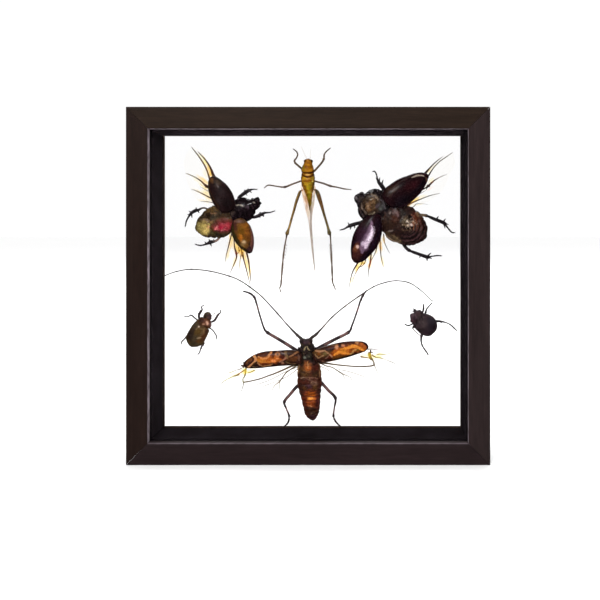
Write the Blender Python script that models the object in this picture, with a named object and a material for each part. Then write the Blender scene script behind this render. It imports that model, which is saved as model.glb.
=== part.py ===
"""Framed insect display: six dried insects held between two panes in a mitred wooden box frame.

Metres, +Z up. The frame stands on its bottom rail and faces -Y; the origin is at the middle of its base.
"""

import math

import bmesh
import bpy
from mathutils import Vector

# Frame
FRAME_WIDTH = 0.300
FRAME_HEIGHT = 0.295
FRAME_DEPTH = 0.046
FACE_WIDTH = 0.0178  # the moulding, seen from the front
LIP_DEPTH = 0.007
LIP_BEVEL = 0.001
OUTER_BEVEL = 0.0007
RABBET_WIDTH = 0.008  # step behind the lip that takes the panes and the liner
LINING_REVEAL = 0.0006  # how far the liner and the battens stand in past the lip
PANE_THICKNESS = 0.002
BATTEN_DEPTH = 0.0037
MITRE_GAP = 0.00022
GAP = 0.0003  # left between pieces that touch

FRONT_Y = -FRAME_DEPTH / 2
BACK_Y = FRAME_DEPTH / 2
FRONT_PANE_Y = FRONT_Y + LIP_DEPTH + GAP
REAR_PANE_Y = BACK_Y - BATTEN_DEPTH - GAP - PANE_THICKNESS
RABBET_X = FRAME_WIDTH / 2 - FACE_WIDTH + RABBET_WIDTH
RABBET_LOW = FACE_WIDTH - RABBET_WIDTH
RABBET_HIGH = FRAME_HEIGHT - RABBET_LOW

# Glue pads between each belly and the rear pane
PAD_SIDES = 12
PAD_TAPER = 0.8
BELLY_Y = 0.0148  # about how far back the bellies reach

# Insects
MM = 0.001
BODY_SIDES = 10
LIMB_SIDES = 5
VEIN_SIDES = 4
SHELL_ARC = 5  # facets across a wing case
SHELL_THICKNESS = 0.0008
SHELL_WALL_SHARE = 0.4  # at a wing case's tip, where it is narrower than its thickness allows
MEMBRANE_THICKNESS = 0.0005
WELD_DISTANCE = 0.000002
CREASE_ANGLE = math.radians(50)

# The photograph's eye point, on which the layout of the insects is given: a column and a row of the
# picture and a depth y name one point. One pixel is (y - EYE.y) / FOCAL_PIXELS wide, about 0.87 mm.
EYE = Vector((0.0474, -0.5673, 0.2005))
EYE_COLUMN, EYE_ROW = 365.7, 221.5
FOCAL_PIXELS = 662.0
REARWARD = Vector((0.0, 1.0, 0.0))

# Each insect: mid is the depth of its widest outline. Its bodies are lofts of (column, row, half width)
# from front to back, with the height of the back and of the belly as shares of the half width. Its
# shells are domed wing cases (depth of root, depth of tip, height as a share of the half width), its
# membranes flat hindwings (depth, outline), its veins (depth) and limbs (depth of start, depth of end)
# tapering rods of (column, row, radius in mm).
HARLEQUIN = {
    "name": "harlequin_beetle",
    "colour": (0.09, 0.045, 0.03),
    "mid": 0.0080,
    "pad": (309, 374, 5.0),
    "bodies": [
        (0.9, 0.7, [(305.8, 337.8, 3.6), (306.0, 339.6, 6.0), (306.2, 342.0, 6.3), (306.6, 345.0, 6.0)]),
        (0.75, 0.7, [(306.6, 343.6, 5.6), (307.0, 346.0, 7.3), (307.2, 349.2, 8.8), (307.4, 351.5, 7.7),
                     (307.6, 354.5, 6.8)]),
        (0.6, 0.6, [(307.5, 352.8, 6.2), (307.8, 355.5, 7.6), (308.2, 360.0, 8.4), (308.6, 364.0, 9.6),
                    (308.8, 367.5, 9.0)]),
        (0.5, 0.62, [(308.6, 361.5, 8.2), (308.8, 365.5, 11.2), (309.3, 374.0, 12.1),
                     (309.7, 383.0, 12.4), (310.2, 390.0, 11.3), (310.9, 398.0, 9.9), (311.6, 407.0, 8.5),
                     (312.0, 413.5, 6.9), (312.9, 418.3, 3.6), (313.2, 420.2, 1.0)]),
    ],
    "shells": [
        (0.0052, 0.0055, 0.5, [(305.0, 358.2, 5.0), (299.0, 358.0, 6.8), (290.8, 357.5, 7.8),
                               (279.5, 358.2, 7.9), (266.9, 359.2, 8.1), (257.1, 361.2, 7.3),
                               (249.0, 363.8, 5.0), (245.0, 365.4, 3.1), (243.6, 366.0, 1.4)]),
        (0.0052, 0.0055, 0.5, [(311.5, 357.0, 5.0), (317.5, 356.0, 6.8), (328.0, 353.7, 8.2),
                               (339.1, 351.0, 8.4), (349.6, 348.8, 7.7), (360.2, 347.2, 5.8),
                               (365.8, 347.6, 3.7), (367.9, 348.0, 1.4)]),
    ],
    "membranes": [
        (0.0085, [(303, 362), (280, 359), (258, 363), (245, 366), (230, 369), (216.4, 372.6),
                  (220.6, 384), (231, 388.5), (241.3, 391.8), (256, 392), (271.5, 391.2), (280, 389),
                  (290, 380), (303, 371)]),
        (0.0085, [(315, 358), (335, 356), (352, 353), (366, 350), (381, 351.3), (398, 354.1),
                  (398.7, 365), (389, 371), (378.7, 375.5), (364.4, 378), (351.7, 379), (344.7, 381),
                  (334, 377), (315, 368)]),
    ],
    "veins": [
        (0.0085, [(303, 362.5, 0.45), (271, 373.4, 0.4), (257, 380.2, 0.4), (243.8, 382.2, 0.4),
                  (245.5, 372, 0.4)]),
        (0.0085, [(303, 364, 0.4), (283.7, 375.5, 0.35), (272, 391, 0.3)]),
        (0.0085, [(315, 361.5, 0.45), (339, 365.3, 0.4), (356.6, 366.4, 0.4), (374.2, 365.1, 0.4),
                  (370.5, 355, 0.4)]),
        (0.0085, [(315, 363, 0.4), (333, 368, 0.35), (342, 373.4, 0.35), (351.7, 379, 0.3)]),
    ],
    "limbs": [
        (0.0095, 0.0070, [(302, 354, 1.4), (296.4, 350.3, 1.4), (281, 340.6, 1.35), (267, 332.2, 1.25),
                          (264, 328, 0.85), (260, 316, 0.8), (256.7, 303.9, 0.8), (254.2, 297, 0.9),
                          (249.7, 293.3, 0.8), (243.2, 291.2, 0.55)]),
        (0.0095, 0.0070, [(313, 352, 1.4), (318, 348.3, 1.4), (333, 340.3, 1.35), (348.8, 332, 1.25),
                          (351.8, 326, 0.85), (356.5, 313, 0.8), (360.4, 300.9, 0.8), (363, 295.5, 0.9),
                          (366.3, 290.6, 0.6)]),
        (0.0115, 0.0110, [(303, 361, 1.2), (292, 360, 1.2), (279, 358, 1.1), (268, 361, 0.8),
                          (255, 363, 0.7)]),
        (0.0115, 0.0110, [(313, 360, 1.2), (326, 357, 1.2), (338, 354, 1.1), (348, 350, 0.8),
                          (360, 347, 0.7)]),
        (0.0105, 0.0060, [(301, 383, 1.3), (296.4, 387, 1.3), (290, 394.5, 1.2), (284.1, 402.3, 1.1),
                          (286.5, 409, 0.75), (288.9, 415.5, 0.8), (288.3, 422, 0.75),
                          (284.2, 427, 0.5)]),
        (0.0105, 0.0060, [(317, 379, 1.3), (321.5, 382.8, 1.3), (328.5, 390.5, 1.2), (335.6, 398.3, 1.1),
                          (334.5, 407, 0.75), (333.5, 415.5, 0.8), (335.6, 421.4, 0.75),
                          (340.7, 427, 0.5)]),
        (0.0060, 0.0080, [(303, 340, 0.8), (298, 335.8, 0.8), (287, 324.5, 0.42), (277.4, 313.4, 0.42),
                          (262.1, 296.9, 0.4), (250.3, 287.4, 0.4), (240, 280.6, 0.38),
                          (229.6, 276.2, 0.38), (210.7, 271.3, 0.35), (191.3, 269.3, 0.35),
                          (176.5, 271.5, 0.32), (165.3, 275.4, 0.3)]),
        (0.0060, 0.0080, [(309, 340, 0.8), (315.4, 335, 0.8), (324, 326, 0.42), (332.3, 316.9, 0.42),
                          (345, 306.3, 0.4), (359.2, 296.1, 0.4), (373.5, 286.8, 0.38),
                          (385.5, 282.4, 0.38), (396, 280.8, 0.35), (408.2, 282.4, 0.35),
                          (419, 288.9, 0.32), (432.6, 301.2, 0.3)]),
    ],
}

BROWN = {
    "name": "brown_scarab_beetle",
    "colour": (0.075, 0.03, 0.022),
    "mid": 0.0072,
    "pad": (402, 222, 5.5),
    "bodies": [
        (0.8, 0.7, [(355.4, 197.0, 2.6), (357.3, 197.8, 5.2), (360.2, 198.9, 6.7), (364.5, 200.6, 6.8)]),
        (0.52, 0.42, [(361.5, 200.2, 7.5), (363.8, 201.4, 12.2), (367.5, 203.2, 15.7),
                      (372.0, 205.2, 17.2), (377.5, 207.5, 16.6), (382.0, 209.5, 14.0),
                      (386.0, 211.5, 10.0)]),
        (0.42, 0.48, [(384.0, 210.5, 9.0), (390.0, 214.0, 14.0), (397.0, 218.0, 16.8),
                      (404.0, 222.5, 18.3), (411.0, 227.8, 17.6), (417.0, 231.5, 14.8),
                      (421.5, 234.0, 11.0), (424.5, 235.8, 6.4), (425.9, 236.5, 2.2)]),
    ],
    "shells": [
        (0.0030, 0.0050, 0.5, [(388.5, 202.0, 9.0), (392.0, 198.6, 12.4), (397.5, 195.6, 13.5),
                               (404.5, 190.6, 13.2), (411.5, 186.1, 11.7), (418.0, 181.7, 9.7),
                               (423.2, 178.6, 6.9), (426.6, 176.8, 3.9), (428.4, 176.0, 1.6)]),
        (0.0030, 0.0050, 0.5, [(377.0, 215.0, 5.0), (374.3, 220.0, 8.5), (371.5, 227.0, 11.6),
                               (368.2, 234.2, 13.3), (365.0, 241.3, 13.3), (361.7, 248.3, 11.5),
                               (358.8, 255.0, 8.8), (356.8, 259.5, 6.0), (355.8, 262.3, 2.6)]),
    ],
    "membranes": [
        (0.0085, [(388, 204), (405, 188), (418, 178), (427, 171), (440, 158.5), (452.5, 152), (456, 158),
                  (455, 166), (449.5, 174), (446, 184), (439.5, 193.5), (430, 201), (421, 206),
                  (410, 209), (396, 214)]),
        (0.0085, [(376, 214), (366, 238), (360, 255), (356.3, 264), (350.3, 276), (348.8, 291),
                  (357, 287), (368.4, 280), (376, 273), (384, 268.5), (387, 260), (386.5, 250),
                  (384.5, 240), (392, 224)]),
    ],
    "veins": [
        (0.0085, [(418, 179, 0.5), (427.5, 172.2, 0.45), (440, 160.5, 0.4), (452.2, 152.8, 0.3)]),
        (0.0085, [(418, 190, 0.45), (428, 185.7, 0.55), (446, 174.4, 0.3)]),
        (0.0085, [(403, 208, 0.5), (415, 201, 0.45), (427, 196.6, 0.4), (439, 193.6, 0.3)]),
        (0.0085, [(361, 255, 0.5), (357.8, 262.8, 0.45), (350.7, 276, 0.4), (349.6, 290, 0.3)]),
        (0.0085, [(372, 250, 0.45), (370.5, 261.6, 0.5), (368.4, 279, 0.3)]),
        (0.0085, [(381, 228, 0.45), (380.4, 250, 0.4), (383, 267, 0.3)]),
    ],
    "limbs": [
        (0.0090, 0.0075, [(378, 197, 1.5), (383.4, 190, 1.6), (381, 185.5, 1.7), (378.6, 182, 1.3),
                          (377.3, 178, 0.55), (376.2, 173.8, 0.5), (374.6, 171.4, 0.5),
                          (372.8, 171.5, 0.45)]),
        (0.0090, 0.0075, [(368, 218, 1.4), (361, 222.3, 1.4), (355, 224, 1.5), (350, 225.5, 1.6),
                          (347.5, 227, 0.9), (344, 229, 0.55), (340.2, 230, 0.45)]),
        (0.0105, 0.0080, [(408, 214, 1.5), (419, 215, 1.3), (426, 215.6, 1.2), (435, 219.3, 1.35),
                          (444, 223, 1.45), (446.2, 225.8, 0.7), (449.5, 230, 0.6), (452, 232.4, 0.55),
                          (454.5, 232.6, 0.45)]),
        (0.0105, 0.0080, [(401, 238, 1.9), (405.5, 246.5, 1.9), (409.5, 250.5, 1.4), (418, 253.8, 1.35),
                          (427.5, 257, 1.5), (431, 256.5, 0.65), (437, 255.6, 0.6),
                          (441.5, 255.8, 0.45)]),
        (0.0120, 0.0115, [(392, 212, 1.5), (400, 202, 1.5), (410, 192, 1.3), (419, 183, 0.8)]),
        (0.0120, 0.0115, [(388, 216, 1.5), (376, 226, 1.5), (369, 240, 1.3), (363, 252, 0.8)]),
    ],
}

HORNED = {
    "name": "horned_beetle",
    "colour": (0.045, 0.035, 0.03),
    "mid": 0.0080,
    "pad": (222, 220, 5.0),
    "bodies": [
        (0.9, 0.8, [(249.5, 206.3, 6.6), (252.5, 205.0, 6.4), (255.5, 203.8, 5.7), (258.2, 202.7, 4.4),
                    (259.4, 202.2, 2.0)][::-1]),
        (0.62, 0.52, [(251.2, 206.8, 8.5), (248.5, 207.8, 11.0), (244.5, 209.3, 12.2),
                      (240.0, 211.0, 12.2), (236.0, 212.5, 11.0), (232.5, 213.9, 9.0)]),
        (0.42, 0.52, [(234.5, 213.2, 8.5), (228.0, 215.8, 12.5), (220.5, 220.4, 16.2),
                      (213.3, 223.0, 15.5), (207.2, 225.4, 13.0), (202.0, 227.0, 9.8),
                      (198.5, 228.0, 6.2), (196.3, 228.6, 2.6)]),
    ],
    "shells": [
        (0.0030, 0.0050, 0.5, [(228.0, 210.0, 7.5), (226.5, 205.5, 9.6), (223.3, 199.2, 10.9),
                               (220.1, 193.2, 10.6), (216.8, 187.4, 9.3), (214.0, 181.9, 6.4),
                               (212.6, 178.8, 4.4), (212.1, 177.3, 3.0)]),
        (0.0030, 0.0050, 0.5, [(236.0, 217.0, 6.0), (237.6, 221.6, 7.6), (240.0, 228.0, 10.0),
                               (242.5, 234.0, 10.3), (245.0, 240.0, 9.4), (247.4, 245.6, 7.2),
                               (249.2, 249.8, 4.6), (250.5, 252.8, 1.8)]),
    ],
    "membranes": [
        (0.0088, [(228, 208), (220, 192), (214.5, 178), (207, 161), (197.5, 149.5), (191.7, 146.3),
                  (187, 153), (184, 163), (186, 173.7), (186.5, 182), (190.8, 190), (195, 198),
                  (203, 204), (214, 212)]),
        (0.0088, [(226, 224), (230, 236), (226, 248), (224.5, 263), (227, 270), (230.4, 274.5),
                  (238, 279), (245, 283.5), (250.7, 289), (252, 278), (250.3, 265), (248.5, 252),
                  (243, 243), (240, 224)]),
    ],
    "veins": [
        (0.0088, [(218, 185, 0.5), (214.6, 177, 0.5), (205.5, 159.5, 0.4), (197.7, 150.6, 0.3)]),
        (0.0088, [(211, 184, 0.5), (208.8, 177, 0.45), (200.5, 158.5, 0.4), (192.4, 147.4, 0.3)]),
        (0.0088, [(213, 191, 0.5), (207, 186.6, 0.55), (198, 179.3, 0.4), (187.6, 174.2, 0.3)]),
        (0.0088, [(217, 201, 0.4), (210.5, 198.3, 0.4), (192, 189.4, 0.3)]),
        (0.0088, [(246, 244, 0.5), (247, 252, 0.5), (249.4, 269, 0.4), (250.6, 286, 0.3)]),
        (0.0088, [(238, 242, 0.4), (236, 253, 0.5), (230.8, 273, 0.3)]),
        (0.0088, [(232, 228, 0.4), (230.6, 240, 0.35), (225.2, 262.5, 0.3)]),
    ],
    "limbs": [
        (0.0090, 0.0075, [(239, 206, 1.3), (238.6, 198, 1.4), (242, 195, 1.5), (247, 191.5, 1.6),
                          (250, 190, 1.1), (253.5, 189.3, 0.5), (257, 189.4, 0.45)]),
        (0.0090, 0.0075, [(246, 215, 1.4), (252, 217, 1.3), (256.5, 216.8, 1.3), (261, 214.8, 1.6),
                          (265, 212.9, 0.9), (270, 212.4, 0.5), (274.6, 211, 0.45)]),
        (0.0110, 0.0085, [(213, 214, 1.2), (206, 208.5, 0.8), (202, 208.2, 0.8), (198.3, 210, 1.1),
                          (195.5, 210.6, 1.6), (191.5, 213, 1.3), (188.5, 217, 0.7), (186.3, 221.5, 0.55),
                          (185.3, 226.2, 0.45)]),
        (0.0110, 0.0085, [(222, 232, 1.2), (218, 239.3, 1.0), (214, 241.5, 1.1), (211.5, 242, 1.6),
                          (208.5, 243, 1.2), (204.5, 244.8, 0.65), (200, 245.4, 0.55),
                          (195.5, 244.4, 0.45)]),
        (0.0120, 0.0115, [(228, 213, 1.3), (222, 203, 1.3), (216, 191, 1.2), (212.5, 182, 0.7)]),
        (0.0120, 0.0115, [(234, 217, 1.3), (240, 228, 1.3), (245, 239, 1.2), (248, 247, 0.7)]),
    ],
}

KATYDID = {
    "name": "katydid",
    "colour": (0.36, 0.19, 0.04),
    "mid": 0.0085,
    "pad": (308, 181, 4.0),
    "bodies": [
        (0.9, 0.8, [(308.2, 159.2, 3.2), (308.2, 160.2, 4.4), (308.1, 162.0, 4.5), (307.9, 165.0, 4.4)]),
        (0.85, 0.8, [(308.1, 163.4, 4.2), (307.9, 167.0, 5.5), (307.7, 170.5, 6.4), (307.7, 172.8, 6.2)]),
        (0.8, 0.85, [(307.9, 172.0, 5.8), (308.0, 176.0, 6.5), (308.1, 182.0, 7.0), (308.5, 190.0, 6.2),
                     (309.0, 197.0, 4.4), (309.6, 205.0, 2.8)]),
        (0.45, 0.3, [(308.1, 180.0, 6.0), (308.4, 188.0, 7.1), (308.8, 198.0, 6.1), (309.4, 206.0, 4.6),
                     (309.9, 214.0, 3.2), (310.5, 222.0, 1.8), (311.2, 232.0, 1.1), (312.1, 245.0, 0.9),
                     (313.3, 258.0, 0.8), (314.9, 271.0, 0.5)]),
    ],
    "shells": [],
    "membranes": [],
    "veins": [],
    "limbs": [
        (0.0105, 0.0090, [(305, 172, 0.9), (301.5, 168.5, 0.8), (297.8, 165.3, 0.8), (295.1, 162.8, 0.75),
                          (294.7, 160.8, 0.7), (296.2, 158.3, 0.55), (297.6, 155, 0.5), (296.8, 152, 0.5),
                          (293.4, 149, 0.4)]),
        (0.0105, 0.0090, [(311, 173, 0.9), (314.5, 170.8, 0.8), (318.5, 166.5, 0.75), (322, 162.3, 0.75),
                          (323.8, 158.8, 0.8), (324.3, 154.5, 0.55), (326.4, 151.4, 0.5),
                          (330.3, 148.2, 0.4)]),
        (0.0110, 0.0095, [(304, 180, 0.9), (299.8, 181.4, 0.7), (292, 184.3, 0.7), (284.8, 187, 0.8),
                          (278, 186.5, 0.55), (268.5, 185.2, 0.5), (264.5, 187.8, 0.4)]),
        (0.0110, 0.0095, [(312, 180, 0.9), (315.5, 181.3, 0.7), (323, 183.3, 0.7), (330.5, 186, 0.8),
                          (337, 187.2, 0.55), (344.5, 188.9, 0.5), (351, 189.5, 0.35)]),
        (0.0110, 0.0095, [(305, 184, 1.3), (300.4, 190, 1.5), (298, 197, 1.45), (295, 206, 1.25),
                          (291.3, 219, 1.15), (288.6, 230, 1.35), (287.2, 234, 1.5), (286.2, 238.5, 0.8),
                          (284.2, 249, 0.9), (282.5, 264, 0.9), (280.9, 284, 0.85), (279.8, 288, 0.6),
                          (281.2, 292.8, 0.45)]),
        (0.0110, 0.0095, [(311, 184, 1.3), (315.9, 189, 1.5), (318.4, 195, 2.2), (321, 203, 1.9),
                          (324.3, 215, 1.4), (327.5, 226, 1.35), (329.4, 233.5, 1.6),
                          (330.3, 238.5, 0.85), (330.9, 250, 0.9), (332, 268, 0.9), (332.5, 281, 0.85),
                          (334.2, 286.4, 0.6), (335.7, 289.7, 0.45)]),
    ],
}

OLIVE = {
    "name": "olive_scarab_beetle",
    "colour": (0.11, 0.07, 0.03),
    "mid": 0.0100,
    "pad": (197, 335, 3.5),
    "bodies": [
        (0.7, 0.6, [(208.3, 312.7, 1.8), (207.9, 314.0, 3.4), (207.2, 316.2, 4.2), (206.0, 319.5, 4.4)]),
        (0.6, 0.5, [(206.6, 318.0, 4.6), (206.0, 320.0, 6.8), (205.0, 322.5, 7.7), (203.9, 325.0, 7.7),
                    (202.8, 327.6, 6.6)]),
        (0.62, 0.54, [(203.6, 324.0, 6.4), (202.8, 325.7, 7.7), (200.5, 329.5, 8.2), (198.2, 333.8, 8.6),
                      (196.2, 337.6, 8.9), (194.7, 340.9, 8.7), (193.8, 343.6, 7.0), (193.3, 346.0, 4.2),
                      (193.2, 347.5, 1.5)]),
    ],
    "shells": [],
    "membranes": [],
    "veins": [],
    "limbs": [
        (0.0115, 0.0105, [(203, 322, 0.9), (198.8, 318.2, 0.9), (199.3, 314, 0.9), (201.2, 310.4, 0.85),
                          (202.3, 308.9, 0.55), (201.4, 307.4, 0.5), (203.9, 305.2, 0.4)]),
        (0.0115, 0.0105, [(207, 323, 0.9), (211.9, 322, 0.85), (215, 319.3, 0.85), (217.8, 314.8, 0.85),
                          (220.4, 312.4, 0.5), (220.6, 309.8, 0.4)]),
        (0.0120, 0.0110, [(202, 324, 0.8), (197.5, 320.5, 0.65), (191.3, 315.5, 0.7),
                          (188.5, 316.3, 0.45), (184.2, 316.4, 0.35)]),
        (0.0120, 0.0110, [(205, 327, 0.8), (210, 328.6, 0.65), (214, 331.9, 0.5), (216.8, 336.2, 0.5),
                          (216.6, 338.8, 0.35)]),
        (0.0120, 0.0110, [(191, 334, 0.8), (186.2, 337.5, 0.65), (181.8, 341.6, 0.55),
                          (181.3, 344.2, 0.35)]),
        (0.0120, 0.0110, [(200, 340, 0.9), (203, 344.5, 0.75), (201.2, 347.2, 0.7), (199.6, 352.5, 0.5),
                          (197.6, 354.3, 0.4)]),
    ],
}

DUNG = {
    "name": "dung_beetle",
    "colour": (0.035, 0.026, 0.026),
    "mid": 0.0098,
    "pad": (424, 324, 3.5),
    "bodies": [
        (0.5, 0.5, [(410.2, 317.8, 3.4), (411.6, 317.6, 5.0), (413.8, 318.0, 6.0), (416.5, 318.6, 6.0)]),
        (0.6, 0.5, [(412.6, 317.2, 5.4), (414.6, 317.6, 7.6), (417.3, 318.4, 8.4), (420.3, 319.8, 8.6),
                    (423.0, 321.4, 7.6)]),
        (0.6, 0.5, [(420.8, 321.0, 7.6), (423.0, 322.8, 9.6), (425.8, 324.7, 10.2), (429.0, 326.2, 9.9),
                    (432.0, 327.0, 8.6), (434.8, 327.6, 5.8), (436.6, 327.9, 2.4)]),
    ],
    "shells": [],
    "membranes": [],
    "veins": [],
    "limbs": [
        (0.0110, 0.0105, [(417, 315, 1.2), (414.6, 309.9, 1.3)]),
        (0.0115, 0.0105, [(419, 316, 0.8), (423, 311, 0.7), (423.6, 307.5, 0.65), (423, 304.2, 0.5)]),
        (0.0115, 0.0105, [(423, 318, 0.8), (425.3, 313.2, 0.85), (427, 308.4, 0.6), (432.5, 303.1, 0.4)]),
        (0.0115, 0.0105, [(431, 322, 1.1), (437, 320.5, 1.0), (442, 321.4, 0.85), (446.5, 322.4, 0.55),
                          (450.5, 324.8, 0.6), (456.7, 330.5, 0.4)]),
        (0.0115, 0.0105, [(416, 321, 0.8), (411.8, 324.2, 0.65), (408.3, 325.5, 0.55),
                          (404.7, 324.2, 0.45)]),
        (0.0115, 0.0105, [(418, 325, 1.0), (413, 327.4, 0.9), (413.6, 330.3, 0.55), (420, 335.4, 0.4)]),
        (0.0115, 0.0105, [(424, 329, 1.2), (421.4, 336, 1.2), (421.2, 341, 0.65), (422.6, 346.3, 0.65),
                          (428, 355, 0.4)]),
    ],
}

SPECIMENS = (HARLEQUIN, BROWN, HORNED, KATYDID, OLIVE, DUNG)


def clear_scene():
    """Removes whatever the scene holds, such as the startup cube."""
    for thing in list(bpy.data.objects):
        bpy.data.objects.remove(thing)


def new_collection(name):
    """A new collection linked to the scene."""
    group = bpy.data.collections.new(name)
    bpy.context.scene.collection.children.link(group)
    return group


def make_material(name, colour, roughness, transmission=0.0):
    """A Principled material of one colour."""
    material = bpy.data.materials.new(name)
    material.use_nodes = True
    shader = material.node_tree.nodes["Principled BSDF"]
    shader.inputs["Base Color"].default_value = (*colour, 1.0)
    shader.inputs["Roughness"].default_value = roughness
    shader.inputs["Transmission Weight"].default_value = transmission
    material.diffuse_color = (*colour, 1.0)
    return material


def add_object(name, work, group, material):
    """Turns the bmesh into an object of that name in the collection."""
    mesh = bpy.data.meshes.new(name)
    work.to_mesh(mesh)
    work.free()
    mesh.materials.append(material)
    thing = bpy.data.objects.new(name, mesh)
    group.objects.link(thing)
    return thing


def box(name, low, high, group, material):
    """A box between two corners."""
    work = bmesh.new()
    bmesh.ops.create_cube(work, size=1.0)
    size = Vector(high) - Vector(low)
    bmesh.ops.scale(work, vec=size, verts=work.verts)
    bmesh.ops.translate(work, vec=(Vector(low) + Vector(high)) / 2, verts=work.verts)
    return add_object(name, work, group, material)


# ---- Frame, panes, liner and battens


def rail_profile():
    """The moulding's section: (distance in from the frame's outer edge, y)."""
    rabbet_edge = FACE_WIDTH - RABBET_WIDTH
    return [
        (OUTER_BEVEL, FRONT_Y),
        (FACE_WIDTH - LIP_BEVEL, FRONT_Y),
        (FACE_WIDTH, FRONT_Y + LIP_BEVEL),
        (FACE_WIDTH, FRONT_Y + LIP_DEPTH),
        (rabbet_edge, FRONT_Y + LIP_DEPTH),
        (rabbet_edge, BACK_Y),
        (OUTER_BEVEL, BACK_Y),
        (0.0, BACK_Y - OUTER_BEVEL),
        (0.0, FRONT_Y + OUTER_BEVEL),
    ]


def frame_rail(name, quarter_turns, group, material):
    """One mitred rail: the section extruded, its ends cut back at 45 degrees. Turn 0 is the bottom rail."""
    lengths = (FRAME_WIDTH, FRAME_HEIGHT)
    length = lengths[quarter_turns % 2]
    reach = lengths[(quarter_turns + 1) % 2] / 2
    work = bmesh.new()
    corners = [work.verts.new((0.0, y, inset)) for inset, y in rail_profile()]
    section = work.faces.new(corners)
    grown = bmesh.ops.extrude_face_region(work, geom=[section])["geom"]
    far_end = {v for v in grown if isinstance(v, bmesh.types.BMVert)}
    for vert in work.verts:
        side = 1.0 if vert in far_end else -1.0
        vert.co.x = side * (length / 2 - vert.co.z - MITRE_GAP)
        vert.co.z -= reach
    turn = quarter_turns * math.pi / 2
    for vert in work.verts:
        x, z = vert.co.x, vert.co.z
        vert.co.x = x * math.cos(turn) - z * math.sin(turn)
        vert.co.z = x * math.sin(turn) + z * math.cos(turn) + FRAME_HEIGHT / 2
    bmesh.ops.recalc_face_normals(work, faces=work.faces)
    return add_object(name, work, group, material)


def make_frame(group):
    """The four mitred rails."""
    wood = make_material("frame_wood", (0.045, 0.026, 0.02), 0.55)
    for turns, side in enumerate(("bottom", "right", "top", "left")):
        frame_rail(f"frame_rail_{side}", turns, group, wood)


def make_panes(group):
    """The front and rear glass, lying in the rabbet."""
    glass = make_material("pane_glass", (0.95, 0.97, 0.97), 0.03, transmission=1.0)
    for name, front in (("glass_front", FRONT_PANE_Y), ("glass_rear", REAR_PANE_Y)):
        low = (-RABBET_X + GAP, front, RABBET_LOW + GAP)
        high = (RABBET_X - GAP, front + PANE_THICKNESS, RABBET_HIGH - GAP)
        box(name, low, high, group, glass)


def make_lining(name, front, back, group, material):
    """Four strips round the rabbet: long ones above and below, short ones between."""
    thickness = RABBET_WIDTH + LINING_REVEAL
    outer, inner = RABBET_X - GAP, RABBET_X - thickness
    low, high = RABBET_LOW + GAP, RABBET_HIGH - GAP
    sill, head = RABBET_LOW + thickness, RABBET_HIGH - thickness
    box(f"{name}_bottom", (-outer, front, low), (outer, back, sill), group, material)
    box(f"{name}_top", (-outer, front, head), (outer, back, high), group, material)
    box(f"{name}_left", (-outer, front, sill + GAP), (-inner, back, head - GAP), group, material)
    box(f"{name}_right", (inner, front, sill + GAP), (outer, back, head - GAP), group, material)


# ---- Insects


def spot(column, row, y):
    """The point at depth y that the photograph shows at this column and row."""
    pixel = (y - EYE.y) / FOCAL_PIXELS
    return Vector((EYE.x + (column - EYE_COLUMN) * pixel, y, EYE.z - (row - EYE_ROW) * pixel))


def add_skin(work, rings):
    """Joins rings of vertices into one closed skin, with a flat cap at each end."""
    loops = [[work.verts.new(point) for point in ring] for ring in rings]
    count = len(loops[0])
    for near, far in zip(loops, loops[1:]):
        for i in range(count):
            j = (i + 1) % count
            work.faces.new((near[i], near[j], far[j], far[i]))
    work.faces.new(loops[0][::-1])
    work.faces.new(loops[-1])


def directions(points):
    """The unit direction of a line at each of its points."""
    last = len(points) - 1
    return [(points[min(i + 1, last)] - points[max(i - 1, 0)]).normalized() for i in range(len(points))]


def body_mesh(back_share, belly_share, stations, mid):
    """A body section: elliptical rings across the stations, higher or lower on the back and the belly."""
    centres = [spot(column, row, mid) for column, row, _ in stations]
    pixel = (mid - EYE.y) / FOCAL_PIXELS
    rings = []
    for centre, along, (_, _, half) in zip(centres, directions(centres), stations):
        half *= pixel
        across = along.cross(REARWARD) * half
        ring = []
        for k in range(BODY_SIDES):
            angle = 2 * math.pi * (k + 0.5) / BODY_SIDES
            share = back_share if math.sin(angle) > 0 else belly_share
            ring.append(centre + across * math.cos(angle) - REARWARD * half * share * math.sin(angle))
        rings.append(ring)
    work = bmesh.new()
    add_skin(work, rings)
    return work


def shell_mesh(y_root, y_tip, dome, stations):
    """A wing case: a thin domed shell, hollow behind, that runs from its root to its tip."""
    last = len(stations) - 1
    centres = [spot(c, r, y_root + (y_tip - y_root) * i / last) for i, (c, r, _) in enumerate(stations)]
    rings = []
    for centre, along, (_, _, half) in zip(centres, directions(centres), stations):
        across = along.cross(REARWARD).normalized()
        half *= (centre.y - EYE.y) / FOCAL_PIXELS
        wall = min(SHELL_THICKNESS, half * SHELL_WALL_SHARE)
        ring = []
        for radius, height, order in (
            (half, half * dome + wall, range(SHELL_ARC + 1)),
            (half - wall, half * dome, range(SHELL_ARC, -1, -1)),
        ):
            for k in order:
                angle = math.pi * k / SHELL_ARC
                side = across * radius * math.cos(angle)
                ring.append(centre + side - REARWARD * height * math.sin(angle))
        rings.append(ring)
    work = bmesh.new()
    add_skin(work, rings)
    return work


def membrane_mesh(y, outline):
    """A hindwing: its outline as a thin plate."""
    work = bmesh.new()
    face = work.faces.new([work.verts.new(spot(column, row, y)) for column, row in outline])
    grown = bmesh.ops.extrude_face_region(work, geom=[face])["geom"]
    back = [v for v in grown if isinstance(v, bmesh.types.BMVert)]
    bmesh.ops.translate(work, vec=(0, MEMBRANE_THICKNESS, 0), verts=back)
    return work


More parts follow.
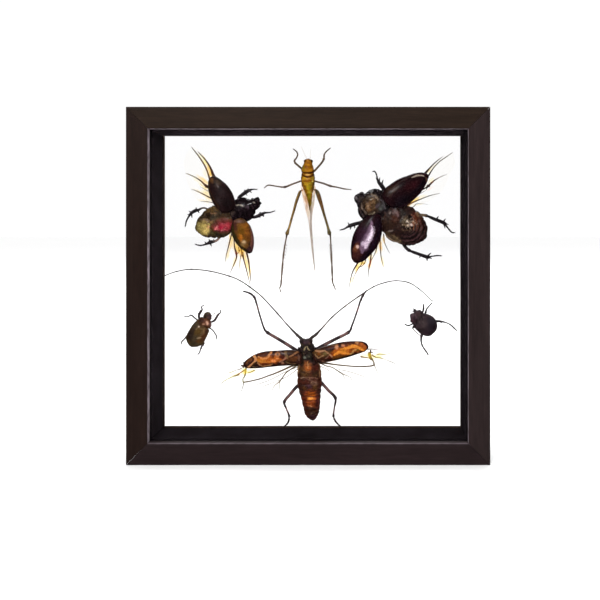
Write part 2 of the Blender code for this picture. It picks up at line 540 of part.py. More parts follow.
def rod_mesh(y_start, y_end, stations, sides):
    """A leg, a feeler or a vein: a rod of varying radius through its stations."""
    last = len(stations) - 1
    points = [spot(c, r, y_start + (y_end - y_start) * i / last) for i, (c, r, _) in enumerate(stations)]
    rings = []
    for point, along, (_, _, radius) in zip(points, directions(points), stations):
        across = along.cross(REARWARD).normalized()
        up = across.cross(along)
        ring = []
        for k in range(sides):
            angle = 2 * math.pi * k / sides
            ring.append(point + (across * math.cos(angle) + up * math.sin(angle)) * radius * MM)
        rings.append(ring)
    work = bmesh.new()
    add_skin(work, rings)
    return work


def fuse(name, pieces, group, material):
    """One closed solid: the union of all the pieces."""
    loose = bpy.data.collections.new(f"{name}_pieces")
    things = []
    for i, work in enumerate(pieces):
        bmesh.ops.recalc_face_normals(work, faces=work.faces)
        bmesh.ops.triangulate(work, faces=work.faces)
        things.append(add_object(f"{name}_piece_{i}", work, group, material))
    first, others = things[0], things[1:]
    for thing in others:
        loose.objects.link(thing)
    union = first.modifiers.new("union", "BOOLEAN")
    union.operation = "UNION"
    union.operand_type = "COLLECTION"
    union.collection = loose
    union.use_self = True
    bpy.context.view_layer.update()
    mesh = bpy.data.meshes.new_from_object(first.evaluated_get(bpy.context.evaluated_depsgraph_get()))
    for thing in things:
        bpy.data.objects.remove(thing)
    bpy.data.collections.remove(loose)
    work = bmesh.new()
    work.from_mesh(mesh)
    bmesh.ops.triangulate(work, faces=work.faces)
    bmesh.ops.remove_doubles(work, verts=work.verts, dist=WELD_DISTANCE)
    bmesh.ops.dissolve_degenerate(work, edges=work.edges, dist=WELD_DISTANCE)
    bpy.data.meshes.remove(mesh)
    return add_object(name, work, group, material)


def make_specimen(spec, group):
    """One insect, its legs, feelers and wings grown together in one solid."""
    material = make_material(f"{spec['name']}_shell", spec["colour"], 0.35)
    pieces = [body_mesh(*body, spec["mid"]) for body in spec["bodies"]]
    pieces += [shell_mesh(*shell) for shell in spec["shells"]]
    pieces += [membrane_mesh(*membrane) for membrane in spec["membranes"]]
    pieces += [rod_mesh(y, y, stations, VEIN_SIDES) for y, stations in spec["veins"]]
    pieces += [rod_mesh(*limb, LIMB_SIDES) for limb in spec["limbs"]]
    thing = fuse(spec["name"], pieces, group, material)
    thing.data.shade_smooth()
    thing.data.set_sharp_from_angle(angle=CREASE_ANGLE)
    return thing


def belly_depth(thing, point, radius):
    """How far back the insect reaches over its pad."""
    places = [vert.co for vert in thing.data.vertices]
    return max(p.y for p in places if math.hypot(p.x - point.x, p.z - point.z) < radius)


def make_pad(spec, thing, group, material):
    """The dab of clear glue that holds an insect to the rear pane: a low cone, wider on the glass."""
    column, row, radius = spec["pad"]
    point = spot(column, row, BELLY_Y)
    radius *= MM
    front = belly_depth(thing, point, 2 * radius) + GAP
    back = REAR_PANE_Y - GAP
    rings = []
    for y, reach in ((back, radius), (front, radius * PAD_TAPER)):
        turns = [2 * math.pi * k / PAD_SIDES for k in range(PAD_SIDES)]
        ring = [(point.x + reach * math.cos(turn), y, point.z + reach * math.sin(turn)) for turn in turns]
        rings.append(ring)
    work = bmesh.new()
    add_skin(work, rings)
    bmesh.ops.recalc_face_normals(work, faces=work.faces)
    add_object(f"glue_pad_{spec['name']}", work, group, material)


def main():
    clear_scene()
    group = new_collection("framed_insect_display")
    make_frame(group)
    make_panes(group)
    black = make_material("liner_black", (0.014, 0.012, 0.014), 0.6)
    make_lining("liner", FRONT_PANE_Y + PANE_THICKNESS + GAP, REAR_PANE_Y - GAP, group, black)
    brown = make_material("batten_wood", (0.05, 0.03, 0.022), 0.6)
    make_lining("back_batten", BACK_Y - BATTEN_DEPTH, BACK_Y, group, brown)
    glue = make_material("clear_glue", (0.9, 0.88, 0.8), 0.2, transmission=0.8)
    for spec in SPECIMENS:
        thing = make_specimen(spec, group)
        make_pad(spec, thing, group, glue)


main()
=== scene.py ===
"""Looks of the framed insect display: meshes, materials, floor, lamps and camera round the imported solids."""

import math

import bmesh
import bpy
import numpy as np
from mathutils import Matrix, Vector


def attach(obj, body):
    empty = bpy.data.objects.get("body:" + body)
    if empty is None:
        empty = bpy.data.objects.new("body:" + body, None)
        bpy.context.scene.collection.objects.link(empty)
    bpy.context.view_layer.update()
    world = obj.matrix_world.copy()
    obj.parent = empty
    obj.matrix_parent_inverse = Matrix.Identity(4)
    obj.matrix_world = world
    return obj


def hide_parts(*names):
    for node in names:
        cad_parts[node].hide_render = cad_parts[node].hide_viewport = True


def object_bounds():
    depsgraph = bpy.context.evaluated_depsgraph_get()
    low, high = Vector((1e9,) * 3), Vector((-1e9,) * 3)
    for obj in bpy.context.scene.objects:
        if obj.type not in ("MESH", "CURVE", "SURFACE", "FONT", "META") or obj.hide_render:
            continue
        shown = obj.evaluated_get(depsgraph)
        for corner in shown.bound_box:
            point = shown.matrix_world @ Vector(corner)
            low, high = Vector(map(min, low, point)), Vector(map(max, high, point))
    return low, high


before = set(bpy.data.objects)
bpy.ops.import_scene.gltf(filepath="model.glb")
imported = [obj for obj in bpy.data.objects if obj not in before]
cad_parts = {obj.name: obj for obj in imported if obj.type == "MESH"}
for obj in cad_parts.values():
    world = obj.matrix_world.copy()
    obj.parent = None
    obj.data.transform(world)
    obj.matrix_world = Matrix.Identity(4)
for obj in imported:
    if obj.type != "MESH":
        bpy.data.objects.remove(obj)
CAD_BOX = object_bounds()

MM = 0.001
REARWARD = np.array((0.0, 1.0, 0.0))

# The photograph's eye point: a column and a row of the picture and a depth y name one point.
EYE = np.array((0.0474, -0.5673, 0.2005))
EYE_COLUMN, EYE_ROW = 365.7, 221.5
FOCAL_PIXELS = 662.0
IMAGE_SIZE = 600.0

# ---- Numbers and colours


def linear(red, green, blue):
    """A screen colour, 0 to 255, as the linear colour that shaders take."""
    shares = np.array((red, green, blue)) / 255.0
    return np.where(shares <= 0.04045, shares / 12.92, ((shares + 0.055) / 1.055) ** 2.4)


def eased(share):
    """A share from 0 to 1 that starts and ends gently."""
    return share * share * (3 - 2 * share)


def bell(offset, reach):
    """1 where the offset is 0, fading to nothing within about two reaches."""
    return np.exp(-((offset / reach) ** 2))


LATTICE_SIZE = 32
LATTICE = np.random.RandomState(7).rand(LATTICE_SIZE, LATTICE_SIZE, LATTICE_SIZE) * 2 - 1
# How far one seed's noise lies from the next one's, in cells of the lattice.
SEED_SHIFT = 17.31


def noise(points, scale, seed=0):
    """Smooth noise from -1 to 1 at the points; scale is how many bumps fit in a metre."""
    at = np.asarray(points) * scale + seed * SEED_SHIFT
    whole = np.floor(at).astype(int)
    part = eased(at - whole)
    total = 0.0
    for i in (0, 1):
        for j in (0, 1):
            for k in (0, 1):
                corner = (whole + (i, j, k)) % LATTICE_SIZE
                weight = (
                    (part[:, 0] if i else 1 - part[:, 0])
                    * (part[:, 1] if j else 1 - part[:, 1])
                    * (part[:, 2] if k else 1 - part[:, 2])
                )
                total = total + weight * LATTICE[corner[:, 0], corner[:, 1], corner[:, 2]]
    return total


def layered(points, layers, seed):
    """Noise of several (scale, strength) layers, each with a seed of its own."""
    return sum(strength * noise(points, scale, seed + i) for i, (scale, strength) in enumerate(layers))


def pixel_at(y):
    """The size of one pixel of the photograph at depth y."""
    return (y - EYE[1]) / FOCAL_PIXELS


def spot(column, row, y):
    """The points at depth y that the photograph shows at these columns and rows."""
    pixel = pixel_at(y)
    parts = (EYE[0] + (column - EYE_COLUMN) * pixel, y, EYE[2] - (row - EYE_ROW) * pixel)
    return np.stack(np.broadcast_arrays(*parts), axis=-1)


def seen(points, y):
    """The columns and rows of the points, as if they all lay at depth y."""
    pixel = pixel_at(y)
    columns = EYE_COLUMN + (points[:, 0] - EYE[0]) / pixel
    rows = EYE_ROW - (points[:, 2] - EYE[2]) / pixel
    return np.stack([columns, rows], axis=1)


def smooth(stations, steps):
    """A Catmull-Rom curve through the stations, with that many steps between two."""
    known = np.asarray(stations, float)
    long = np.vstack([2 * known[0] - known[1], known, 2 * known[-1] - known[-2]])
    t = (np.arange(steps) / steps)[:, None]
    parts = []
    for i in range(len(known) - 1):
        a, b, c, d = long[i : i + 4]
        curve = 2 * b + (c - a) * t + (2 * a - 5 * b + 4 * c - d) * t**2 + (3 * b - a - 3 * c + d) * t**3
        parts.append(curve / 2)
    parts.append(known[-1:])
    return np.vstack(parts)


def track(stations, start, end, steps):
    """A smooth line through (column, row, size) stations, its depth going evenly from start to end: its
    points, sizes and depths."""
    depths = np.linspace(start, end, len(stations))
    fine = smooth(np.column_stack([stations, depths]), steps)
    return spot(fine[:, 0], fine[:, 1], fine[:, 3]), fine[:, 2], fine[:, 3]


def unit(vectors):
    """The vectors at length one."""
    return vectors / np.maximum(np.linalg.norm(vectors, axis=-1, keepdims=True), 1e-12)


# ---- Meshes


class Shape:
    """Vertices and faces gathered for one piece."""

    def __init__(self):
        self.verts, self.faces, self.count = [], [], 0

    def rings(self, rings, capped=True):
        """Skins closed rings of vertices (rings, round, 3); capped shuts the two ends with fans."""
        rows, columns = rings.shape[:2]
        near = self.count + np.arange(rows * columns).reshape(rows, columns)
        side = np.roll(near, -1, axis=1)
        quads = np.stack([near[:-1], side[:-1], side[1:], near[1:]], axis=-1).reshape(-1, 4)
        self.faces += quads.tolist()
        self.verts.append(rings.reshape(-1, 3))
        self.count += rows * columns
        if capped:
            for ring, line in ((rings[0], near[0][::-1]), (rings[-1], near[-1])):
                self.verts.append(ring.mean(axis=0)[None])
                self.faces += [(int(line[i - 1]), int(line[i]), self.count) for i in range(columns)]
                self.count += 1

    def make(self, name, material):
        """The gathered shape as an object whose faces point out."""
        mesh = bpy.data.meshes.new(name)
        mesh.from_pydata(np.vstack(self.verts).tolist(), [], self.faces)
        work = bmesh.new()
        work.from_mesh(mesh)
        bmesh.ops.recalc_face_normals(work, faces=work.faces)
        work.to_mesh(mesh)
        work.free()
        mesh.materials.append(material)
        mesh.shade_smooth()
        thing = bpy.data.objects.new(name, mesh)
        bpy.context.scene.collection.objects.link(thing)
        return thing


CAP_STEPS = 6
# A cap goes this share of a quarter turn, so that its last ring still has a size.
CAP_TURN = 0.985


def capped_line(points, halves, depth):
    """Adds stations that close both ends of a line with a curve as deep as that share of the end's half
    width. Returns the points, half widths, directions and the share of the length at each."""
    turns = np.linspace(0, math.pi / 2, CAP_STEPS + 1)[1:] * CAP_TURN
    along = unit(np.gradient(points, axis=0))
    head = points[0] - np.outer(np.sin(turns), along[0] * halves[0] * depth)
    tail = points[-1] + np.outer(np.sin(turns), along[-1] * halves[-1] * depth)
    share = np.clip(np.arange(-CAP_STEPS, len(points) + CAP_STEPS) / (len(points) - 1), 0, 1)
    points = np.vstack([head[::-1], points, tail])
    halves = np.concatenate([(np.cos(turns) * halves[0])[::-1], halves, np.cos(turns) * halves[-1]])
    along = np.vstack([along[:1].repeat(CAP_STEPS, 0), along, along[-1:].repeat(CAP_STEPS, 0)])
    return points, halves, along, share[:, None]


# The least half width of a body or a wing case, in pixels.
LEAST_HALF = 0.3


def loft(shape, mid, stations, back, belly, sides=72, steps=14, cap=0.4, form=None):
    """A body section through (column, row, half width) stations; back and belly are heights as shares of
    the half width. form(s, angle) pushes the skin out, in metres; at angle 90 degrees is the back."""
    fine = smooth(stations, steps)
    halves = np.maximum(fine[:, 2], LEAST_HALF) * pixel_at(mid)
    points, halves, along, s = capped_line(spot(fine[:, 0], fine[:, 1], mid), halves, cap)
    across = unit(np.cross(along, REARWARD))
    angle = 2 * math.pi * (np.arange(sides) + 0.5)[None] / sides
    share = np.where(np.sin(angle) > 0, back, belly)
    push = form(s, angle) if form else 0.0
    reach_across = (halves[:, None] + push) * np.cos(angle)
    reach_up = (halves[:, None] * share + push) * np.sin(angle)
    shape.rings(points[:, None] + across[:, None] * reach_across[..., None] - REARWARD * reach_up[..., None])


CASE_STEPS = 22
CASE_CAP = 0.35
# The rise of a wing case as a share of its half width.
CASE_DOME = 0.5
# The wall of a wing case, and the most that it may be as a share of the half width.
CASE_WALL = 0.55 * MM
CASE_WALL_SHARE = 0.4


def shell(shape, stations, root, tip, form, arc=60):
    """A wing case from root depth to tip depth: a thin domed shell through (column, row, half width)."""
    points, sizes, depths = track(stations, root, tip, CASE_STEPS)
    halves = np.maximum(sizes, LEAST_HALF) * pixel_at(depths)
    points, halves, along, s = capped_line(points, halves, CASE_CAP)
    across = unit(np.cross(along, REARWARD))
    angle = math.pi * np.arange(arc + 1)[None] / arc
    half = halves[:, None]
    wall = np.minimum(CASE_WALL, half * CASE_WALL_SHARE)
    outer = (half, half * CASE_DOME + wall + form(s, angle))
    inner = (half - wall, half * CASE_DOME)
    layers = []
    for (reach, height), turn in ((outer, slice(None)), (inner, slice(None, None, -1))):
        side = (reach * np.cos(angle))[:, turn, None]
        up = (height * np.sin(angle))[:, turn, None]
        layers.append(points[:, None] + across[:, None] * side - REARWARD * up)
    shape.rings(np.concatenate(layers, axis=1))


ROD_CAP = 0.6


def tube(shape, points, radii, sides, flat=1.0):
    """A rod of varying radius; flat is its thickness towards the viewer as a share of its width."""
    points, radii, along, _ = capped_line(points, radii, ROD_CAP)
    across = unit(np.cross(along, REARWARD))
    up = np.cross(across, along)
    angle = 2 * math.pi * np.arange(sides)[None, :, None] / sides
    around = across[:, None] * np.cos(angle) + up[:, None] * np.sin(angle) * flat
    shape.rings(points[:, None] + around * radii[:, None, None])


def thread(shape, y, stations, steps=8, sides=8, width=1.0, least=0.04):
    """A vein or a feeler part through (column, row, radius in mm) at depth y, or from y[0] to y[1]. The
    radii are taken times width, and none is less than least."""
    start, end = y if isinstance(y, tuple) else (y, y)
    points, radii, _ = track(stations, start, end, steps)
    tube(shape, points, np.maximum(radii * width, least) * MM, sides=sides)


# A spur is built longer than it looks, since its tip is too fine to show, and its root wider.
SPUR_EXTRA = 0.3
SPUR_ROOT = 1.4
SPUR_TIP = 0.05 * MM
SPUR_TAPER = 0.6
SPUR_STATIONS = 7
SPUR_SIDES = 8


def spur(shape, start, end, y, radius, bend=0.15):
    """A thorn from one (column, row) to another; radius is in mm, bend is a share of its length."""
    a, b = spot(*start, y), spot(*end, y)
    b = b + (b - a) * SPUR_EXTRA
    t = np.linspace(0, 1, SPUR_STATIONS)[:, None]
    sideways = np.cross(b - a, REARWARD) * bend
    points = a + (b - a) * t + sideways * t * (1 - t)
    radii = radius * SPUR_ROOT * MM * (1 - t[:, 0]) ** SPUR_TAPER + SPUR_TIP
    tube(shape, points, radii, sides=SPUR_SIDES)


LEG_STEPS = 10
LEG_SIDES = 14
LEG_FLATNESS = 0.8
# What a leg's radii are multiplied by, and the least radius, in mm.
LEG_FULLNESS, LEG_LEAST = 1.1, 0.2
# A knob's swelling, the narrowing after it, how far on that lies and the reach of both, in stations.
KNOB_SWELL, KNOB_NECK, KNOB_STEP, KNOB_REACH = 0.28, 0.22, 0.28, 0.12
# A foot's joints: how many, the share of the leg's radius between two of them, and what each adds.
FOOT_JOINTS = 5
FOOT_NECK, FOOT_SWELL, FOOT_ROUNDNESS = 0.72, 0.42, 0.6
# A claw: how far it spreads as a share of its length, how far it goes back and its radius, in mm.
CLAW_SPREAD, CLAW_DROP, CLAW_RADIUS = 0.55, 0.3, 0.14
CLAW_STATIONS, CLAW_SIDES, CLAW_TAPER = 8, 6, 0.8


def limb(shape, y_start, y_end, stations, tarsus=None, joints=(), claws=1.3):
    """A leg through (column, row, radius in mm). From station tarsus on it is a string of foot joints that
    ends in two claws of that many mm; at the stations in joints it has a knob."""
    last = len(stations) - 1
    points, sizes, _ = track(stations, y_start, y_end, LEG_STEPS)
    place = np.linspace(0, last, len(points))
    radii = np.maximum(sizes * LEG_FULLNESS, LEG_LEAST) * MM
    for joint in joints:
        knob = KNOB_SWELL * bell(place - joint, KNOB_REACH)
        neck = KNOB_NECK * bell(place - joint - KNOB_STEP, KNOB_REACH)
        radii = radii * (1 + knob - neck)
    if tarsus is not None:
        walk = np.clip((place - tarsus) / (last - tarsus), 0, 1)
        beads = FOOT_NECK + FOOT_SWELL * np.abs(np.sin(walk * math.pi * FOOT_JOINTS)) ** FOOT_ROUNDNESS
        radii = np.where(place > tarsus, radii * beads, radii)
    tube(shape, points, radii, sides=LEG_SIDES, flat=LEG_FLATNESS)
    if claws:
        ahead = unit(points[-1] - points[-4])
        side = unit(np.cross(ahead, REARWARD))
        t = np.linspace(0, 1, CLAW_STATIONS)[:, None]
        radii = CLAW_RADIUS * MM * (1 - CLAW_TAPER * t[:, 0])
        for turn in (-1, 1):
            path = points[-1] + ahead * claws * MM * t + side * turn * claws * CLAW_SPREAD * MM * np.sqrt(t)
            tube(shape, path + REARWARD * CLAW_DROP * MM * t, radii, sides=CLAW_SIDES)


# How far a ball's first and last rings lie from its poles, in radians.
POLE_GAP = 0.04


def ball(shape, column, row, y, wide, high, deep, turn=0.0, rows=18, sides=28):
    """An egg shape at a column, row and depth; half sizes in pixels, turned in the picture by degrees."""
    theta = np.linspace(POLE_GAP, math.pi - POLE_GAP, rows)[:, None]
    phi = 2 * math.pi * np.arange(sides)[None] / sides
    x = np.sin(theta) * np.cos(phi) * wide
    z = np.cos(theta) * np.ones_like(phi) * high
    d = np.sin(theta) * np.sin(phi) * deep
    c, s = math.cos(math.radians(turn)), math.sin(math.radians(turn))
    rings = np.stack([x * c - z * s, d, x * s + z * c], axis=-1) * pixel_at(y) + spot(column, row, y)
    shape.rings(rings)


# ---- Paint


def gathered(items, name):
    """One vector of each item, as rows of an array."""
    flat = np.empty(len(items) * 3)
    items.foreach_get(name, flat)
    return flat.reshape(-1, 3)


def store(mesh, name, values):
    """Numbers, or rows of three, as an attribute of the mesh's vertices."""
    values = np.asarray(values, np.float32)
    kind, field = ("FLOAT", "value") if values.ndim == 1 else ("FLOAT_VECTOR", "vector")
    mesh.attributes.new(name, kind, "POINT").data.foreach_set(field, values.ravel())


# How quickly paint thins out on faces that turn away from the front.
FACING_SLOPE = 2.5
# The noise that makes painted edges uneven: (bumps per metre, strength, seed).
WOBBLES = ((450, 1.0, 1), (1100, 0.5, 3))
# The rise of the noise over which a speck's edge goes from bare to painted.
SPECK_EDGE = 0.2
# Layers of the noise for specks and for mottling: (times the scale, strength), and the mottling's gain.
SPECK_LAYERS = ((1.0, 1.0), (2.1, 0.5))
MOTTLE_LAYERS = ((1.0, 1.0), (2.3, 0.6))
MOTTLE_GAIN = 1.3


class Paint:
    """Colour of each vertex of a piece, laid on by strokes and spots in the plane of the display.
    Places are columns and rows at one depth."""

    def __init__(self, thing, depth, base, belly=None):
        self.mesh = thing.data
        self.co = gathered(self.mesh.vertices, "co")
        self.place = seen(self.co, depth)
        self.colour = np.tile(linear(*base), (len(self.co), 1))
        forward = -gathered(self.mesh.vertex_normals, "vector")[:, 1]
        self.facing = np.clip(0.5 + forward * FACING_SLOPE, 0, 1)
        self.light = 1.0
        self.shift = sum(
            strength * np.stack([noise(self.co, scale, seed), noise(self.co, scale, seed + 1)], axis=1)
            for scale, strength, seed in WOBBLES
        )
        if belly:
            self.colour += (linear(*belly) - self.colour) * (1 - self.facing[:, None])

    def all_sides(self):
        """Lets the paint reach the faces that look away from the front, too."""
        self.facing[:] = 1.0

    def lay(self, mask, colour, amount):
        """Blends a colour in by the mask, 0 to 1 at each vertex."""
        mask = (mask * amount * self.facing)[:, None]
        self.colour += (linear(*colour) - self.colour) * mask

    def stroke(self, points, width, colour, amount=1.0, wobble=0.5, soft=0.35):
        """A line of that full width in pixels; width may be a list, one for each point. wobble is how many
        pixels its edges stray, soft the share of the width over which they fade."""
        points = np.asarray(points, float)
        widths = np.broadcast_to(np.asarray(width, float) / 2, len(points))
        where = self.place + self.shift * wobble
        best = np.zeros(len(where))
        for a, b, wa, wb in zip(points, points[1:], widths, widths[1:]):
            step = b - a
            t = np.clip((where - a) @ step / max(step @ step, 1e-9), 0, 1)
            reach = np.linalg.norm(where - a - t[:, None] * step, axis=1)
            half = wa + (wb - wa) * t
            fade = np.clip((half * (1 + soft) - reach) / np.maximum(2 * soft * half, 1e-6), 0, 1)
            best = np.maximum(best, eased(fade))
        self.lay(best, colour, amount)

    def blot(self, column, row, wide, high, colour, amount=1.0, turn=0.0, wobble=0.8, soft=0.6):
        """An oval with soft edges; half sizes in pixels, turned by degrees."""
        where = self.place + self.shift * wobble - (column, row)
        c, s = math.cos(math.radians(turn)), math.sin(math.radians(turn))
        x, y = where[:, 0] * c + where[:, 1] * s, -where[:, 0] * s + where[:, 1] * c
        reach = np.sqrt((x / wide) ** 2 + (y / high) ** 2)
        self.lay(eased(np.clip((1 + soft - reach) / (2 * soft), 0, 1)), colour, amount)

    def strokes(self, *rows, wobble=0.5, soft=0.35):
        """Several strokes: points, width, colour and amount of each."""
        for row in rows:
            self.stroke(*row, wobble=wobble, soft=soft)

    def blots(self, *rows, wobble=0.8, soft=0.6):
        """Several ovals: column, row, half sizes, colour, amount and turn of each."""
        for row in rows:
            self.blot(*row, wobble=wobble, soft=soft)

    def specks(self, place, reach, colour, amount, scale=1500, bare=0.35, seed=30):
        """Small uneven specks that thin out away from a column and row; bare is the noise they start at."""
        cloud = layered(self.co, [(scale * times, strength) for times, strength in SPECK_LAYERS], seed)
        near = np.exp(-(((self.place - place) / reach) ** 2).sum(axis=1))
        self.lay(np.clip((cloud - bare) / SPECK_EDGE, 0, 1) * near, colour, amount)

    def mottle(self, scale, amount, seed=5):
        """Uneven lightness; scale is how many patches fit in a metre."""
        cloud = layered(self.co, [(scale * times, strength) for times, strength in MOTTLE_LAYERS], seed)
        self.colour *= np.exp(MOTTLE_GAIN * amount * cloud)[:, None]

    def keep(self, tone=1.0, **numbers):
        """Writes the colours, and further numbers, into the mesh; tone scales all or red, green and blue."""
        shown = np.clip(self.colour * tone * self.light, 0, 1)
        rgba = np.concatenate([shown, np.ones((len(shown), 1))], axis=1)
        layer = self.mesh.color_attributes.new("paint", "FLOAT_COLOR", "POINT")
        layer.data.foreach_set("color", rgba.astype(np.float32).ravel())
        for name, values in numbers.items():
            store(self.mesh, name, values)


# ---- Materials


def new_material(name):
    """A material with an empty node tree and its output node."""
    material = bpy.data.materials.new(name)
    material.use_nodes = True
    tree = material.node_tree
    tree.nodes.clear()
    return material, tree, tree.nodes.new("ShaderNodeOutputMaterial")


def node(tree, kind, links=(), **values):
    """A node of that kind. Values set its properties, or its inputs where the key is an input's name."""
    made = tree.nodes.new(f"ShaderNode{kind}")
    for key, value in values.items():
        if hasattr(made, key):
            setattr(made, key, value)
        else:
            made.inputs[key.replace("_", " ")].default_value = value
    for socket, source in dict(links).items():
        tree.links.new(source, made.inputs[socket])
    return made


def mapped(tree, source, low, high, at=(0.0, 1.0)):
    """The source's value moved from the range at into low to high."""
    made = node(tree, "MapRange", {"Value": source}, From_Min=at[0], From_Max=at[1], To_Min=low, To_Max=high)
    return made.outputs["Result"]


def multiplied(tree, colour, factor):
    """A colour socket times a value socket."""
    return node(tree, "VectorMath", {0: colour, 1: factor}, operation="MULTIPLY").outputs["Vector"]


def attribute(tree, name, output="Fac"):
    """An attribute of the mesh."""
    return node(tree, "Attribute", attribute_name=name).outputs[output]


def clouds(tree, place, scale, detail, roughness=0.5):
    """Noise at the place; scale is how many bumps fit in a metre."""
    made = node(tree, "TexNoise", {"Vector": place}, Scale=scale, Detail=detail, Roughness=roughness)
    return made.outputs["Fac"]


def bumped(tree, height, distance, strength=1.0, **links):
    """A normal with that height on it, and on another normal where a link gives one."""
    made = node(tree, "Bump", {"Height": height, **links}, Strength=strength, Distance=distance)
    return made.outputs["Normal"]


def surface(tree, output, links, **values):
    """A Principled surface: links feed its sockets, and values are set on them."""
    shader = node(tree, "BsdfPrincipled", links, **values)
    tree.links.new(shader.outputs["BSDF"], output.inputs["Surface"])


# Patches of a skin are this many times as wide as its grain, and bumps are raised by this factor.
PATCH_GRAINS = 6
BUMP_GAIN = 4
# The distances from a pit's middle between which it rises from its floor to the skin, and its shades there.
PIT_EDGES = (0.1, 0.45)
PIT_SHADES = (0.7, 1.05)
# Noise values between which a skin's lightness and its roughness change, and how far the roughness does.
PATCH_RANGE, ROUGH_RANGE = (0.25, 0.75), (0.3, 0.7)
ROUGH_LEAST, ROUGH_MOST = 0.8, 1.3
COAT_ROUGHNESS = 0.12


def skin_material(name, rough, specular, coat=0.0, grain=(9000, 0.02), pits=None, variety=0.25):
    """Chitin whose colour is the piece's paint. grain is a fine noise (bumps per metre, height in mm), pits
    are small hollows (pits per metre, depth in mm), and variety is how much the lightness varies."""
    material, tree, output = new_material(name)
    place = node(tree, "TexCoord").outputs["Object"]
    patch = clouds(tree, place, grain[0] / PATCH_GRAINS, 4.0)
    shade = mapped(tree, patch, 1 - variety, 1 + variety, PATCH_RANGE)
    colour = multiplied(tree, attribute(tree, "paint", "Color"), shade)
    normal = bumped(tree, clouds(tree, place, grain[0], 3.0), grain[1] * MM * BUMP_GAIN)
    if pits:
        cells = node(tree, "TexVoronoi", {"Vector": place}, Scale=pits[0]).outputs["Distance"]
        hollow = mapped(tree, cells, 0.0, 1.0, PIT_EDGES)
        normal = bumped(tree, hollow, pits[1] * MM * BUMP_GAIN, Normal=normal)
        colour = multiplied(tree, colour, mapped(tree, cells, *PIT_SHADES, PIT_EDGES))
    roughness = mapped(tree, patch, rough * ROUGH_LEAST, min(1.0, rough * ROUGH_MOST), ROUGH_RANGE)
    links = {"Base Color": colour, "Roughness": roughness, "Normal": normal}
    surface(tree, output, links, Specular_IOR_Level=specular, Coat_Weight=coat, Coat_Roughness=COAT_ROUGHNESS)
    return material


def wing_material(name):
    """A clear hindwing: its paint filters what is behind it, and the attribute cover makes it cloudy."""
    material, tree, output = new_material(name)
    paint = attribute(tree, "paint", "Color")
    clear = node(tree, "BsdfTransparent", {"Color": paint}).outputs["BSDF"]
    cloud = node(tree, "BsdfTranslucent", {"Color": paint}).outputs["BSDF"]
    mix = node(tree, "MixShader", {0: attribute(tree, "cover"), 1: clear, 2: cloud})
    tree.links.new(mix.outputs["Shader"], output.inputs["Surface"])
    return material


# The share of light that a face of a coated pane reflects, seen square on, and what it lets through.
PANE_GLEAM = 0.0083
PANE_TINT = (0.998, 0.998, 0.999, 1)


def glass_material():
    """A clear pane with a coating that keeps reflections low; they grow towards grazing views."""
    material, tree, output = new_material("clear_pane")
    slant = node(tree, "LayerWeight", Blend=0.5).outputs["Facing"]
    grazing = node(tree, "Math", {0: slant}, operation="POWER")
    grazing.inputs[1].default_value = 5.0
    gleam = mapped(tree, grazing.outputs["Value"], PANE_GLEAM, 1.0)
    clear = node(tree, "BsdfTransparent", Color=PANE_TINT).outputs["BSDF"]
    gloss = node(tree, "BsdfGlossy", Roughness=0.02).outputs["BSDF"]
    mix = node(tree, "MixShader", {0: gleam, 1: clear, 2: gloss})
    tree.links.new(mix.outputs["Shader"], output.inputs["Surface"])
    return material


# The wood's grain is this many times as long as it is wide.
GRAIN_STRETCH = (0.06, 1.0, 1.0)
# Noise values between which the wood's shades and its roughness change.
WOOD_RANGE = (0.3, 0.7)
# The shades of the grain's lines and of broad patches, and the roughness of the patches.
LINE_SHADES, PATCH_SHADES, WOOD_ROUGHNESS = (0.78, 1.2), (0.85, 1.15), (0.42, 0.58)
# How many lines, patches and pores fit in a metre across the grain, and the relief of lines and pores.
LINES, PATCHES, PORES = 900.0, 130.0, 2600.0
LINE_RELIEF, PORE_RELIEF = 0.00006, 0.00004


def wood_material(name, colour, highlight_and_wear_colour):
    """Dark stained wood; the attribute grain_place runs along each rail, and a painted highlight on the lip and wear on
    the outer edges are mixed in.
    """
    material, tree, output = new_material(name)
    place = attribute(tree, "grain_place", "Vector")
    stretched = node(tree, "Mapping", {"Vector": place}, Scale=GRAIN_STRETCH).outputs["Vector"]
    lines = clouds(tree, stretched, LINES, 5.0, 0.62)
    broad = clouds(tree, stretched, PATCHES, 3.0)
    pores = clouds(tree, stretched, PORES, 2.0)
    streaked = node(tree, "VectorMath", {1: mapped(tree, lines, *LINE_SHADES, WOOD_RANGE)}, operation="MULTIPLY")
    streaked.inputs[0].default_value = linear(*colour)
    dark = multiplied(tree, streaked.outputs["Vector"], mapped(tree, broad, *PATCH_SHADES, WOOD_RANGE))
    mix = node(tree, "Mix", {"Factor": attribute(tree, "wear")}, data_type="RGBA")
    tree.links.new(dark, mix.inputs["A"])
    mix.inputs["B"].default_value = (*linear(*highlight_and_wear_colour), 1)
    normal = bumped(tree, lines, LINE_RELIEF)
    normal = bumped(tree, pores, PORE_RELIEF, 0.6, Normal=normal)
    roughness = mapped(tree, broad, *WOOD_ROUGHNESS, WOOD_RANGE)
    links = {"Base Color": mix.outputs["Result"], "Roughness": roughness, "Normal": normal}
    surface(tree, output, links, Specular_IOR_Level=0.1)
    return material


def lining_material():
    """The black inner strips: flat black paint with a faint cold tint and dust."""
    material, tree, output = new_material("flat_black")
    place = node(tree, "TexCoord").outputs["Object"]
    cloud = clouds(tree, place, 60.0, 5.0)
    ramp = node(tree, "ValToRGB", {"Fac": cloud})
    for stop, position, colour in zip(ramp.color_ramp.elements, (0.3, 0.7), ((25, 21, 23), (31, 27, 30))):
        stop.position, stop.color = position, (*linear(*colour), 1)
    links = {
        "Base Color": multiplied(tree, ramp.outputs["Color"], attribute(tree, "tone")),
        "Roughness": mapped(tree, cloud, 0.82, 0.95),
        "Normal": bumped(tree, clouds(tree, place, 4000.0, 2.0), 0.00004),
    }
    surface(tree, output, links, Specular_IOR_Level=0.0)
    return material


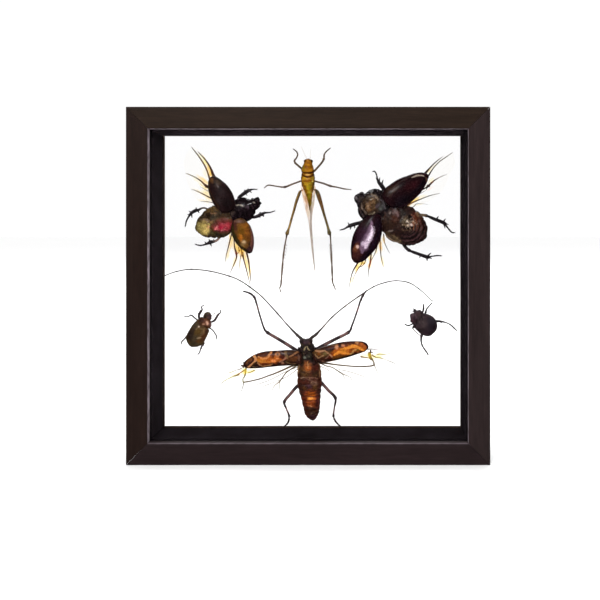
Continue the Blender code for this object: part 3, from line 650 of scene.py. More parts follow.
def glue_material():
    """Clear hardened glue."""
    material, tree, output = new_material("clear_glue_dab")
    ripple = clouds(tree, node(tree, "TexCoord").outputs["Object"], 900.0, 2.0)
    links = {"Normal": bumped(tree, ripple, 0.0002)}
    clear = {"Base_Color": (0.95, 0.9, 0.78, 1), "Transmission_Weight": 1.0}
    surface(tree, output, links, Roughness=0.08, IOR=1.45, **clear)
    return material


def ride(thing, node_name):
    """The piece stands for that solid, which it hides, and hangs from the root."""
    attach(thing, "root")
    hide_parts(node_name)
    return thing


# ---- Frame

FACE_WIDTH = 0.0178
LIP_DEPTH = 0.007
RABBET = 0.008
LIP_ROUND = 0.0006
OUTER_ROUND = 0.0008
MITRE_GAP = 0.00012
# The stain of each rail.
RAIL_STAINS = {"bottom": (34, 24, 25), "right": (38, 28, 28), "top": (36, 25, 18), "left": (30, 18, 14)}
# The pale colour of the painted highlight on the lips and of the wear on the outer edges.
HIGHLIGHT_AND_WEAR_COLOUR = (140, 128, 136)
BACK_STAIN = (50, 38, 31)
# How strong the painted highlight along the inner edge of a rail's face is, and the depths below the face between which
# it shows.
LIP_HIGHLIGHT = {
    "bottom": (0.34, -0.001, 0.0024),
    "right": (0.9, 0.0008, 0.0045),
    "top": (1.0, 0.0019, 0.0075),
    "left": (1.0, 0.0005, 0.0056),
}
LIP_STOPS = (0.0012, 0.0018, 0.0026, 0.0036, 0.0046, 0.0058, LIP_DEPTH)
# Sections along a rail, and the most between two points of a section.
RAIL_SECTIONS = 121
SECTION_STEP = 0.002
# Planed wood's unevenness: (waves per metre, height in metres).
PLANED = ((22, 0.00007), (160, 0.00003))
# It leaves the outside as it is and grows over this inset and this depth. Up to the first depth the
# points belong to the face and are pushed back, never out.
FACE_BAND, UNEVEN_INSET, UNEVEN_DEPTH = 0.0004, 0.001, 0.0006
# Half the breadth of the painted highlight line, and how gradually its two edges start.
HIGHLIGHT_REACH, HIGHLIGHT_STARTS, HIGHLIGHT_ENDS = 0.00035, 0.0006, 0.0012
# The outer edge's wear, and how far it reaches across the side and back from the face.
OUTER_WEAR, OUTER_ACROSS, OUTER_BACK = 0.2, 0.0004, 0.0005
# The painted highlight and the wear come and go: (patches per metre, its even share, its patchy share).
HIGHLIGHT_AND_WEAR_PATCHES = (300, 0.75, 0.5)
# How far apart in the wood, in metres, the grain of two rails is taken.
GRAIN_STEP = 0.7
# Edges of a rail that turn by more degrees than this stay sharp.
SHARP_ANGLE = 40
# The strips' paint is a little paler where less light falls in.
LINING_TONES = {"bottom": 0.73, "right": 0.95, "top": 1.55, "left": 1.1}


def arc(centre, radius, start, end, steps=5):
    """Points on a quarter round in a rail's section, from one angle to another in degrees."""
    turns = np.radians(np.linspace(start, end, steps + 1))
    return [(centre[0] + radius * math.cos(t), centre[1] + radius * math.sin(t)) for t in turns]


def spaced(points, step):
    """The closed outline with further points, no more than a step apart."""
    out = []
    for (ax, ay), (bx, by) in zip(points, points[1:] + points[:1]):
        parts = max(1, round(math.hypot(bx - ax, by - ay) / step))
        out += [(ax + (bx - ax) * i / parts, ay + (by - ay) * i / parts) for i in range(parts)]
    return out


def rail_section(front, back):
    """The moulding's outline: how far in from the outside, and the depth y, of each point."""
    outline = (
        arc((OUTER_ROUND, front + OUTER_ROUND), OUTER_ROUND, 180, 270)
        + arc((FACE_WIDTH - LIP_ROUND, front + LIP_ROUND), LIP_ROUND, 270, 360)
        + [(FACE_WIDTH, front + depth) for depth in LIP_STOPS]
        + [(FACE_WIDTH - RABBET, front + LIP_DEPTH), (FACE_WIDTH - RABBET, back)]
        + arc((OUTER_ROUND, back - OUTER_ROUND), OUTER_ROUND, 90, 180)
    )
    return np.array(spaced(outline, SECTION_STEP))


def rail_wear(side, seed, points, front):
    """How much painted highlight, on the lip, and wear, on the outer edge, each of a rail's (along, depth, inset)
    points takes, from 0 to 1.
    """
    amount, wear_start, wear_end = LIP_HIGHLIGHT[side]
    depth, inset = points[:, 1] - front, points[:, 2]
    # The pale line on the lip's inner side is a painted highlight, its strength set for each side.
    wear = amount * bell(inset - FACE_WIDTH, HIGHLIGHT_REACH) * (depth < LIP_DEPTH + 0.0001)
    wear *= np.clip((depth - wear_start) / HIGHLIGHT_STARTS + 0.5, 0, 1)
    wear *= np.clip((wear_end - depth) / HIGHLIGHT_ENDS + 0.5, 0, 1)
    wear += OUTER_WEAR * bell(inset, OUTER_ACROSS) * bell(depth, OUTER_BACK)
    patches, even, patchy = HIGHLIGHT_AND_WEAR_PATCHES
    return np.clip(wear * (even + patchy * noise(points, patches, 3 + seed)), 0, 1)


def rail(side, quarter_turns, front, back, size, material):
    """One mitred rail with eased edges, slightly uneven as planed wood is. It is made as the bottom one,
    by (along, depth, inset) points, and turned into its place."""
    section = rail_section(front, back)
    length, reach = size[quarter_turns % 2], size[(quarter_turns + 1) % 2] / 2
    share = np.linspace(-1, 1, RAIL_SECTIONS)[:, None]
    half = length / 2 - section[:, 0] - MITRE_GAP
    local = np.stack(np.broadcast_arrays(share * half, section[:, 1], section[:, 0]), axis=-1)
    flat = local.reshape(-1, 3)
    (broad, broad_height), (fine, fine_height) = PLANED
    wave = noise(flat + quarter_turns, broad, quarter_turns) * broad_height
    wave = wave + noise(flat, fine, quarter_turns) * fine_height
    inward = np.clip((flat[:, 2] - FACE_BAND) / UNEVEN_INSET, 0, 1)
    inward = inward * np.clip((flat[:, 1] - front) / UNEVEN_DEPTH, 0, 1)
    flat[:, 1] += np.where(flat[:, 1] < front + FACE_BAND, np.abs(wave), 0.0)
    flat[:, 2] -= wave * inward * (flat[:, 1] < front + LIP_DEPTH)
    turn = quarter_turns * math.pi / 2
    out = flat.copy()
    drop = flat[:, 2] - reach
    out[:, 0] = flat[:, 0] * math.cos(turn) - drop * math.sin(turn)
    out[:, 2] = flat[:, 0] * math.sin(turn) + drop * math.cos(turn) + size[1] / 2
    shape = Shape()
    shape.rings(out.reshape(local.shape), capped=False)
    ends = np.arange(len(out)).reshape(local.shape[:2])
    shape.faces += [ends[0][::-1].tolist(), ends[-1].tolist()]
    thing = shape.make(f"rail_{side}", material)
    store(thing.data, "grain_place", flat + (quarter_turns * GRAIN_STEP, 0.0, 0.0))
    store(thing.data, "wear", rail_wear(side, quarter_turns, flat, front))
    thing.data.set_sharp_from_angle(angle=math.radians(SHARP_ANGLE))
    return thing


def dress(thing, material, edge, **numbers):
    """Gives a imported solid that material, eased edges of that width and a number on all its vertices."""
    thing.data.materials.clear()
    thing.data.materials.append(material)
    bevel = thing.modifiers.new("eased", "BEVEL")
    bevel.width = edge
    bevel.segments = 3
    bevel.harden_normals = True
    thing.data.shade_smooth()
    for name, value in numbers.items():
        store(thing.data, name, np.full(len(thing.data.vertices), value))


def build_frame():
    """Rails, panes, lining, battens and glue."""
    low, high = CAD_BOX
    size = (high.x - low.x, high.z - low.z)
    back_wood = wood_material("back_wood", BACK_STAIN, BACK_STAIN)
    for turns, side in enumerate(("bottom", "right", "top", "left")):
        wood = wood_material(f"dark_wood_{side}", RAIL_STAINS[side], HIGHLIGHT_AND_WEAR_COLOUR)
        ride(rail(side, turns, low.y, high.y, size, wood), f"frame_rail_{side}")
    glass, black, glue = glass_material(), lining_material(), glue_material()
    for name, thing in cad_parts.items():
        if name.startswith("glass_"):
            dress(thing, glass, edge=0.00025)
        elif name.startswith("liner_"):
            dress(thing, black, edge=0.0003, tone=LINING_TONES[name.split("_")[1]])
        elif name.startswith("glue_pad_"):
            dress(thing, glue, edge=0.0003)
        elif name.startswith("back_batten_"):
            dress(thing, back_wood, edge=0.0005, wear=0.0)
            along_x = name.endswith(("top", "bottom"))
            co = gathered(thing.data.vertices, "co")
            store(thing.data, "grain_place", co if along_x else co[:, [2, 1, 0]])


build_frame()

# ---- Insects: their forms

# Lumps of a body: (bumps per metre, strength).
LUMPS = ((420, 1.0), (1000, 0.6), (2300, 0.35))
# The groove between closed wing cases: its depth in mm and half its breadth in radians.
SUTURE_DEPTH, SUTURE_REACH = 0.12, 0.035
# Where the grooves of wing cases start and end, and how soon they are at their full depth.
GROOVES_START, GROOVES_END, GROOVES_FADE = 0.03, 0.97, 0.08
# How narrow a groove is, and the sine of the angle down to which the cases reach round the body.
GROOVE_POWER, CASES_REACH = 4, -0.05


def furrows(places, width, depth, swell=0.0):
    """A form with furrows round the body at those shares of its length, and a slight swell between them."""

    def form(s, angle):
        push = np.zeros(np.broadcast_shapes(s.shape, angle.shape))
        for place in places:
            push = push - depth * MM * bell(s - place, width)
        ends = [0.0, *places, 1.0]
        for a, b in zip(ends, ends[1:]):
            inside = np.clip((s - a) / (b - a), 0, 1)
            push = push + swell * MM * np.sin(inside * math.pi) * (s >= a) * (s < b)
        return push

    return form


def lumpy(amount, length=0.02, width=0.008, seed=1):
    """A form with uneven dents and lumps of a few millimetres; length and width are about the body's own."""

    def form(s, angle):
        flat = np.broadcast_arrays(s * length, np.cos(angle) * width, np.sin(angle) * width)
        place = np.stack([part.ravel() for part in flat], axis=1)
        return amount * MM * layered(place, LUMPS, seed).reshape(flat[0].shape)

    return form


def grooves(count, depth):
    """A form with long grooves down closed wing cases and a suture between them."""

    def form(s, angle):
        fade = np.clip((s - GROOVES_START) / GROOVES_FADE, 0, 1)
        fade = fade * np.clip((GROOVES_END - s) / GROOVES_FADE, 0, 1)
        lines = -depth * MM * (0.5 + 0.5 * np.cos(angle * count)) ** GROOVE_POWER * (np.sin(angle) > CASES_REACH)
        middle = -SUTURE_DEPTH * MM * bell(angle - math.pi / 2, SUTURE_REACH)
        return fade * (lines + middle)

    return form


def both(*forms):
    """Several forms at once."""
    return lambda s, angle: sum(form(s, angle) for form in forms)


# The hollow beside a wing case's rim: its depth in mm, and how many rim widths it lies from the edge.
HOLLOW_DEPTH, HOLLOW_PLACE = 0.1, 2.4


def rimmed(height, width):
    """A wing case's raised rim along both edges, with a faint hollow beside it."""

    def form(s, angle):
        edge = np.minimum(angle, math.pi - angle)
        hollow = HOLLOW_DEPTH * MM * bell(edge - HOLLOW_PLACE * width, width)
        return height * MM * bell(edge, width) - hollow

    return form


# Steps between two stations of a wing's edge as it is measured, and as it is built.
EDGE_STEPS, WING_STEPS = 24, 6
WING_THICKNESS = 0.00005
# Pleats across a wing, and their height at the root as a share of that at the tip.
WING_PLEATS, ROOT_PLEAT = 7, 0.2
# Crumples on the pleats: bumps per metre, and their height as a share of the pleats'.
CRUMPLES, CRUMPLE_HEIGHT = 260, 0.6


def wing(shape, y, leading, trailing, across=40, wave=0.25):
    """A thin hindwing between its leading and trailing edges, each from root to tip, as a closed sheet;
    wave is the height of its pleats in mm."""
    count = (max(len(leading), len(trailing)) - 1) * WING_STEPS + 1
    edges = []
    for line in (leading, trailing):
        fine = smooth(line, EDGE_STEPS)
        walk = np.concatenate([[0], np.cumsum(np.linalg.norm(np.diff(fine, axis=0), axis=1))])
        even = np.linspace(0, walk[-1], count)
        edges.append(np.stack([np.interp(even, walk, fine[:, k]) for k in (0, 1)], axis=1))
    t = np.linspace(0, 1, across)[None, :, None]
    flat = edges[0][:, None] * (1 - t) + edges[1][:, None] * t
    points = spot(flat[..., 0], flat[..., 1], y)
    pleat = np.sin(t[..., 0] * math.pi * WING_PLEATS) * np.linspace(ROOT_PLEAT, 1, count)[:, None]
    crumple = noise(points.reshape(-1, 3), CRUMPLES, 9).reshape(pleat.shape)
    points[..., 1] += wave * MM * (pleat + CRUMPLE_HEIGHT * crumple)
    behind = points[:, ::-1] + REARWARD * WING_THICKNESS
    shape.rings(np.concatenate([points, behind], axis=1))


# ---- Insects: their pieces
# Stations as in the solids: (column, row, half width) for bodies, (column, row, radius in mm) for limbs.

# How far the painted back of a body stands before its middle.
BACK_LIFT = 0.003
# What the paints of the bodies are multiplied by, so that they look right in the light of the box.
BODY_TONE = 0.81
# Depths of the painted faces of open wing cases.
LONG_CASE_FACE, ROUND_CASE_FACE = 0.0035, 0.002
# The membrane's colour where it is clear, how cloudy it is there and at most, and what a spot adds.
CLEAR_WING = (254, 253, 251)
CLEAR_CLOUD, MOST_CLOUD, SPOT_CLOUD = 0.004, 0.5, 0.06
# A spot on a membrane is painted at this share of its height.
SPOT_FLATNESS = 0.75
# The veins lie this far before the membrane.
VEIN_LIFT = 0.0002
KATYDID_WING_CLOUD = 0.14
# The long feelers: their depths from root to tip, their fullness, and each knot's swelling and reach.
FEELER_DEPTHS = (0.0060, 0.0080)
FEELER_STEPS = 12
FEELER_FULLNESS = 1.5
FEELER_KNOT, FEELER_KNOT_REACH = 0.35, 0.07

WING = wing_material("hindwing_membrane")


class Insect:
    """One insect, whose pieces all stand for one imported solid. prefix starts their names, and mid is the
    depth of its middle."""

    def __init__(self, prefix, node_name, slot, mid):
        self.prefix, self.node_name, self.slot, self.mid = prefix, node_name, slot, mid
        self.back = mid - BACK_LIFT

    def piece(self, shape, part, material):
        """The shape as one of the insect's pieces."""
        return ride(shape.make(f"{self.prefix}_{part}", material), self.node_name)

    def painted(self, shape, part, material, depth, base, belly=None):
        """Makes a piece and returns its paint, whose places are at that depth."""
        paint = Paint(self.piece(shape, part, material), depth, base, belly)
        paint.light = BODY_TONE
        return paint

    def hindwings(self, y, edges, spots, veins, vein_colour, nodes, width=1.35, least=0.12):
        """Hindwings with amber fields, between pairs of edges, and their veins, whose paint it returns.
        spots are (column, row, wide, high, turn, filter colour, strength), nodes are the veins' knots."""
        wings = Shape()
        for leading, trailing in edges:
            wing(wings, y, leading, trailing)
        paint = Paint(self.piece(wings, "hindwings", WING), self.mid, CLEAR_WING)
        paint.all_sides()
        cover = np.full(len(paint.co), CLEAR_CLOUD)
        for column, row, wide, high, turn, colour, strength in spots:
            before = paint.colour.copy()
            paint.blot(column, row, wide, high * SPOT_FLATNESS, colour, strength, turn=turn, wobble=0.7, soft=0.7)
            cover += SPOT_CLOUD * np.linalg.norm(paint.colour - before, axis=1)
        # Light passes both faces of the sheet, so each filters by the square root.
        paint.colour = np.sqrt(paint.colour)
        paint.keep(cover=np.clip(cover, 0, MOST_CLOUD))

        lines = Shape()
        for stations in veins:
            thread(lines, y - VEIN_LIFT, stations, width=width, least=least)
        for column, row, wide, high, turn in nodes:
            ball(lines, column, row, y - VEIN_LIFT, wide, high, 0.5, turn=turn, rows=10, sides=14)
        skin = skin_material(f"{self.prefix}_vein_skin", rough=0.4, specular=0.3, grain=(9000, 0.01), variety=0.2)
        paint = self.painted(lines, "wing_veins", skin, self.mid, vein_colour)
        paint.all_sides()
        return paint


# ---- Harlequin beetle


def harlequin_head(insect, body_skin):
    """Head with its eyes, jaws and the feelers' sockets."""
    mid = insect.mid
    head = Shape()
    loft(
        head, mid, [(305.9, 339.4, 4.4), (306.0, 340.4, 5.7), (306.2, 342.4, 6.2), (306.6, 346.0, 5.6)],
        back=0.9, belly=0.7, cap=0.15,
    )
    ball(head, 300.9, 341.6, mid - 0.001, 1.6, 2.4, 2.6, turn=10)
    ball(head, 311.3, 341.2, mid - 0.001, 1.6, 2.4, 2.6, turn=-10)
    for side, base in ((-1, 302.2), (1, 310.0)):
        ball(head, base, 340.2, mid - 0.0032, 1.5, 1.5, 1.5)
        spur(head, (305.8 + side * 2.4, 339.8), (305.8 + side * 1.5, 338.5), mid + 0.0006, 0.9, bend=side * 0.4)
    paint = insect.painted(head, "head", body_skin, insect.back, (50, 37, 38), (36, 26, 26))
    paint.blots(
        (305.8, 341.6, 3.0, 1.8, (78, 54, 66), 0.7), (302.2, 344.6, 1.4, 1.2, (92, 82, 60), 0.6),
        (309.6, 343.4, 1.2, 1.0, (110, 88, 74), 0.6),
    )
    paint.stroke([(306, 338.5), (306.2, 345)], 0.7, (24, 17, 18), 0.7)
    paint.mottle(900, 0.3)
    paint.keep((0.85, 0.8, 0.75))


def harlequin_thorax(insect, body_skin):
    """Pronotum with a spine on each side, and what the open wing cases bare behind it."""
    mid = insect.mid
    chest = Shape()
    lumps = lumpy(0.45, 0.012, 0.007, seed=5)
    loft(
        chest, mid,
        [(306.6, 343.6, 5.4), (307.0, 346.0, 7.1), (307.2, 349.2, 8.6), (307.4, 351.5, 7.6), (307.6, 354.5, 6.8)],
        back=0.75, belly=0.7,
        form=both(lumps, furrows((0.12, 0.9), width=0.04, depth=0.35)),
    )
    for side, column in ((-1, 299.6), (1, 314.8)):
        spur(chest, (column, 349.0), (column + side * 1.4, 347.6), mid - 0.001, 1.1, bend=0)
    loft(
        chest, mid,
        [(307.5, 352.8, 6.2), (307.8, 355.5, 7.6), (308.2, 360.0, 8.4), (308.6, 364.0, 9.6), (308.8, 367.5, 9.0)],
        back=0.6, belly=0.6,
        form=both(furrows((0.3, 0.62), width=0.05, depth=0.3), lumpy(0.35, 0.014, 0.008, seed=7)),
    )
    ball(chest, 307.2, 356.6, mid - 0.0042, 2.6, 2.4, 1.2)
    paint = insect.painted(chest, "thorax", body_skin, insect.back, (37, 27, 25), (40, 28, 24))
    paint.blots(
        (309.4, 355.6, 2.2, 3.0, (66, 64, 54), 0.8), (313.4, 355.0, 1.6, 5.0, (16, 10, 10), 0.9),
        (301.4, 352.0, 1.8, 3.4, (50, 38, 42), 0.6), (304.9, 357.2, 1.3, 1.5, (136, 142, 130), 0.9),
        (307.4, 366.0, 3.8, 4.4, (158, 86, 32), 0.85), (302.4, 364.4, 2.0, 4.0, (50, 34, 20), 0.7),
        (315.2, 366.0, 2.6, 3.6, (66, 28, 20), 0.7),
    )
    # The last stroke, down the orange field, is a painted highlight.
    paint.strokes(
        ([(304.6, 350.4), (305.4, 347.4), (306.3, 344.6)], 0.9, (158, 142, 108), 0.95),
        ([(306.7, 344.8), (308.0, 347.6), (309.7, 350.2)], 0.9, (158, 142, 108), 0.95),
        ([(302.6, 346.4), (304.2, 345.0)], 0.9, (112, 96, 70), 0.8),
        ([(303, 352), (304.2, 354.6), (303.4, 357)], 0.9, (92, 78, 62), 0.7),
        ([(318.3, 361), (319.4, 366)], 1.2, (130, 100, 78), 0.7),
        ([(307.5, 361.4), (308.2, 364.2), (307.9, 367.2)], [0.9, 1.5, 0.9], (204, 142, 88), 0.8),
        wobble=0.3,
    )
    paint.mottle(700, 0.35)
    paint.keep((0.85, 0.8, 0.75))


def harlequin_abdomen(insect, body_skin):
    """Ringed abdomen, amber on its last rings."""
    mid = insect.mid
    belly = Shape()
    rings = (0.09, 0.17, 0.26, 0.34, 0.43, 0.51, 0.58, 0.66, 0.73, 0.80, 0.87, 0.93)
    crumple = lumpy(0.26, 0.05, 0.010, seed=3)
    loft(
        belly, mid,
        [
            (308.6, 361.5, 8.2), (308.8, 365.5, 11.0), (309.3, 374.0, 11.9), (309.7, 383.0, 12.2), (310.2, 390.0, 11.1),
            (310.9, 398.0, 9.7), (311.6, 407.0, 8.3), (312.0, 413.5, 6.7), (312.9, 418.3, 3.6), (313.2, 420.0, 1.2),
        ],
        back=0.5, belly=0.62, form=both(furrows(rings, width=0.008, depth=0.4, swell=0.2), crumple),
        sides=110, steps=26,
    )
    paint = insect.painted(belly, "abdomen", body_skin, insect.back, (66, 32, 22), (58, 38, 28))
    # The oval at (310.5, 406.4) is a painted highlight on a ring; the others are the abdomen's own colours.
    paint.blots(
        (307.4, 366.4, 4.0, 5.0, (160, 86, 32), 0.9), (302.2, 371.0, 3.4, 5.4, (62, 44, 20), 0.8),
        (306.4, 373.4, 3.4, 2.6, (84, 58, 24), 0.7), (315.4, 368.0, 3.4, 4.6, (66, 26, 18), 0.85),
        (316.0, 374.0, 4.0, 3.0, (48, 36, 16), 0.7), (305.6, 381.0, 4.6, 3.0, (78, 34, 26), 0.7),
        (314.8, 383.2, 3.4, 1.7, (108, 82, 72), 0.7), (309.6, 386.2, 2.8, 2.2, (66, 40, 58), 0.8),
        (315.4, 386.8, 3.0, 2.2, (104, 74, 38), 0.8), (305.0, 388.0, 2.6, 2.0, (86, 58, 26), 0.7),
        (306.6, 393.4, 3.2, 3.4, (118, 52, 30), 0.8), (311.6, 395.0, 4.8, 4.6, (156, 78, 10), 0.95),
        (310.6, 401.4, 4.8, 4.0, (148, 68, 8), 0.95), (303.9, 398.6, 2.6, 3.0, (84, 30, 18), 0.85),
        (303.8, 404.8, 2.4, 2.6, (84, 34, 20), 0.8), (317.6, 401.0, 2.2, 6.4, (76, 34, 34), 0.85),
        (318.6, 390.0, 2.2, 5.4, (54, 28, 30), 0.8), (300.8, 388.0, 2.2, 6.0, (54, 30, 26), 0.7),
        (313.6, 398.8, 2.6, 1.3, (196, 106, 50), 0.8), (310.5, 406.4, 2.0, 1.0, (204, 138, 98), 0.85),
        (314.0, 406.6, 1.6, 1.2, (164, 86, 44), 0.8), (309.6, 409.0, 3.6, 1.5, (46, 22, 6), 0.9),
        (313.2, 411.6, 4.6, 2.2, (50, 32, 20), 0.8), (312.6, 417.4, 4.0, 2.8, (56, 36, 46), 0.85),
    )
    # A painted highlight on the amber rings.
    paint.blot(310.8, 398.2, 2.9, 1.4, (238, 160, 78), 0.92, wobble=0.4, soft=0.5)
    for row, left, right in (
        (372.4, 299.6, 319.4), (379.8, 298.8, 320.2), (386.2, 298.8, 320.6), (390.2, 299.6, 320.4),
        (393.6, 300.4, 320.0), (396.5, 301.0, 319.8), (400.4, 301.8, 319.4), (403.8, 302.6, 319.2),
        (406.9, 303.4, 318.8), (410.2, 304.2, 318.4), (413.2, 305.2, 318.0),
    ):
        paint.stroke(
            [(left, row - 0.8), ((left + right) / 2, row + 0.3), (right, row - 0.8)],
            0.75, (36, 16, 12), 0.7,
            wobble=0.8, soft=0.5,
        )
    # The first stroke, down the orange field, is a painted highlight.
    paint.strokes(
        ([(307.4, 361.4), (308.2, 364.2), (307.9, 367.4)], [0.9, 1.5, 0.9], (204, 142, 88), 0.85),
        ([(298.7, 362.6), (298.1, 367.6), (298.3, 373.4)], 1.1, (142, 116, 90), 0.8),
        ([(306.0, 376.3), (309.4, 377.2), (313.4, 376.8), (317.2, 378.2)], 0.9, (132, 98, 86), 0.6),
        ([(309.4, 379.6), (312.8, 380.6), (316.4, 380.0)], 0.8, (104, 76, 68), 0.6),
        ([(301.0, 377.4), (302.6, 376.9), (304.4, 377.6)], 1.3, (158, 134, 122), 0.85),
        ([(305.6, 377.6), (308.6, 376.9), (310.6, 378.8)], 1.0, (142, 104, 82), 0.75),
        ([(311.6, 382.2), (314.6, 381.0), (317.4, 382.4)], 0.9, (116, 90, 80), 0.7),
        ([(319.3, 364), (319.8, 371), (319.5, 377)], 1.1, (132, 102, 78), 0.7),
        ([(304.4, 370.6), (307.4, 371.8), (311.0, 370.6)], 0.9, (116, 78, 44), 0.7),
        ([(309.6, 414.6), (312.2, 413.8), (315.2, 414.6)], 0.9, (92, 78, 66), 0.8),
        ([(303.4, 391.2), (308.6, 390.6), (314, 391.2)], 0.8, (40, 18, 12), 0.7),
        ([(302.0, 384.6), (307.6, 384.0)], 0.8, (40, 20, 14), 0.7),
        ([(304.6, 396.2), (307.2, 395.6)], 0.9, (58, 20, 10), 0.8),
        ([(305.0, 402.4), (308.6, 401.6), (314.8, 402.4)], 0.8, (92, 38, 10), 0.7),
        wobble=0.9,
    )
    paint.specks((309, 380), (9, 15), (34, 18, 14), 0.6, scale=1300, bare=0.25, seed=31)
    paint.specks((309, 376), (8, 10), (138, 104, 84), 0.5, bare=0.55, seed=33)
    paint.mottle(800, 0.3)
    paint.keep((1.08, 0.96, 0.78))


def harlequin_wing_cases(insect, case_skin):
    """The two long wing cases with their orange and black markings."""
    cases = Shape()
    for stations in (
        [
            (300.5, 358.2, 5.4), (297.0, 358.0, 7.0), (290.8, 357.5, 7.8), (279.5, 358.2, 7.9), (266.9, 359.2, 8.1),
            (257.1, 361.2, 7.3), (249.0, 363.8, 5.0), (245.0, 365.4, 3.1), (243.9, 365.9, 1.5),
        ],
        [
            (314.5, 356.6, 5.4), (318.5, 355.8, 7.0), (328.0, 353.7, 8.2), (339.1, 351.0, 8.4), (349.6, 348.8, 7.7),
            (359.8, 347.1, 6.1), (364.2, 346.9, 5.0), (366.6, 347.0, 3.5), (367.9, 347.1, 1.8),
        ],
    ):
        shell(cases, stations, root=0.0052, tip=0.0055, form=rimmed(0.1, 0.1))
    paint = insect.painted(cases, "wing_cases", case_skin, LONG_CASE_FACE, (50, 27, 24), (96, 60, 34))
    orange, gold, maroon = (180, 92, 24), (196, 122, 40), (84, 34, 20)
    rust, rose = (98, 44, 12), (164, 116, 98)
    # The left case.
    paint.strokes(
        ([(257, 359.6), (263, 360.2), (270, 359.8), (275, 358.8), (280, 359.4)], [5, 7.6, 7, 7, 4], orange, 0.95),
        ([(258, 359.4), (261.6, 360.6), (264.6, 359.6)], [3, 4, 2], gold, 0.85),
        ([(247, 361.6), (251, 358.8)], [5, 3], (118, 72, 42), 0.8),
        ([(258.4, 353.6), (266, 354.6), (272, 354.0)], [2.4, 3.2, 2.4], (92, 42, 18), 0.8),
        ([(280.6, 356.2), (286.2, 357.8)], [4.6, 3.4], maroon, 0.9),
        ([(262, 351.4), (272, 350.4), (286, 349.9), (298, 350.6)], 2.2, (48, 28, 32), 0.95),
        ([(287.6, 358.8), (293, 358.4), (298, 357.2)], [4, 5, 4], (92, 54, 28), 0.85),
        ([(285.8, 352.4), (287.4, 356.8)], 3.0, (128, 100, 70), 0.85),
        ([(288.6, 352.4), (298, 352)], 2.0, (62, 42, 30), 0.8),
        wobble=0.9, soft=0.5,
    )
    paint.blots(
        (273.8, 360.2, 2.6, 1.7, (236, 146, 84), 0.9), (278.0, 358.2, 1.7, 1.2, (228, 142, 80), 0.85),
        (273.4, 355.6, 1.1, 1.5, rust, 0.95), (277.7, 354.2, 2.4, 2.2, (192, 122, 74), 0.9),
        (277.7, 354.2, 1.1, 1.0, (104, 76, 58), 0.95), (265.2, 363.5, 3.4, 1.0, (76, 28, 6), 0.95),
        (271.4, 363.4, 1.4, 1.1, (78, 34, 8), 0.9),
        (276.8, 362.6, 1.4, 0.9, rust, 0.9), (283.0, 362.8, 1.5, 1.2, rose, 0.8),
        (288.4, 361.8, 3.2, 1.5, (38, 24, 12), 0.9), (268.6, 361.2, 2.2, 0.8, (206, 128, 56), 0.7),
        (295.6, 358.4, 2.2, 2.2, (98, 56, 30), 0.8),
        wobble=0.5, soft=0.5,
    )
    paint.strokes(
        (
            [(253.4, 355.4), (255.6, 357.6), (256.2, 360.6), (252.6, 364.0), (248.2, 366.8)],
            [2.2, 2.2, 2.4, 2.0, 2.0], (212, 152, 106), 0.95,
        ),
        (
            [(258.4, 356.4), (263.0, 357.9), (267.4, 357.6), (269.8, 354.8), (271.4, 352.2)],
            [1.3, 1.6, 1.8, 2.2, 2.0], (216, 142, 86), 0.9,
        ),
        ([(257.6, 361.2), (259.6, 364.6), (263.4, 366.2), (269.0, 365.4), (272.4, 363.8)], 1.3, (172, 126, 88), 0.9),
        ([(258.4, 361.0), (263, 361.8), (269, 361.4)], 0.8, (212, 138, 62), 0.8),
        ([(277.4, 351.2), (281.0, 352.0), (284.6, 353.2)], 0.9, (118, 94, 98), 0.85),
        ([(280.4, 361.4), (284.6, 358.6), (286.0, 356.8)], 1.6, (162, 110, 90), 0.85),
        ([(290.2, 356.2), (294.2, 353.9), (298.0, 351.9)], 1.5, (154, 108, 76), 0.9),
        ([(286.4, 361.6), (290.6, 363.6), (295.4, 363.8)], 1.1, (112, 88, 66), 0.85),
        ([(298.2, 354.6), (299.6, 360.0)], 1.6, (110, 82, 76), 0.7),
        ([(246.6, 364.6), (249.6, 361.4)], 0.9, (70, 40, 26), 0.7),
        wobble=0.5, soft=0.3,
    )
    paint.strokes(
        ([(251.4, 366.2), (254.6, 364.0), (257.2, 361.6)], [1.4, 3.2, 1.6], (52, 30, 8), 0.95),
        ([(252.6, 366.8), (258, 366.6)], 1.1, (112, 102, 84), 0.7),
        ([(245, 369.0), (258, 368.2), (274, 366.7), (288, 365.4), (298, 364.6)], 1.7, (44, 24, 20), 0.95),
        (
            [(244.6, 362.6), (248.6, 358.0), (254.4, 354.2), (262, 351.2), (274, 349.4), (292, 349.0)],
            1.5, (40, 24, 26), 0.95,
        ),
        wobble=0.3,
    )
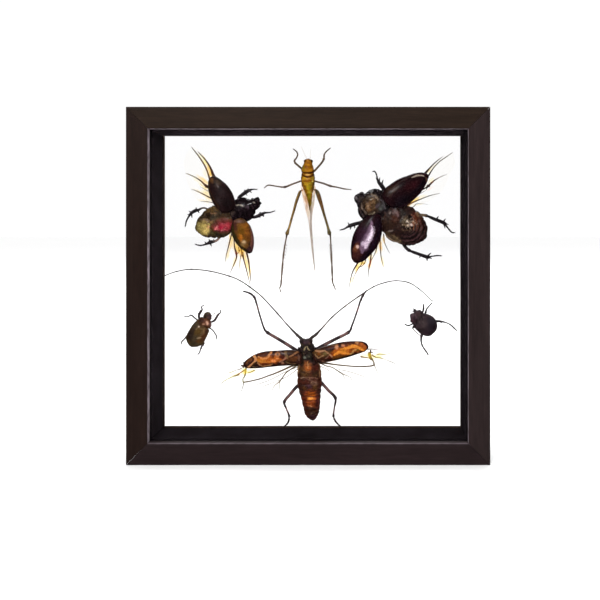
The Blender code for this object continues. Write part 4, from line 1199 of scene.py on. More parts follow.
    # The right case.
    paint.strokes(
        (
            [(331.6, 353.8), (338, 351.4), (345, 350.2), (352, 348.2), (360, 347.6), (365, 347.6)],
            [4, 7.6, 8.6, 8.6, 8, 5], orange, 0.95,
        ),
        ([(329, 346.6), (335.4, 346.2)], [3.4, 4.0], maroon, 0.9),
        ([(316, 352.6), (323, 353.6), (329, 353.2)], [6, 7, 6], (94, 66, 36), 0.9),
        ([(321, 358.6), (327, 357.8)], [3.6, 3.6], (62, 32, 20), 0.9),
        ([(333.6, 357.6), (339, 356.2), (346, 354.8)], [2.4, 3.0, 2.0], (104, 62, 18), 0.9),
        ([(362.0, 343.6), (365.4, 346.8)], 3.0, (186, 100, 48), 0.85),
        wobble=0.9, soft=0.5,
    )
    paint.blots(
        (336.7, 346.8, 1.4, 2.3, (228, 154, 110), 0.95), (343.1, 345.0, 1.9, 1.2, (206, 130, 94), 0.9),
        (356.9, 342.4, 1.6, 1.6, (216, 152, 106), 0.9), (346.4, 345.5, 1.7, 1.1, (112, 46, 8), 0.95),
        (341.7, 349.0, 1.2, 1.1, (164, 90, 12), 0.9), (344.6, 350.4, 3.6, 1.2, (208, 130, 34), 0.8),
        (351.2, 349.6, 2.1, 1.2, (126, 62, 8), 0.95, -12), (354.2, 347.6, 1.6, 0.8, (140, 74, 14), 0.8, -20),
        (357.6, 350.0, 1.9, 1.2, (104, 80, 24), 0.9), (360.6, 350.8, 2.0, 0.9, (84, 36, 14), 0.95),
        (355.4, 352.4, 1.9, 1.0, (46, 18, 10), 0.95), (358.1, 352.5, 1.0, 0.6, (154, 112, 104), 0.8),
        (319.0, 353.2, 1.5, 2.0, (116, 64, 20), 0.9), (325.2, 353.2, 2.0, 1.2, (112, 98, 60), 0.85),
        (330.2, 356.6, 1.9, 1.6, (92, 30, 16), 0.9), (332.6, 353.4, 1.7, 1.0, (128, 54, 14), 0.9),
        (327.4, 361.2, 1.4, 0.7, (96, 28, 22), 0.9),
        wobble=0.5, soft=0.5,
    )
    paint.strokes(
        ([(334.6, 354.0), (339.6, 351.6), (345.6, 352.6), (350.0, 353.8)], [1.6, 2.8, 2.0, 1.3], (236, 150, 54), 0.95),
        (
            [(341.0, 348.4), (347.6, 347.4), (352.8, 345.4), (357.0, 346.4), (360.6, 348.4), (363.4, 350.2)],
            [1.3, 2.2, 3.0, 2.6, 2.2, 1.2], (240, 154, 60), 0.95,
        ),
        ([(350.4, 354.0), (352.8, 352.4), (354.4, 350.0), (356.2, 349.4)], 1.3, (196, 150, 90), 0.95),
        ([(313.8, 350.4), (319.6, 351.0), (325.0, 350.4), (328.6, 352.6), (332.0, 356.0)], 1.5, (168, 122, 92), 0.95),
        ([(315.6, 354.6), (318.2, 357.8), (321.0, 356.4), (323.6, 354.8)], 1.2, (154, 118, 88), 0.9),
        ([(326.4, 358.0), (329.0, 355.4)], 1.0, (140, 96, 84), 0.8),
        ([(322.8, 361.4), (328.0, 361.9), (333.4, 360.8)], 1.5, (192, 142, 130), 0.9),
        ([(360.0, 343.0), (362.4, 345.6), (362.0, 348.0)], 1.0, (162, 78, 30), 0.8),
        ([(338.0, 346.8), (339.4, 349.4)], 1.0, (196, 108, 50), 0.8),
        wobble=0.5, soft=0.3,
    )
    paint.strokes(
        (
            [(336, 344.0), (342, 342.2), (350, 341.3), (358, 341.0), (364.0, 342.6), (367.4, 346.4), (366.6, 351.0)],
            1.6, (54, 26, 26), 0.95,
        ),
        ([(344.2, 342.8), (354.6, 342.4)], 1.4, (70, 38, 36), 0.9),
        ([(322, 362.4), (334, 359.6), (345, 356.6), (354, 354.2), (367, 351.4)], 1.6, (44, 28, 10), 0.95),
        ([(330, 345.6), (336, 344.4)], 1.2, (118, 104, 90), 0.6),
        ([(314, 349.6), (322, 347.6), (330, 345.8)], 1.6, (56, 34, 20), 0.9),
        wobble=0.3,
    )
    paint.mottle(900, 0.2)
    paint.mottle(1900, 0.22, seed=9)
    paint.keep((0.765, 0.7, 0.57))


def harlequin_legs(insect, leg_skin):
    """Three pairs of legs; the middle pair hides behind the wing cases."""
    legs = Shape()
    limb(
        legs, 0.0095, 0.0070,
        [
            (302, 354, 1.4), (296.4, 350.3, 1.45), (281, 340.6, 1.35), (267.6, 332.6, 1.2), (264, 328, 0.8),
            (260, 316, 0.74), (256.7, 303.9, 0.78), (254.2, 297, 0.95), (249.7, 293.3, 0.85), (243.2, 291.2, 0.6),
        ],
        tarsus=7, joints=(3, 7),
    )
    limb(
        legs, 0.0095, 0.0070,
        [
            (313, 352, 1.4), (318, 348.3, 1.45), (333, 340.3, 1.35), (348.3, 332.4, 1.2), (351.8, 326, 0.8),
            (356.5, 313, 0.74), (360.4, 300.9, 0.78), (363, 295.5, 0.95), (366.3, 290.6, 0.65),
        ],
        tarsus=7, joints=(3, 7),
    )
    limb(
        legs, 0.0115, 0.0110, [(303, 361, 1.2), (292, 360, 1.2), (279, 358, 1.1), (268, 361, 0.8), (255, 363, 0.7)],
        tarsus=3, joints=(2,),
    )
    limb(
        legs, 0.0115, 0.0110, [(313, 360, 1.2), (326, 357, 1.2), (338, 354, 1.1), (348, 350, 0.8), (360, 347, 0.7)],
        tarsus=3, joints=(2,),
    )
    limb(
        legs, 0.0105, 0.0060,
        [
            (301, 383, 1.3), (296.4, 387, 1.35), (290, 394.5, 1.25), (284.3, 402.0, 1.15), (286.5, 409, 0.72),
            (288.9, 415.5, 0.8), (288.3, 422, 0.8), (284.4, 426.6, 0.55),
        ],
        tarsus=5, joints=(3, 5),
    )
    limb(
        legs, 0.0105, 0.0060,
        [
            (317, 379, 1.3), (321.5, 382.8, 1.35), (328.5, 390.5, 1.25), (335.4, 398.0, 1.15), (334.5, 407, 0.72),
            (333.5, 415.5, 0.8), (335.6, 421.4, 0.8), (340.5, 426.6, 0.55),
        ],
        tarsus=5, joints=(3, 5),
    )
    for start, end in (
        ((256.9, 305), (255.3, 302.4)), ((360.2, 302), (362.3, 300)), ((288.8, 414), (290.6, 416.6)),
        ((333.7, 414), (332, 416.6)), ((262.2, 323), (261, 321)), ((259.4, 312), (257.8, 310.6)),
        ((353.4, 321), (354.9, 319.6)), ((357.6, 309), (359.2, 308)),
    ):
        spur(legs, start, end, 0.0078, 0.22)
    paint = insect.painted(legs, "legs", leg_skin, insect.mid, (52, 40, 42), (46, 36, 36))
    pale = (122, 88, 84)
    for points in (
        [(277, 338.4), (271, 334.6)], [(289.6, 346), (286, 343.6)], [(341, 336), (346.6, 333)],
        [(325.6, 344.4), (329, 342.4)], [(292.6, 391.4), (288.4, 396.6)], [(286, 399.6), (287.4, 398)],
        [(324, 385.4), (330.6, 393)], [(258, 309), (257.4, 306)], [(357, 311), (358.4, 306.6)],
        [(286.6, 409), (287.6, 412.4)], [(334.4, 408), (334, 412)],
    ):
        paint.stroke(points, 2.6, pale, 0.75, wobble=0.6, soft=0.5)
    paint.mottle(1100, 0.3)
    paint.keep()


def harlequin_feelers(insect, leg_skin):
    """The two long feelers, with a knot at each station."""
    feelers = Shape()
    for stations in (
        [
            (303, 340, 0.85), (300.4, 337.9, 0.9), (297.2, 335.1, 0.8), (287, 324.5, 0.4), (277.4, 313.4, 0.42),
            (262.1, 296.9, 0.38), (250.3, 287.4, 0.4), (240, 280.6, 0.34), (229.6, 276.2, 0.36), (210.7, 271.3, 0.32),
            (191.3, 269.3, 0.33), (176.5, 271.5, 0.29), (165.3, 275.4, 0.26),
        ],
        [
            (309, 340, 0.85), (312.4, 337.1, 0.9), (316.2, 334.3, 0.8), (324, 326, 0.4), (332.3, 316.9, 0.42),
            (345, 306.3, 0.38), (359.2, 296.1, 0.4), (373.5, 286.8, 0.34), (385.5, 282.4, 0.36), (396, 280.8, 0.32),
            (408.2, 282.4, 0.33), (419, 288.9, 0.29), (432.6, 301.2, 0.26),
        ],
    ):
        points, radii, _ = track(stations, *FEELER_DEPTHS, FEELER_STEPS)
        walk = np.linspace(0, len(stations) - 1, len(points))
        knots = 1 + FEELER_KNOT * bell((walk + 0.5) % 1.0 - 0.5, FEELER_KNOT_REACH)
        tube(feelers, points, radii * MM * knots * FEELER_FULLNESS, sides=12)
    paint = insect.painted(feelers, "feelers", leg_skin, insect.mid, (64, 54, 52))
    paint.all_sides()
    for a, b in (
        ((287, 324.5), (283, 320)), ((262, 297), (256, 292)), ((324, 326), (328, 321.6)), ((345, 306.3), (350, 302.6)),
    ):
        paint.stroke([a, b], 2, (110, 96, 88), 0.7, wobble=0.2)
    paint.mottle(600, 0.25)
    paint.keep()


def harlequin_wings(insect):
    """Folded hindwings, of which the veins and the amber tips show."""
    edges = [
        (
            [(303, 361), (280, 359), (258, 363), (243, 368), (229, 371), (217, 373)],
            [(303, 372), (290, 381), (280, 390), (262, 392), (240, 391.6), (224, 385), (217, 373.4)],
        ),
        (
            [(315, 358), (335, 356), (352, 353), (367, 350.4), (382, 351.4), (398, 355)],
            [(315, 369), (330, 376), (345, 381), (365, 378), (380, 375), (392, 369), (398.6, 355.4)],
        ),
    ]
    spots = [
        (234.5, 374.4, 6.4, 3.2, -14, (255, 240, 196), 0.8), (250.4, 371.6, 5.6, 2.8, -10, (252, 232, 160), 0.85),
        (244.4, 371.4, 2.6, 4.6, 0, (238, 208, 92), 0.95), (245.6, 371.6, 1.2, 3.4, 0, (212, 186, 60), 0.9),
        (240.6, 375.6, 3.4, 1.4, -10, (255, 236, 180), 0.7), (228.4, 379.2, 5.0, 1.2, -28, (236, 238, 196), 0.7),
        (364.4, 355.6, 5.0, 2.8, 6, (252, 230, 176), 0.85), (369.4, 355.8, 1.5, 4.2, -8, (226, 196, 70), 0.95),
        (372.8, 357.4, 3.0, 3.4, 30, (250, 226, 150), 0.85), (378.4, 357.2, 3.4, 1.8, 0, (240, 216, 112), 0.9),
        (381.2, 354.2, 3.0, 1.0, 0, (248, 226, 136), 0.85), (379.6, 355.6, 4.6, 3.6, 6, (252, 236, 176), 0.8),
        (379.0, 357.6, 2.4, 1.3, 0, (222, 208, 136), 0.85), (388.0, 353.8, 6.0, 1.6, 4, (246, 244, 226), 0.6),
        (290, 370, 16, 9, 20, (250, 244, 236), 0.6), (330, 366, 16, 7, -16, (250, 244, 236), 0.6),
    ]
    veins = [
        [
            (300, 362.6, 0.6), (296, 364.5, 0.56), (290, 366.8, 0.5), (283, 370.0, 0.44), (275, 373.4, 0.4),
            (268, 375.9, 0.36), (260, 378.8, 0.34), (250, 381.2, 0.34), (243.8, 382.2, 0.4),
        ],
        [
            (300, 364, 0.34), (297, 365.6, 0.34), (292, 368.5, 0.32), (286.6, 372.3, 0.32), (283.4, 376.2, 0.3),
            (279.7, 381.4, 0.36), (275, 385.2, 0.22), (272.6, 389, 0.14), (271.6, 391.6, 0.08),
        ],
        [(279.7, 381.6, 0.3), (279.8, 385, 0.18), (279.6, 389.8, 0.1)],
        [(243.8, 382.2, 0.26), (242.8, 387, 0.18), (241.2, 391.4, 0.12)],
        [(300, 367, 0.2), (288, 376, 0.14), (276, 381.4, 0.14), (268, 384.6, 0.14), (258, 388.6, 0.08)],
        [
            (300, 366, 0.2), (286, 371.6, 0.16), (276, 377.0, 0.16), (268, 380.8, 0.14), (260, 383.6, 0.12),
            (251, 387.0, 0.06),
        ],
        [
            (317, 361.6, 0.6), (322, 362.6, 0.56), (327, 363.3, 0.46), (334, 364.4, 0.38), (344, 365.5, 0.36),
            (353, 366.3, 0.36), (362, 366.5, 0.38), (370, 366.1, 0.38), (374.4, 364.9, 0.44),
        ],
        [(374.4, 364.9, 0.44), (373.4, 361.4, 0.44), (371.6, 358.4, 0.4), (370.6, 354.6, 0.36), (370.4, 351, 0.4)],
        [
            (317, 362.6, 0.34), (321.6, 363.8, 0.34), (326, 365.8, 0.28), (332, 367.3, 0.26), (336.6, 370.1, 0.28),
            (341.8, 373.4, 0.36), (346, 375.3, 0.24), (350, 377.2, 0.2), (352.2, 380.2, 0.1),
        ],
        [(342, 373.6, 0.24), (344, 377, 0.16), (345.2, 381.2, 0.08)],
        [(374.4, 365.2, 0.26), (376.4, 369.8, 0.2), (378.8, 375.4, 0.1)],
        [
            (338, 369.4, 0.12), (345, 370.6, 0.18), (350, 371.9, 0.2), (356, 373.7, 0.18), (362, 376.0, 0.16),
            (366, 377.8, 0.08),
        ],
        [(318, 364.4, 0.16), (322, 366.9, 0.14), (328, 370.0, 0.12), (335, 375.4, 0.06)],
        [(246, 369, 0.34), (241.6, 372, 0.3), (237.6, 374.4, 0.3)],
        [
            (239.6, 374.8, 0.2), (236.4, 375.4, 0.5), (233.2, 376.4, 0.3), (228.0, 378.8, 0.2), (224.4, 381.0, 0.22),
            (219.4, 385.0, 0.1),
        ],
        [
            (245.6, 368.6, 0.5), (245.6, 371.6, 0.4), (245.2, 374.4, 0.4), (244.4, 376.6, 0.34), (243.0, 379.0, 0.3),
            (243.0, 382.0, 0.36),
        ],
        [(247.6, 372.8, 0.2), (251.0, 372.0, 0.3), (254.6, 370.2, 0.36)],
        [(241.0, 368.7, 0.3), (236.0, 370.2, 0.16), (231.0, 372.2, 0.2), (226.6, 373.6, 0.08)],
        [(367.6, 349.3, 0.3), (371.0, 349.0, 0.3), (375.0, 349.3, 0.2), (380.0, 349.6, 0.08)],
        [(369.0, 352.6, 0.5), (369.4, 356.0, 0.46), (370.6, 358.8, 0.5), (372.6, 359.6, 0.6)],
        [
            (372.0, 354.8, 0.34), (374.6, 356.6, 0.36), (377.0, 357.6, 0.2), (380.6, 358.0, 0.3), (385.0, 359.4, 0.14),
            (391.5, 362.0, 0.2), (398.0, 365.0, 0.08),
        ],
        [(376.0, 355.0, 0.14), (379.6, 354.0, 0.3), (383.6, 354.4, 0.24), (391.0, 353.4, 0.1)],
        [(360.8, 356.7, 0.46), (364.8, 357.4, 0.34), (369.6, 358.2, 0.2)],
    ]
    nodes = [
        (242.0, 365.6, 1.4, 0.9, 8), (243.2, 367.0, 1.0, 1.2, 8), (243.6, 362.6, 0.9, 0.7, 8),
        (241.0, 368.8, 1.2, 0.6, 8), (370.6, 350.9, 1.0, 1.2, 8), (372.2, 352.3, 1.2, 0.6, 8),
        (279.6, 381.2, 0.8, 0.8, 8), (342, 373.4, 1.0, 0.7, 8), (374.2, 365.2, 1.0, 0.8, 8),
        (243.4, 382.0, 1.0, 0.9, 8),
    ]
    paint = insect.hindwings(0.0088, edges, spots, veins, (96, 74, 46), nodes, width=1.7, least=0.16)
    paint.blots(
        (228, 378, 14, 7, (196, 188, 132), 0.8), (237, 375.4, 3.6, 1.8, (150, 128, 58), 0.9),
        (251, 371.4, 6, 2.4, (190, 166, 76), 0.9), (245.4, 371, 1.6, 3.2, (206, 176, 48), 0.9),
        (243.4, 379, 2, 2.6, (160, 162, 118), 0.8), (240.4, 373, 3, 2.0, (176, 98, 44), 0.9),
        (369.6, 355.6, 1.6, 3.6, (206, 172, 38), 0.9), (374, 356, 2.6, 1.4, (140, 116, 62), 0.8),
        (384, 356, 6, 5, (188, 176, 112), 0.85), (365, 357.4, 3.4, 1.6, (164, 134, 82), 0.8),
        (242, 366.2, 3.4, 2.0, (84, 60, 36), 0.9), (371, 351.4, 3, 1.8, (66, 44, 26), 0.9),
        (277, 384, 5, 6, (186, 176, 156), 0.7), (346, 377, 6, 5, (172, 166, 154), 0.8),
        (376.6, 370, 3, 6, (200, 194, 184), 0.8), (355, 374, 10, 4, (176, 168, 156), 0.8),
        (374, 361.6, 2, 3, (150, 138, 118), 0.8), (298, 364, 5, 2, (60, 42, 22), 0.8),
        (321, 362.4, 5, 2, (70, 40, 20), 0.8),
        wobble=0.2,
    )
    paint.keep()


def harlequin():
    """The harlequin beetle in the lower middle, its wing cases spread."""
    insect = Insect("harlequin", "harlequin_beetle", "harlequin_shell", mid=0.0080)
    body_skin = skin_material(
        "harlequin_body_skin",
        rough=0.32, specular=0.14, coat=0.06, grain=(7000, 0.02), pits=(4200, 0.02),
    )
    case_skin = skin_material("harlequin_case_skin", rough=0.3, specular=0.09, coat=0.03, grain=(6000, 0.012))
    leg_skin = skin_material("harlequin_leg_skin", rough=0.45, specular=0.14, variety=0.3)
    harlequin_head(insect, body_skin)
    harlequin_thorax(insect, body_skin)
    harlequin_abdomen(insect, body_skin)
    harlequin_wing_cases(insect, case_skin)
    harlequin_legs(insect, leg_skin)
    harlequin_feelers(insect, leg_skin)
    harlequin_wings(insect)


# ---- Brown scarab beetle


def brown_head(insect, body_skin):
    """Broad rough head."""
    mid = insect.mid
    head = Shape()
    loft(
        head, mid, [(355.4, 197.0, 2.6), (357.3, 197.8, 5.0), (360.2, 198.9, 6.5), (365.5, 201.0, 6.8)],
        back=0.8, belly=0.7, form=lambda s, angle: 0.3 * MM * np.sin(angle * 4 + 1) * np.sin(s * 12),
    )
    for column, row, wide, high in (
        (358.6, 195.0, 2.0, 1.5), (356.4, 199.8, 1.7, 1.8), (361.4, 193.6, 2.4, 1.8), (358.8, 204.0, 2.0, 1.7),
        (360.4, 198.6, 1.8, 1.3),
    ):
        ball(head, column, row, mid - 0.0035, wide, high, 1.6, turn=20)
    paint = insect.painted(head, "head", body_skin, insect.back, (38, 31, 33), (34, 26, 24))
    # The grey spots at (356.5, 198.0), (360.6, 192.8) and (358.4, 195.0) are painted highlights.
    paint.blots(
        (356.5, 198.0, 1.1, 2.4, (120, 112, 114), 0.8, -20), (360.6, 192.8, 2.6, 0.8, (86, 82, 82), 0.7, 10),
        (358.4, 195.0, 1.3, 1.0, (92, 86, 90), 0.7), (361, 199, 2.4, 1.6, (62, 50, 42), 0.7),
        (358.4, 201.4, 1.4, 1.1, (72, 60, 62), 0.7), (366.4, 196.2, 1.6, 1.2, (88, 70, 46), 0.7),
        wobble=0.5,
    )
    paint.mottle(900, 0.4)
    paint.keep((0.72, 0.7, 0.7))


def brown_chest(insect, body_skin):
    """Pronotum with a brown field, painted with a golden sheen and highlights."""
    mid = insect.mid
    chest = Shape()
    dents = lumpy(0.55, 0.022, 0.014, seed=11)
    loft(
        chest, mid,
        [
            (361.5, 200.2, 7.5), (363.8, 201.4, 12.2), (367.5, 203.2, 15.7), (372.0, 205.2, 17.2), (377.5, 207.5, 16.6),
            (382.0, 209.5, 14.0), (386.0, 211.5, 10.0),
        ],
        back=0.52, belly=0.42,
        form=both(dents, furrows((0.93,), width=0.03, depth=0.4)),
        sides=96,
    )
    paint = insect.painted(chest, "pronotum", body_skin, insect.back, (34, 25, 25), (40, 28, 24))
    # The golden middle, (368.0, 207.0) and (367.6, 206.4), is a painted sheen and highlight on the brown field.
    paint.blots(
        (370.6, 204.6, 7.6, 8.6, (84, 60, 34), 0.9, 20), (368.0, 207.0, 2.4, 4.4, (150, 106, 62), 0.85),
        (367.6, 206.4, 1.1, 2.2, (186, 152, 112), 0.85), (371.4, 201.4, 3.0, 2.0, (124, 90, 50), 0.8, -30),
        (373.4, 207.6, 2.4, 2.0, (104, 76, 46), 0.8), (377.4, 206.2, 2.4, 2.4, (80, 70, 74), 0.7),
        (363.6, 200.6, 2.0, 2.4, (70, 54, 38), 0.7), (376.0, 201.6, 1.2, 1.4, (60, 48, 12), 0.8),
        (382.6, 206.4, 2.4, 3.4, (92, 92, 86), 0.75, 20), (380.6, 208.8, 1.6, 0.9, (120, 126, 112), 0.7),
        (369.0, 212.6, 2.0, 1.0, (62, 44, 22), 0.7),
        wobble=1.0,
    )
    # The first stroke, along the top, is a painted highlight.
    paint.strokes(
        ([(371.6, 194.2), (375.0, 196.2), (377.6, 199.8)], [1.4, 2.0, 1.4], (166, 142, 112), 0.85),
        ([(360.9, 203.6), (362.2, 209.0), (365.6, 213.4)], [1.0, 1.6, 1.6], (134, 114, 92), 0.85),
        ([(359.4, 206.6), (361.0, 213.0), (363.6, 217.0)], 1.2, (84, 70, 66), 0.7),
        ([(369.4, 213.8), (372.0, 213.9), (374.6, 212.2)], 1.5, (146, 130, 100), 0.85),
        ([(364.6, 203.0), (363.8, 207.6), (366.6, 211.6)], 1.3, (34, 22, 14), 0.85),
        ([(369.6, 197.6), (373.6, 199.4), (374.6, 203.0)], 0.9, (150, 116, 66), 0.7),
        ([(366.0, 215.0), (372, 217.4), (380, 214.6)], 2.0, (20, 14, 12), 0.8),
        ([(379.4, 199.6), (383.6, 203.4), (385.4, 208.6)], 1.2, (104, 98, 96), 0.7),
        wobble=0.8,
    )
    paint.specks((371, 205), (9, 8), (30, 20, 14), 0.7, scale=1100, bare=0.3, seed=35)
    # Pale specks: painted glints.
    paint.specks((370, 205), (8, 7), (206, 172, 122), 0.6, bare=0.6, seed=37)
    paint.mottle(700, 0.4)
    paint.keep((0.56, 0.54, 0.61))


def brown_abdomen(insect, body_skin):
    """Ringed abdomen with a pale crumpled field."""
    mid = insect.mid
    belly = Shape()
    crumple = lumpy(0.42, 0.045, 0.016, seed=13)
    loft(
        belly, mid,
        [
            (383.5, 211.6, 10.0), (389.2, 215.8, 15.0), (396.0, 219.9, 17.8), (403.2, 224.2, 18.7),
            (410.4, 228.6, 17.8), (416.6, 231.9, 14.9), (421.2, 234.2, 11.0), (424.4, 236.0, 6.4), (425.9, 236.7, 2.2),
        ],
        back=0.42, belly=0.48,
        form=both(furrows((0.30, 0.42, 0.54, 0.65, 0.76, 0.87), width=0.012, depth=0.4, swell=0.3), crumple),
        sides=110, steps=16,
    )
    ball(belly, 392.8, 236.6, mid, 8.4, 4.6, 3.2, turn=-30, rows=24, sides=40)
    paint = insect.painted(belly, "abdomen", body_skin, insect.back, (52, 34, 29), (62, 42, 32))
    # The pink-brown patch at (395.2, 212.6) and (398.2, 215.6) is a painted sheen.
    paint.blots(
        (389.6, 221.6, 7.2, 6.4, (58, 40, 28), 0.85), (394.6, 219.6, 3.4, 3.4, (78, 42, 26), 0.8),
        (395.2, 212.6, 4.0, 2.6, (104, 76, 70), 0.8, 40), (398.2, 215.6, 1.4, 1.2, (124, 98, 94), 0.75),
        (389.4, 212.8, 1.2, 1.6, (120, 104, 92), 0.8), (402.6, 213.0, 2.6, 4.4, (40, 38, 32), 0.8),
        (405.6, 222.0, 5.0, 4.6, (88, 76, 54), 0.85), (417.6, 222.0, 4.4, 8.0, (84, 40, 20), 0.85, -20),
        (414.6, 215.0, 3.0, 3.0, (74, 30, 18), 0.8), (419.0, 214.6, 3.4, 2.0, (136, 106, 76), 0.8, 30),
        (412, 236, 12, 6, (46, 28, 30), 0.8, 30), (404, 230, 6, 4, (50, 32, 26), 0.7),
        (408.4, 229.0, 2.2, 1.1, (58, 32, 10), 0.8), (396.0, 239.0, 5.4, 2.6, (108, 90, 62), 0.85, 32),
        (388.0, 234.0, 3.0, 2.6, (74, 60, 38), 0.8, 40), (403.6, 226.6, 1.7, 1.3, (22, 14, 8), 0.9),
        (407.0, 228.4, 1.9, 1.4, (24, 14, 8), 0.9), (411.4, 227.6, 1.3, 1.8, (30, 16, 10), 0.85),
        (409.4, 217.6, 1.5, 2.2, (26, 18, 14), 0.85),
        wobble=1.0,
    )
    turns = np.radians(np.linspace(-30, 120, 12))
    for reach, shade in ((8.0, 18), (10.2, 80), (12.2, 20), (14.4, 84), (16.4, 20), (18.4, 76)):
        line = np.stack([407.0 + reach * np.cos(turns), 227.4 + reach * 0.92 * np.sin(turns)], axis=1)
        paint.stroke(line, 1.1, (shade, shade * 0.68, shade * 0.7), 0.8, wobble=0.9, soft=0.5)
    # The stroke at (388.6, 231.6) is a painted highlight.
    paint.strokes(
        ([(413.4, 218.8), (414.0, 221.6), (413.2, 225.0)], 1.3, (156, 104, 78), 0.85),
        ([(411.4, 214.6), (415.0, 218.0), (417.4, 223.6)], 1.0, (120, 62, 34), 0.8),
        ([(402.4, 224.6), (406.4, 225.6), (409.6, 224.8)], 1.0, (150, 128, 96), 0.85),
        ([(404.6, 219.0), (403.0, 222.4)], 1.1, (126, 118, 88), 0.8),
        ([(384.0, 232.6), (387.8, 237.8), (393.4, 241.4), (399.6, 243.2)], 1.5, (158, 140, 114), 0.9),
        ([(391.6, 235.0), (396.0, 237.6), (400.4, 241.2)], 1.0, (150, 128, 92), 0.9),
        ([(411.6, 221.6), (413.6, 226.0), (413.2, 229.6)], 0.9, (150, 96, 60), 0.8),
        ([(415.4, 220.4), (416.8, 225.6), (415.8, 230.4)], 0.8, (124, 70, 44), 0.75),
        ([(401.6, 229.0), (405.4, 230.4), (410.0, 230.0)], 0.8, (112, 90, 66), 0.75),
        ([(388.6, 231.6), (391.8, 230.8)], 1.5, (158, 144, 132), 0.85),
        ([(381.4, 219.6), (383.6, 219.0)], 1.2, (92, 90, 86), 0.7),
        wobble=0.6,
    )
    paint.specks((405, 222), (5, 4.4), (34, 24, 14), 0.85, scale=1300, bare=0.2, seed=41)
    # Cream specks: painted glints.
    paint.specks((409, 223.4), (7, 5.4), (250, 232, 196), 0.85, bare=0.5, seed=43)
    paint.specks((414, 222), (5, 7), (180, 112, 74), 0.7, bare=0.5, seed=45)
    paint.specks((400, 222), (16, 13), (22, 12, 12), 0.6, scale=1000, bare=0.3, seed=47)
    # Three cream ovals: painted glints.
    paint.blots(
        (406.7, 221.2, 1.1, 1.0, (255, 244, 214), 0.95), (411.0, 224.9, 1.7, 1.1, (252, 230, 210), 0.95, 20),
        (407.6, 225.2, 1.0, 0.8, (214, 192, 160), 0.9),
        wobble=0.3, soft=0.4,
    )
    paint.mottle(800, 0.35)
    paint.keep((0.64, 0.58, 0.6))


def brown_wing_cases(insect, case_skin):
    """The two wing cases; the lilac streak and the pale stroke near the upper tip are painted highlights."""
    cases = Shape()
    for stations in (
        [
            (388.5, 202.0, 9.0), (392.0, 198.6, 12.4), (397.5, 195.6, 13.5), (404.5, 190.6, 13.2), (411.5, 186.1, 11.7),
            (417.8, 181.5, 9.4), (422.8, 178.3, 6.8), (426.2, 176.6, 4.1), (428.0, 176.1, 2.0),
        ],
        [
            (377.0, 215.0, 5.0), (374.3, 220.0, 8.5), (371.5, 227.0, 11.6), (368.2, 234.2, 13.3), (365.0, 241.3, 13.3),
            (361.7, 248.3, 11.5), (358.8, 255.0, 8.8), (356.8, 259.5, 6.0), (355.9, 262.0, 3.0),
        ],
    ):
        shell(cases, stations, root=0.0030, tip=0.0050, form=rimmed(0.14, 0.11))
    paint = insect.painted(cases, "wing_cases", case_skin, ROUND_CASE_FACE, (28, 9, 13), (70, 44, 34))
    paint.blots(
        (392.0, 189.8, 6.0, 3.2, (56, 38, 28), 0.85, -36), (389.0, 194.0, 3.0, 3.4, (48, 34, 30), 0.8),
        (411, 185.5, 8, 3.2, (42, 9, 14), 0.6, -32), (402, 201, 9, 5, (20, 11, 18), 0.85, -30),
        (364, 236, 7, 14, (44, 22, 36), 0.85, 24), (357.6, 251.6, 4.2, 8, (66, 32, 26), 0.85, 22),
        (356.0, 247.6, 2.0, 4.0, (112, 62, 34), 0.8, 20), (364.4, 222.6, 4.0, 4.0, (38, 26, 24), 0.8),
        (376.8, 224, 2.6, 6, (26, 14, 24), 0.85, 10),
    )
    # The pale stroke near the upper case's tip and the wide lilac stroke down the lower case are painted highlights.
    paint.strokes(
        ([(395, 207), (407, 199), (419, 188), (426, 179)], 3.4, (16, 9, 15), 0.85),
        ([(387, 196.4), (392, 188.6), (401, 181.4), (410, 176.4)], 1.5, (52, 42, 40), 0.7),
        ([(412.0, 177.6), (416.6, 175.8), (420.6, 175.3), (424.0, 176.2)], [1.0, 1.6, 1.6, 0.9], (176, 158, 142), 0.85),
        ([(425.6, 177.6), (426.6, 181.0)], 1.2, (96, 66, 50), 0.8),
        ([(380.6, 221), (379.6, 230), (374.6, 243), (366.6, 255), (359.6, 262)], 2.4, (20, 10, 20), 0.9),
        (
            [(371.4, 221.4), (371.2, 225), (369.8, 232), (366.6, 240), (363.6, 247), (361.8, 252)],
            [1.2, 3.4, 5.4, 7.6, 7.0, 3.0], (122, 95, 116), 0.8,
        ),
        wobble=0.5, soft=0.6,
    )
    # The bright core of the painted lilac highlight.
    paint.strokes(
        (
            [(372.0, 225.0), (372.2, 230.0), (370.8, 235.8), (367.4, 241.6), (365.4, 247.6)],
            [0.9, 2.4, 4.6, 5.0, 2.4], (203, 182, 199), 0.9,
        ),
        ([(372.2, 229.6), (371.4, 234.2), (368.6, 239.8)], [1.2, 2.6, 2.2], (233, 218, 230), 0.85),
        ([(373.9, 226.0), (374.4, 233.0), (371.2, 240.8)], 0.9, (150, 134, 142), 0.7),
        wobble=0.7, soft=0.35,
    )
    # Painted highlights: a pinkish one near the lower case's tip, and a lilac one on its streak.
    paint.blots(
        (357.5, 246.6, 1.5, 1.7, (206, 172, 158), 0.9), (363.0, 243.6, 2.0, 2.6, (202, 180, 198), 0.7),
        wobble=0.4, soft=0.4,
    )
    paint.specks((367, 240), (8, 12), (72, 46, 78), 0.6, scale=1700, seed=51)
    paint.specks((403, 190), (18, 10), (52, 30, 30), 0.6, scale=1700, bare=0.5, seed=53)
    paint.mottle(500, 0.2)
    paint.keep()


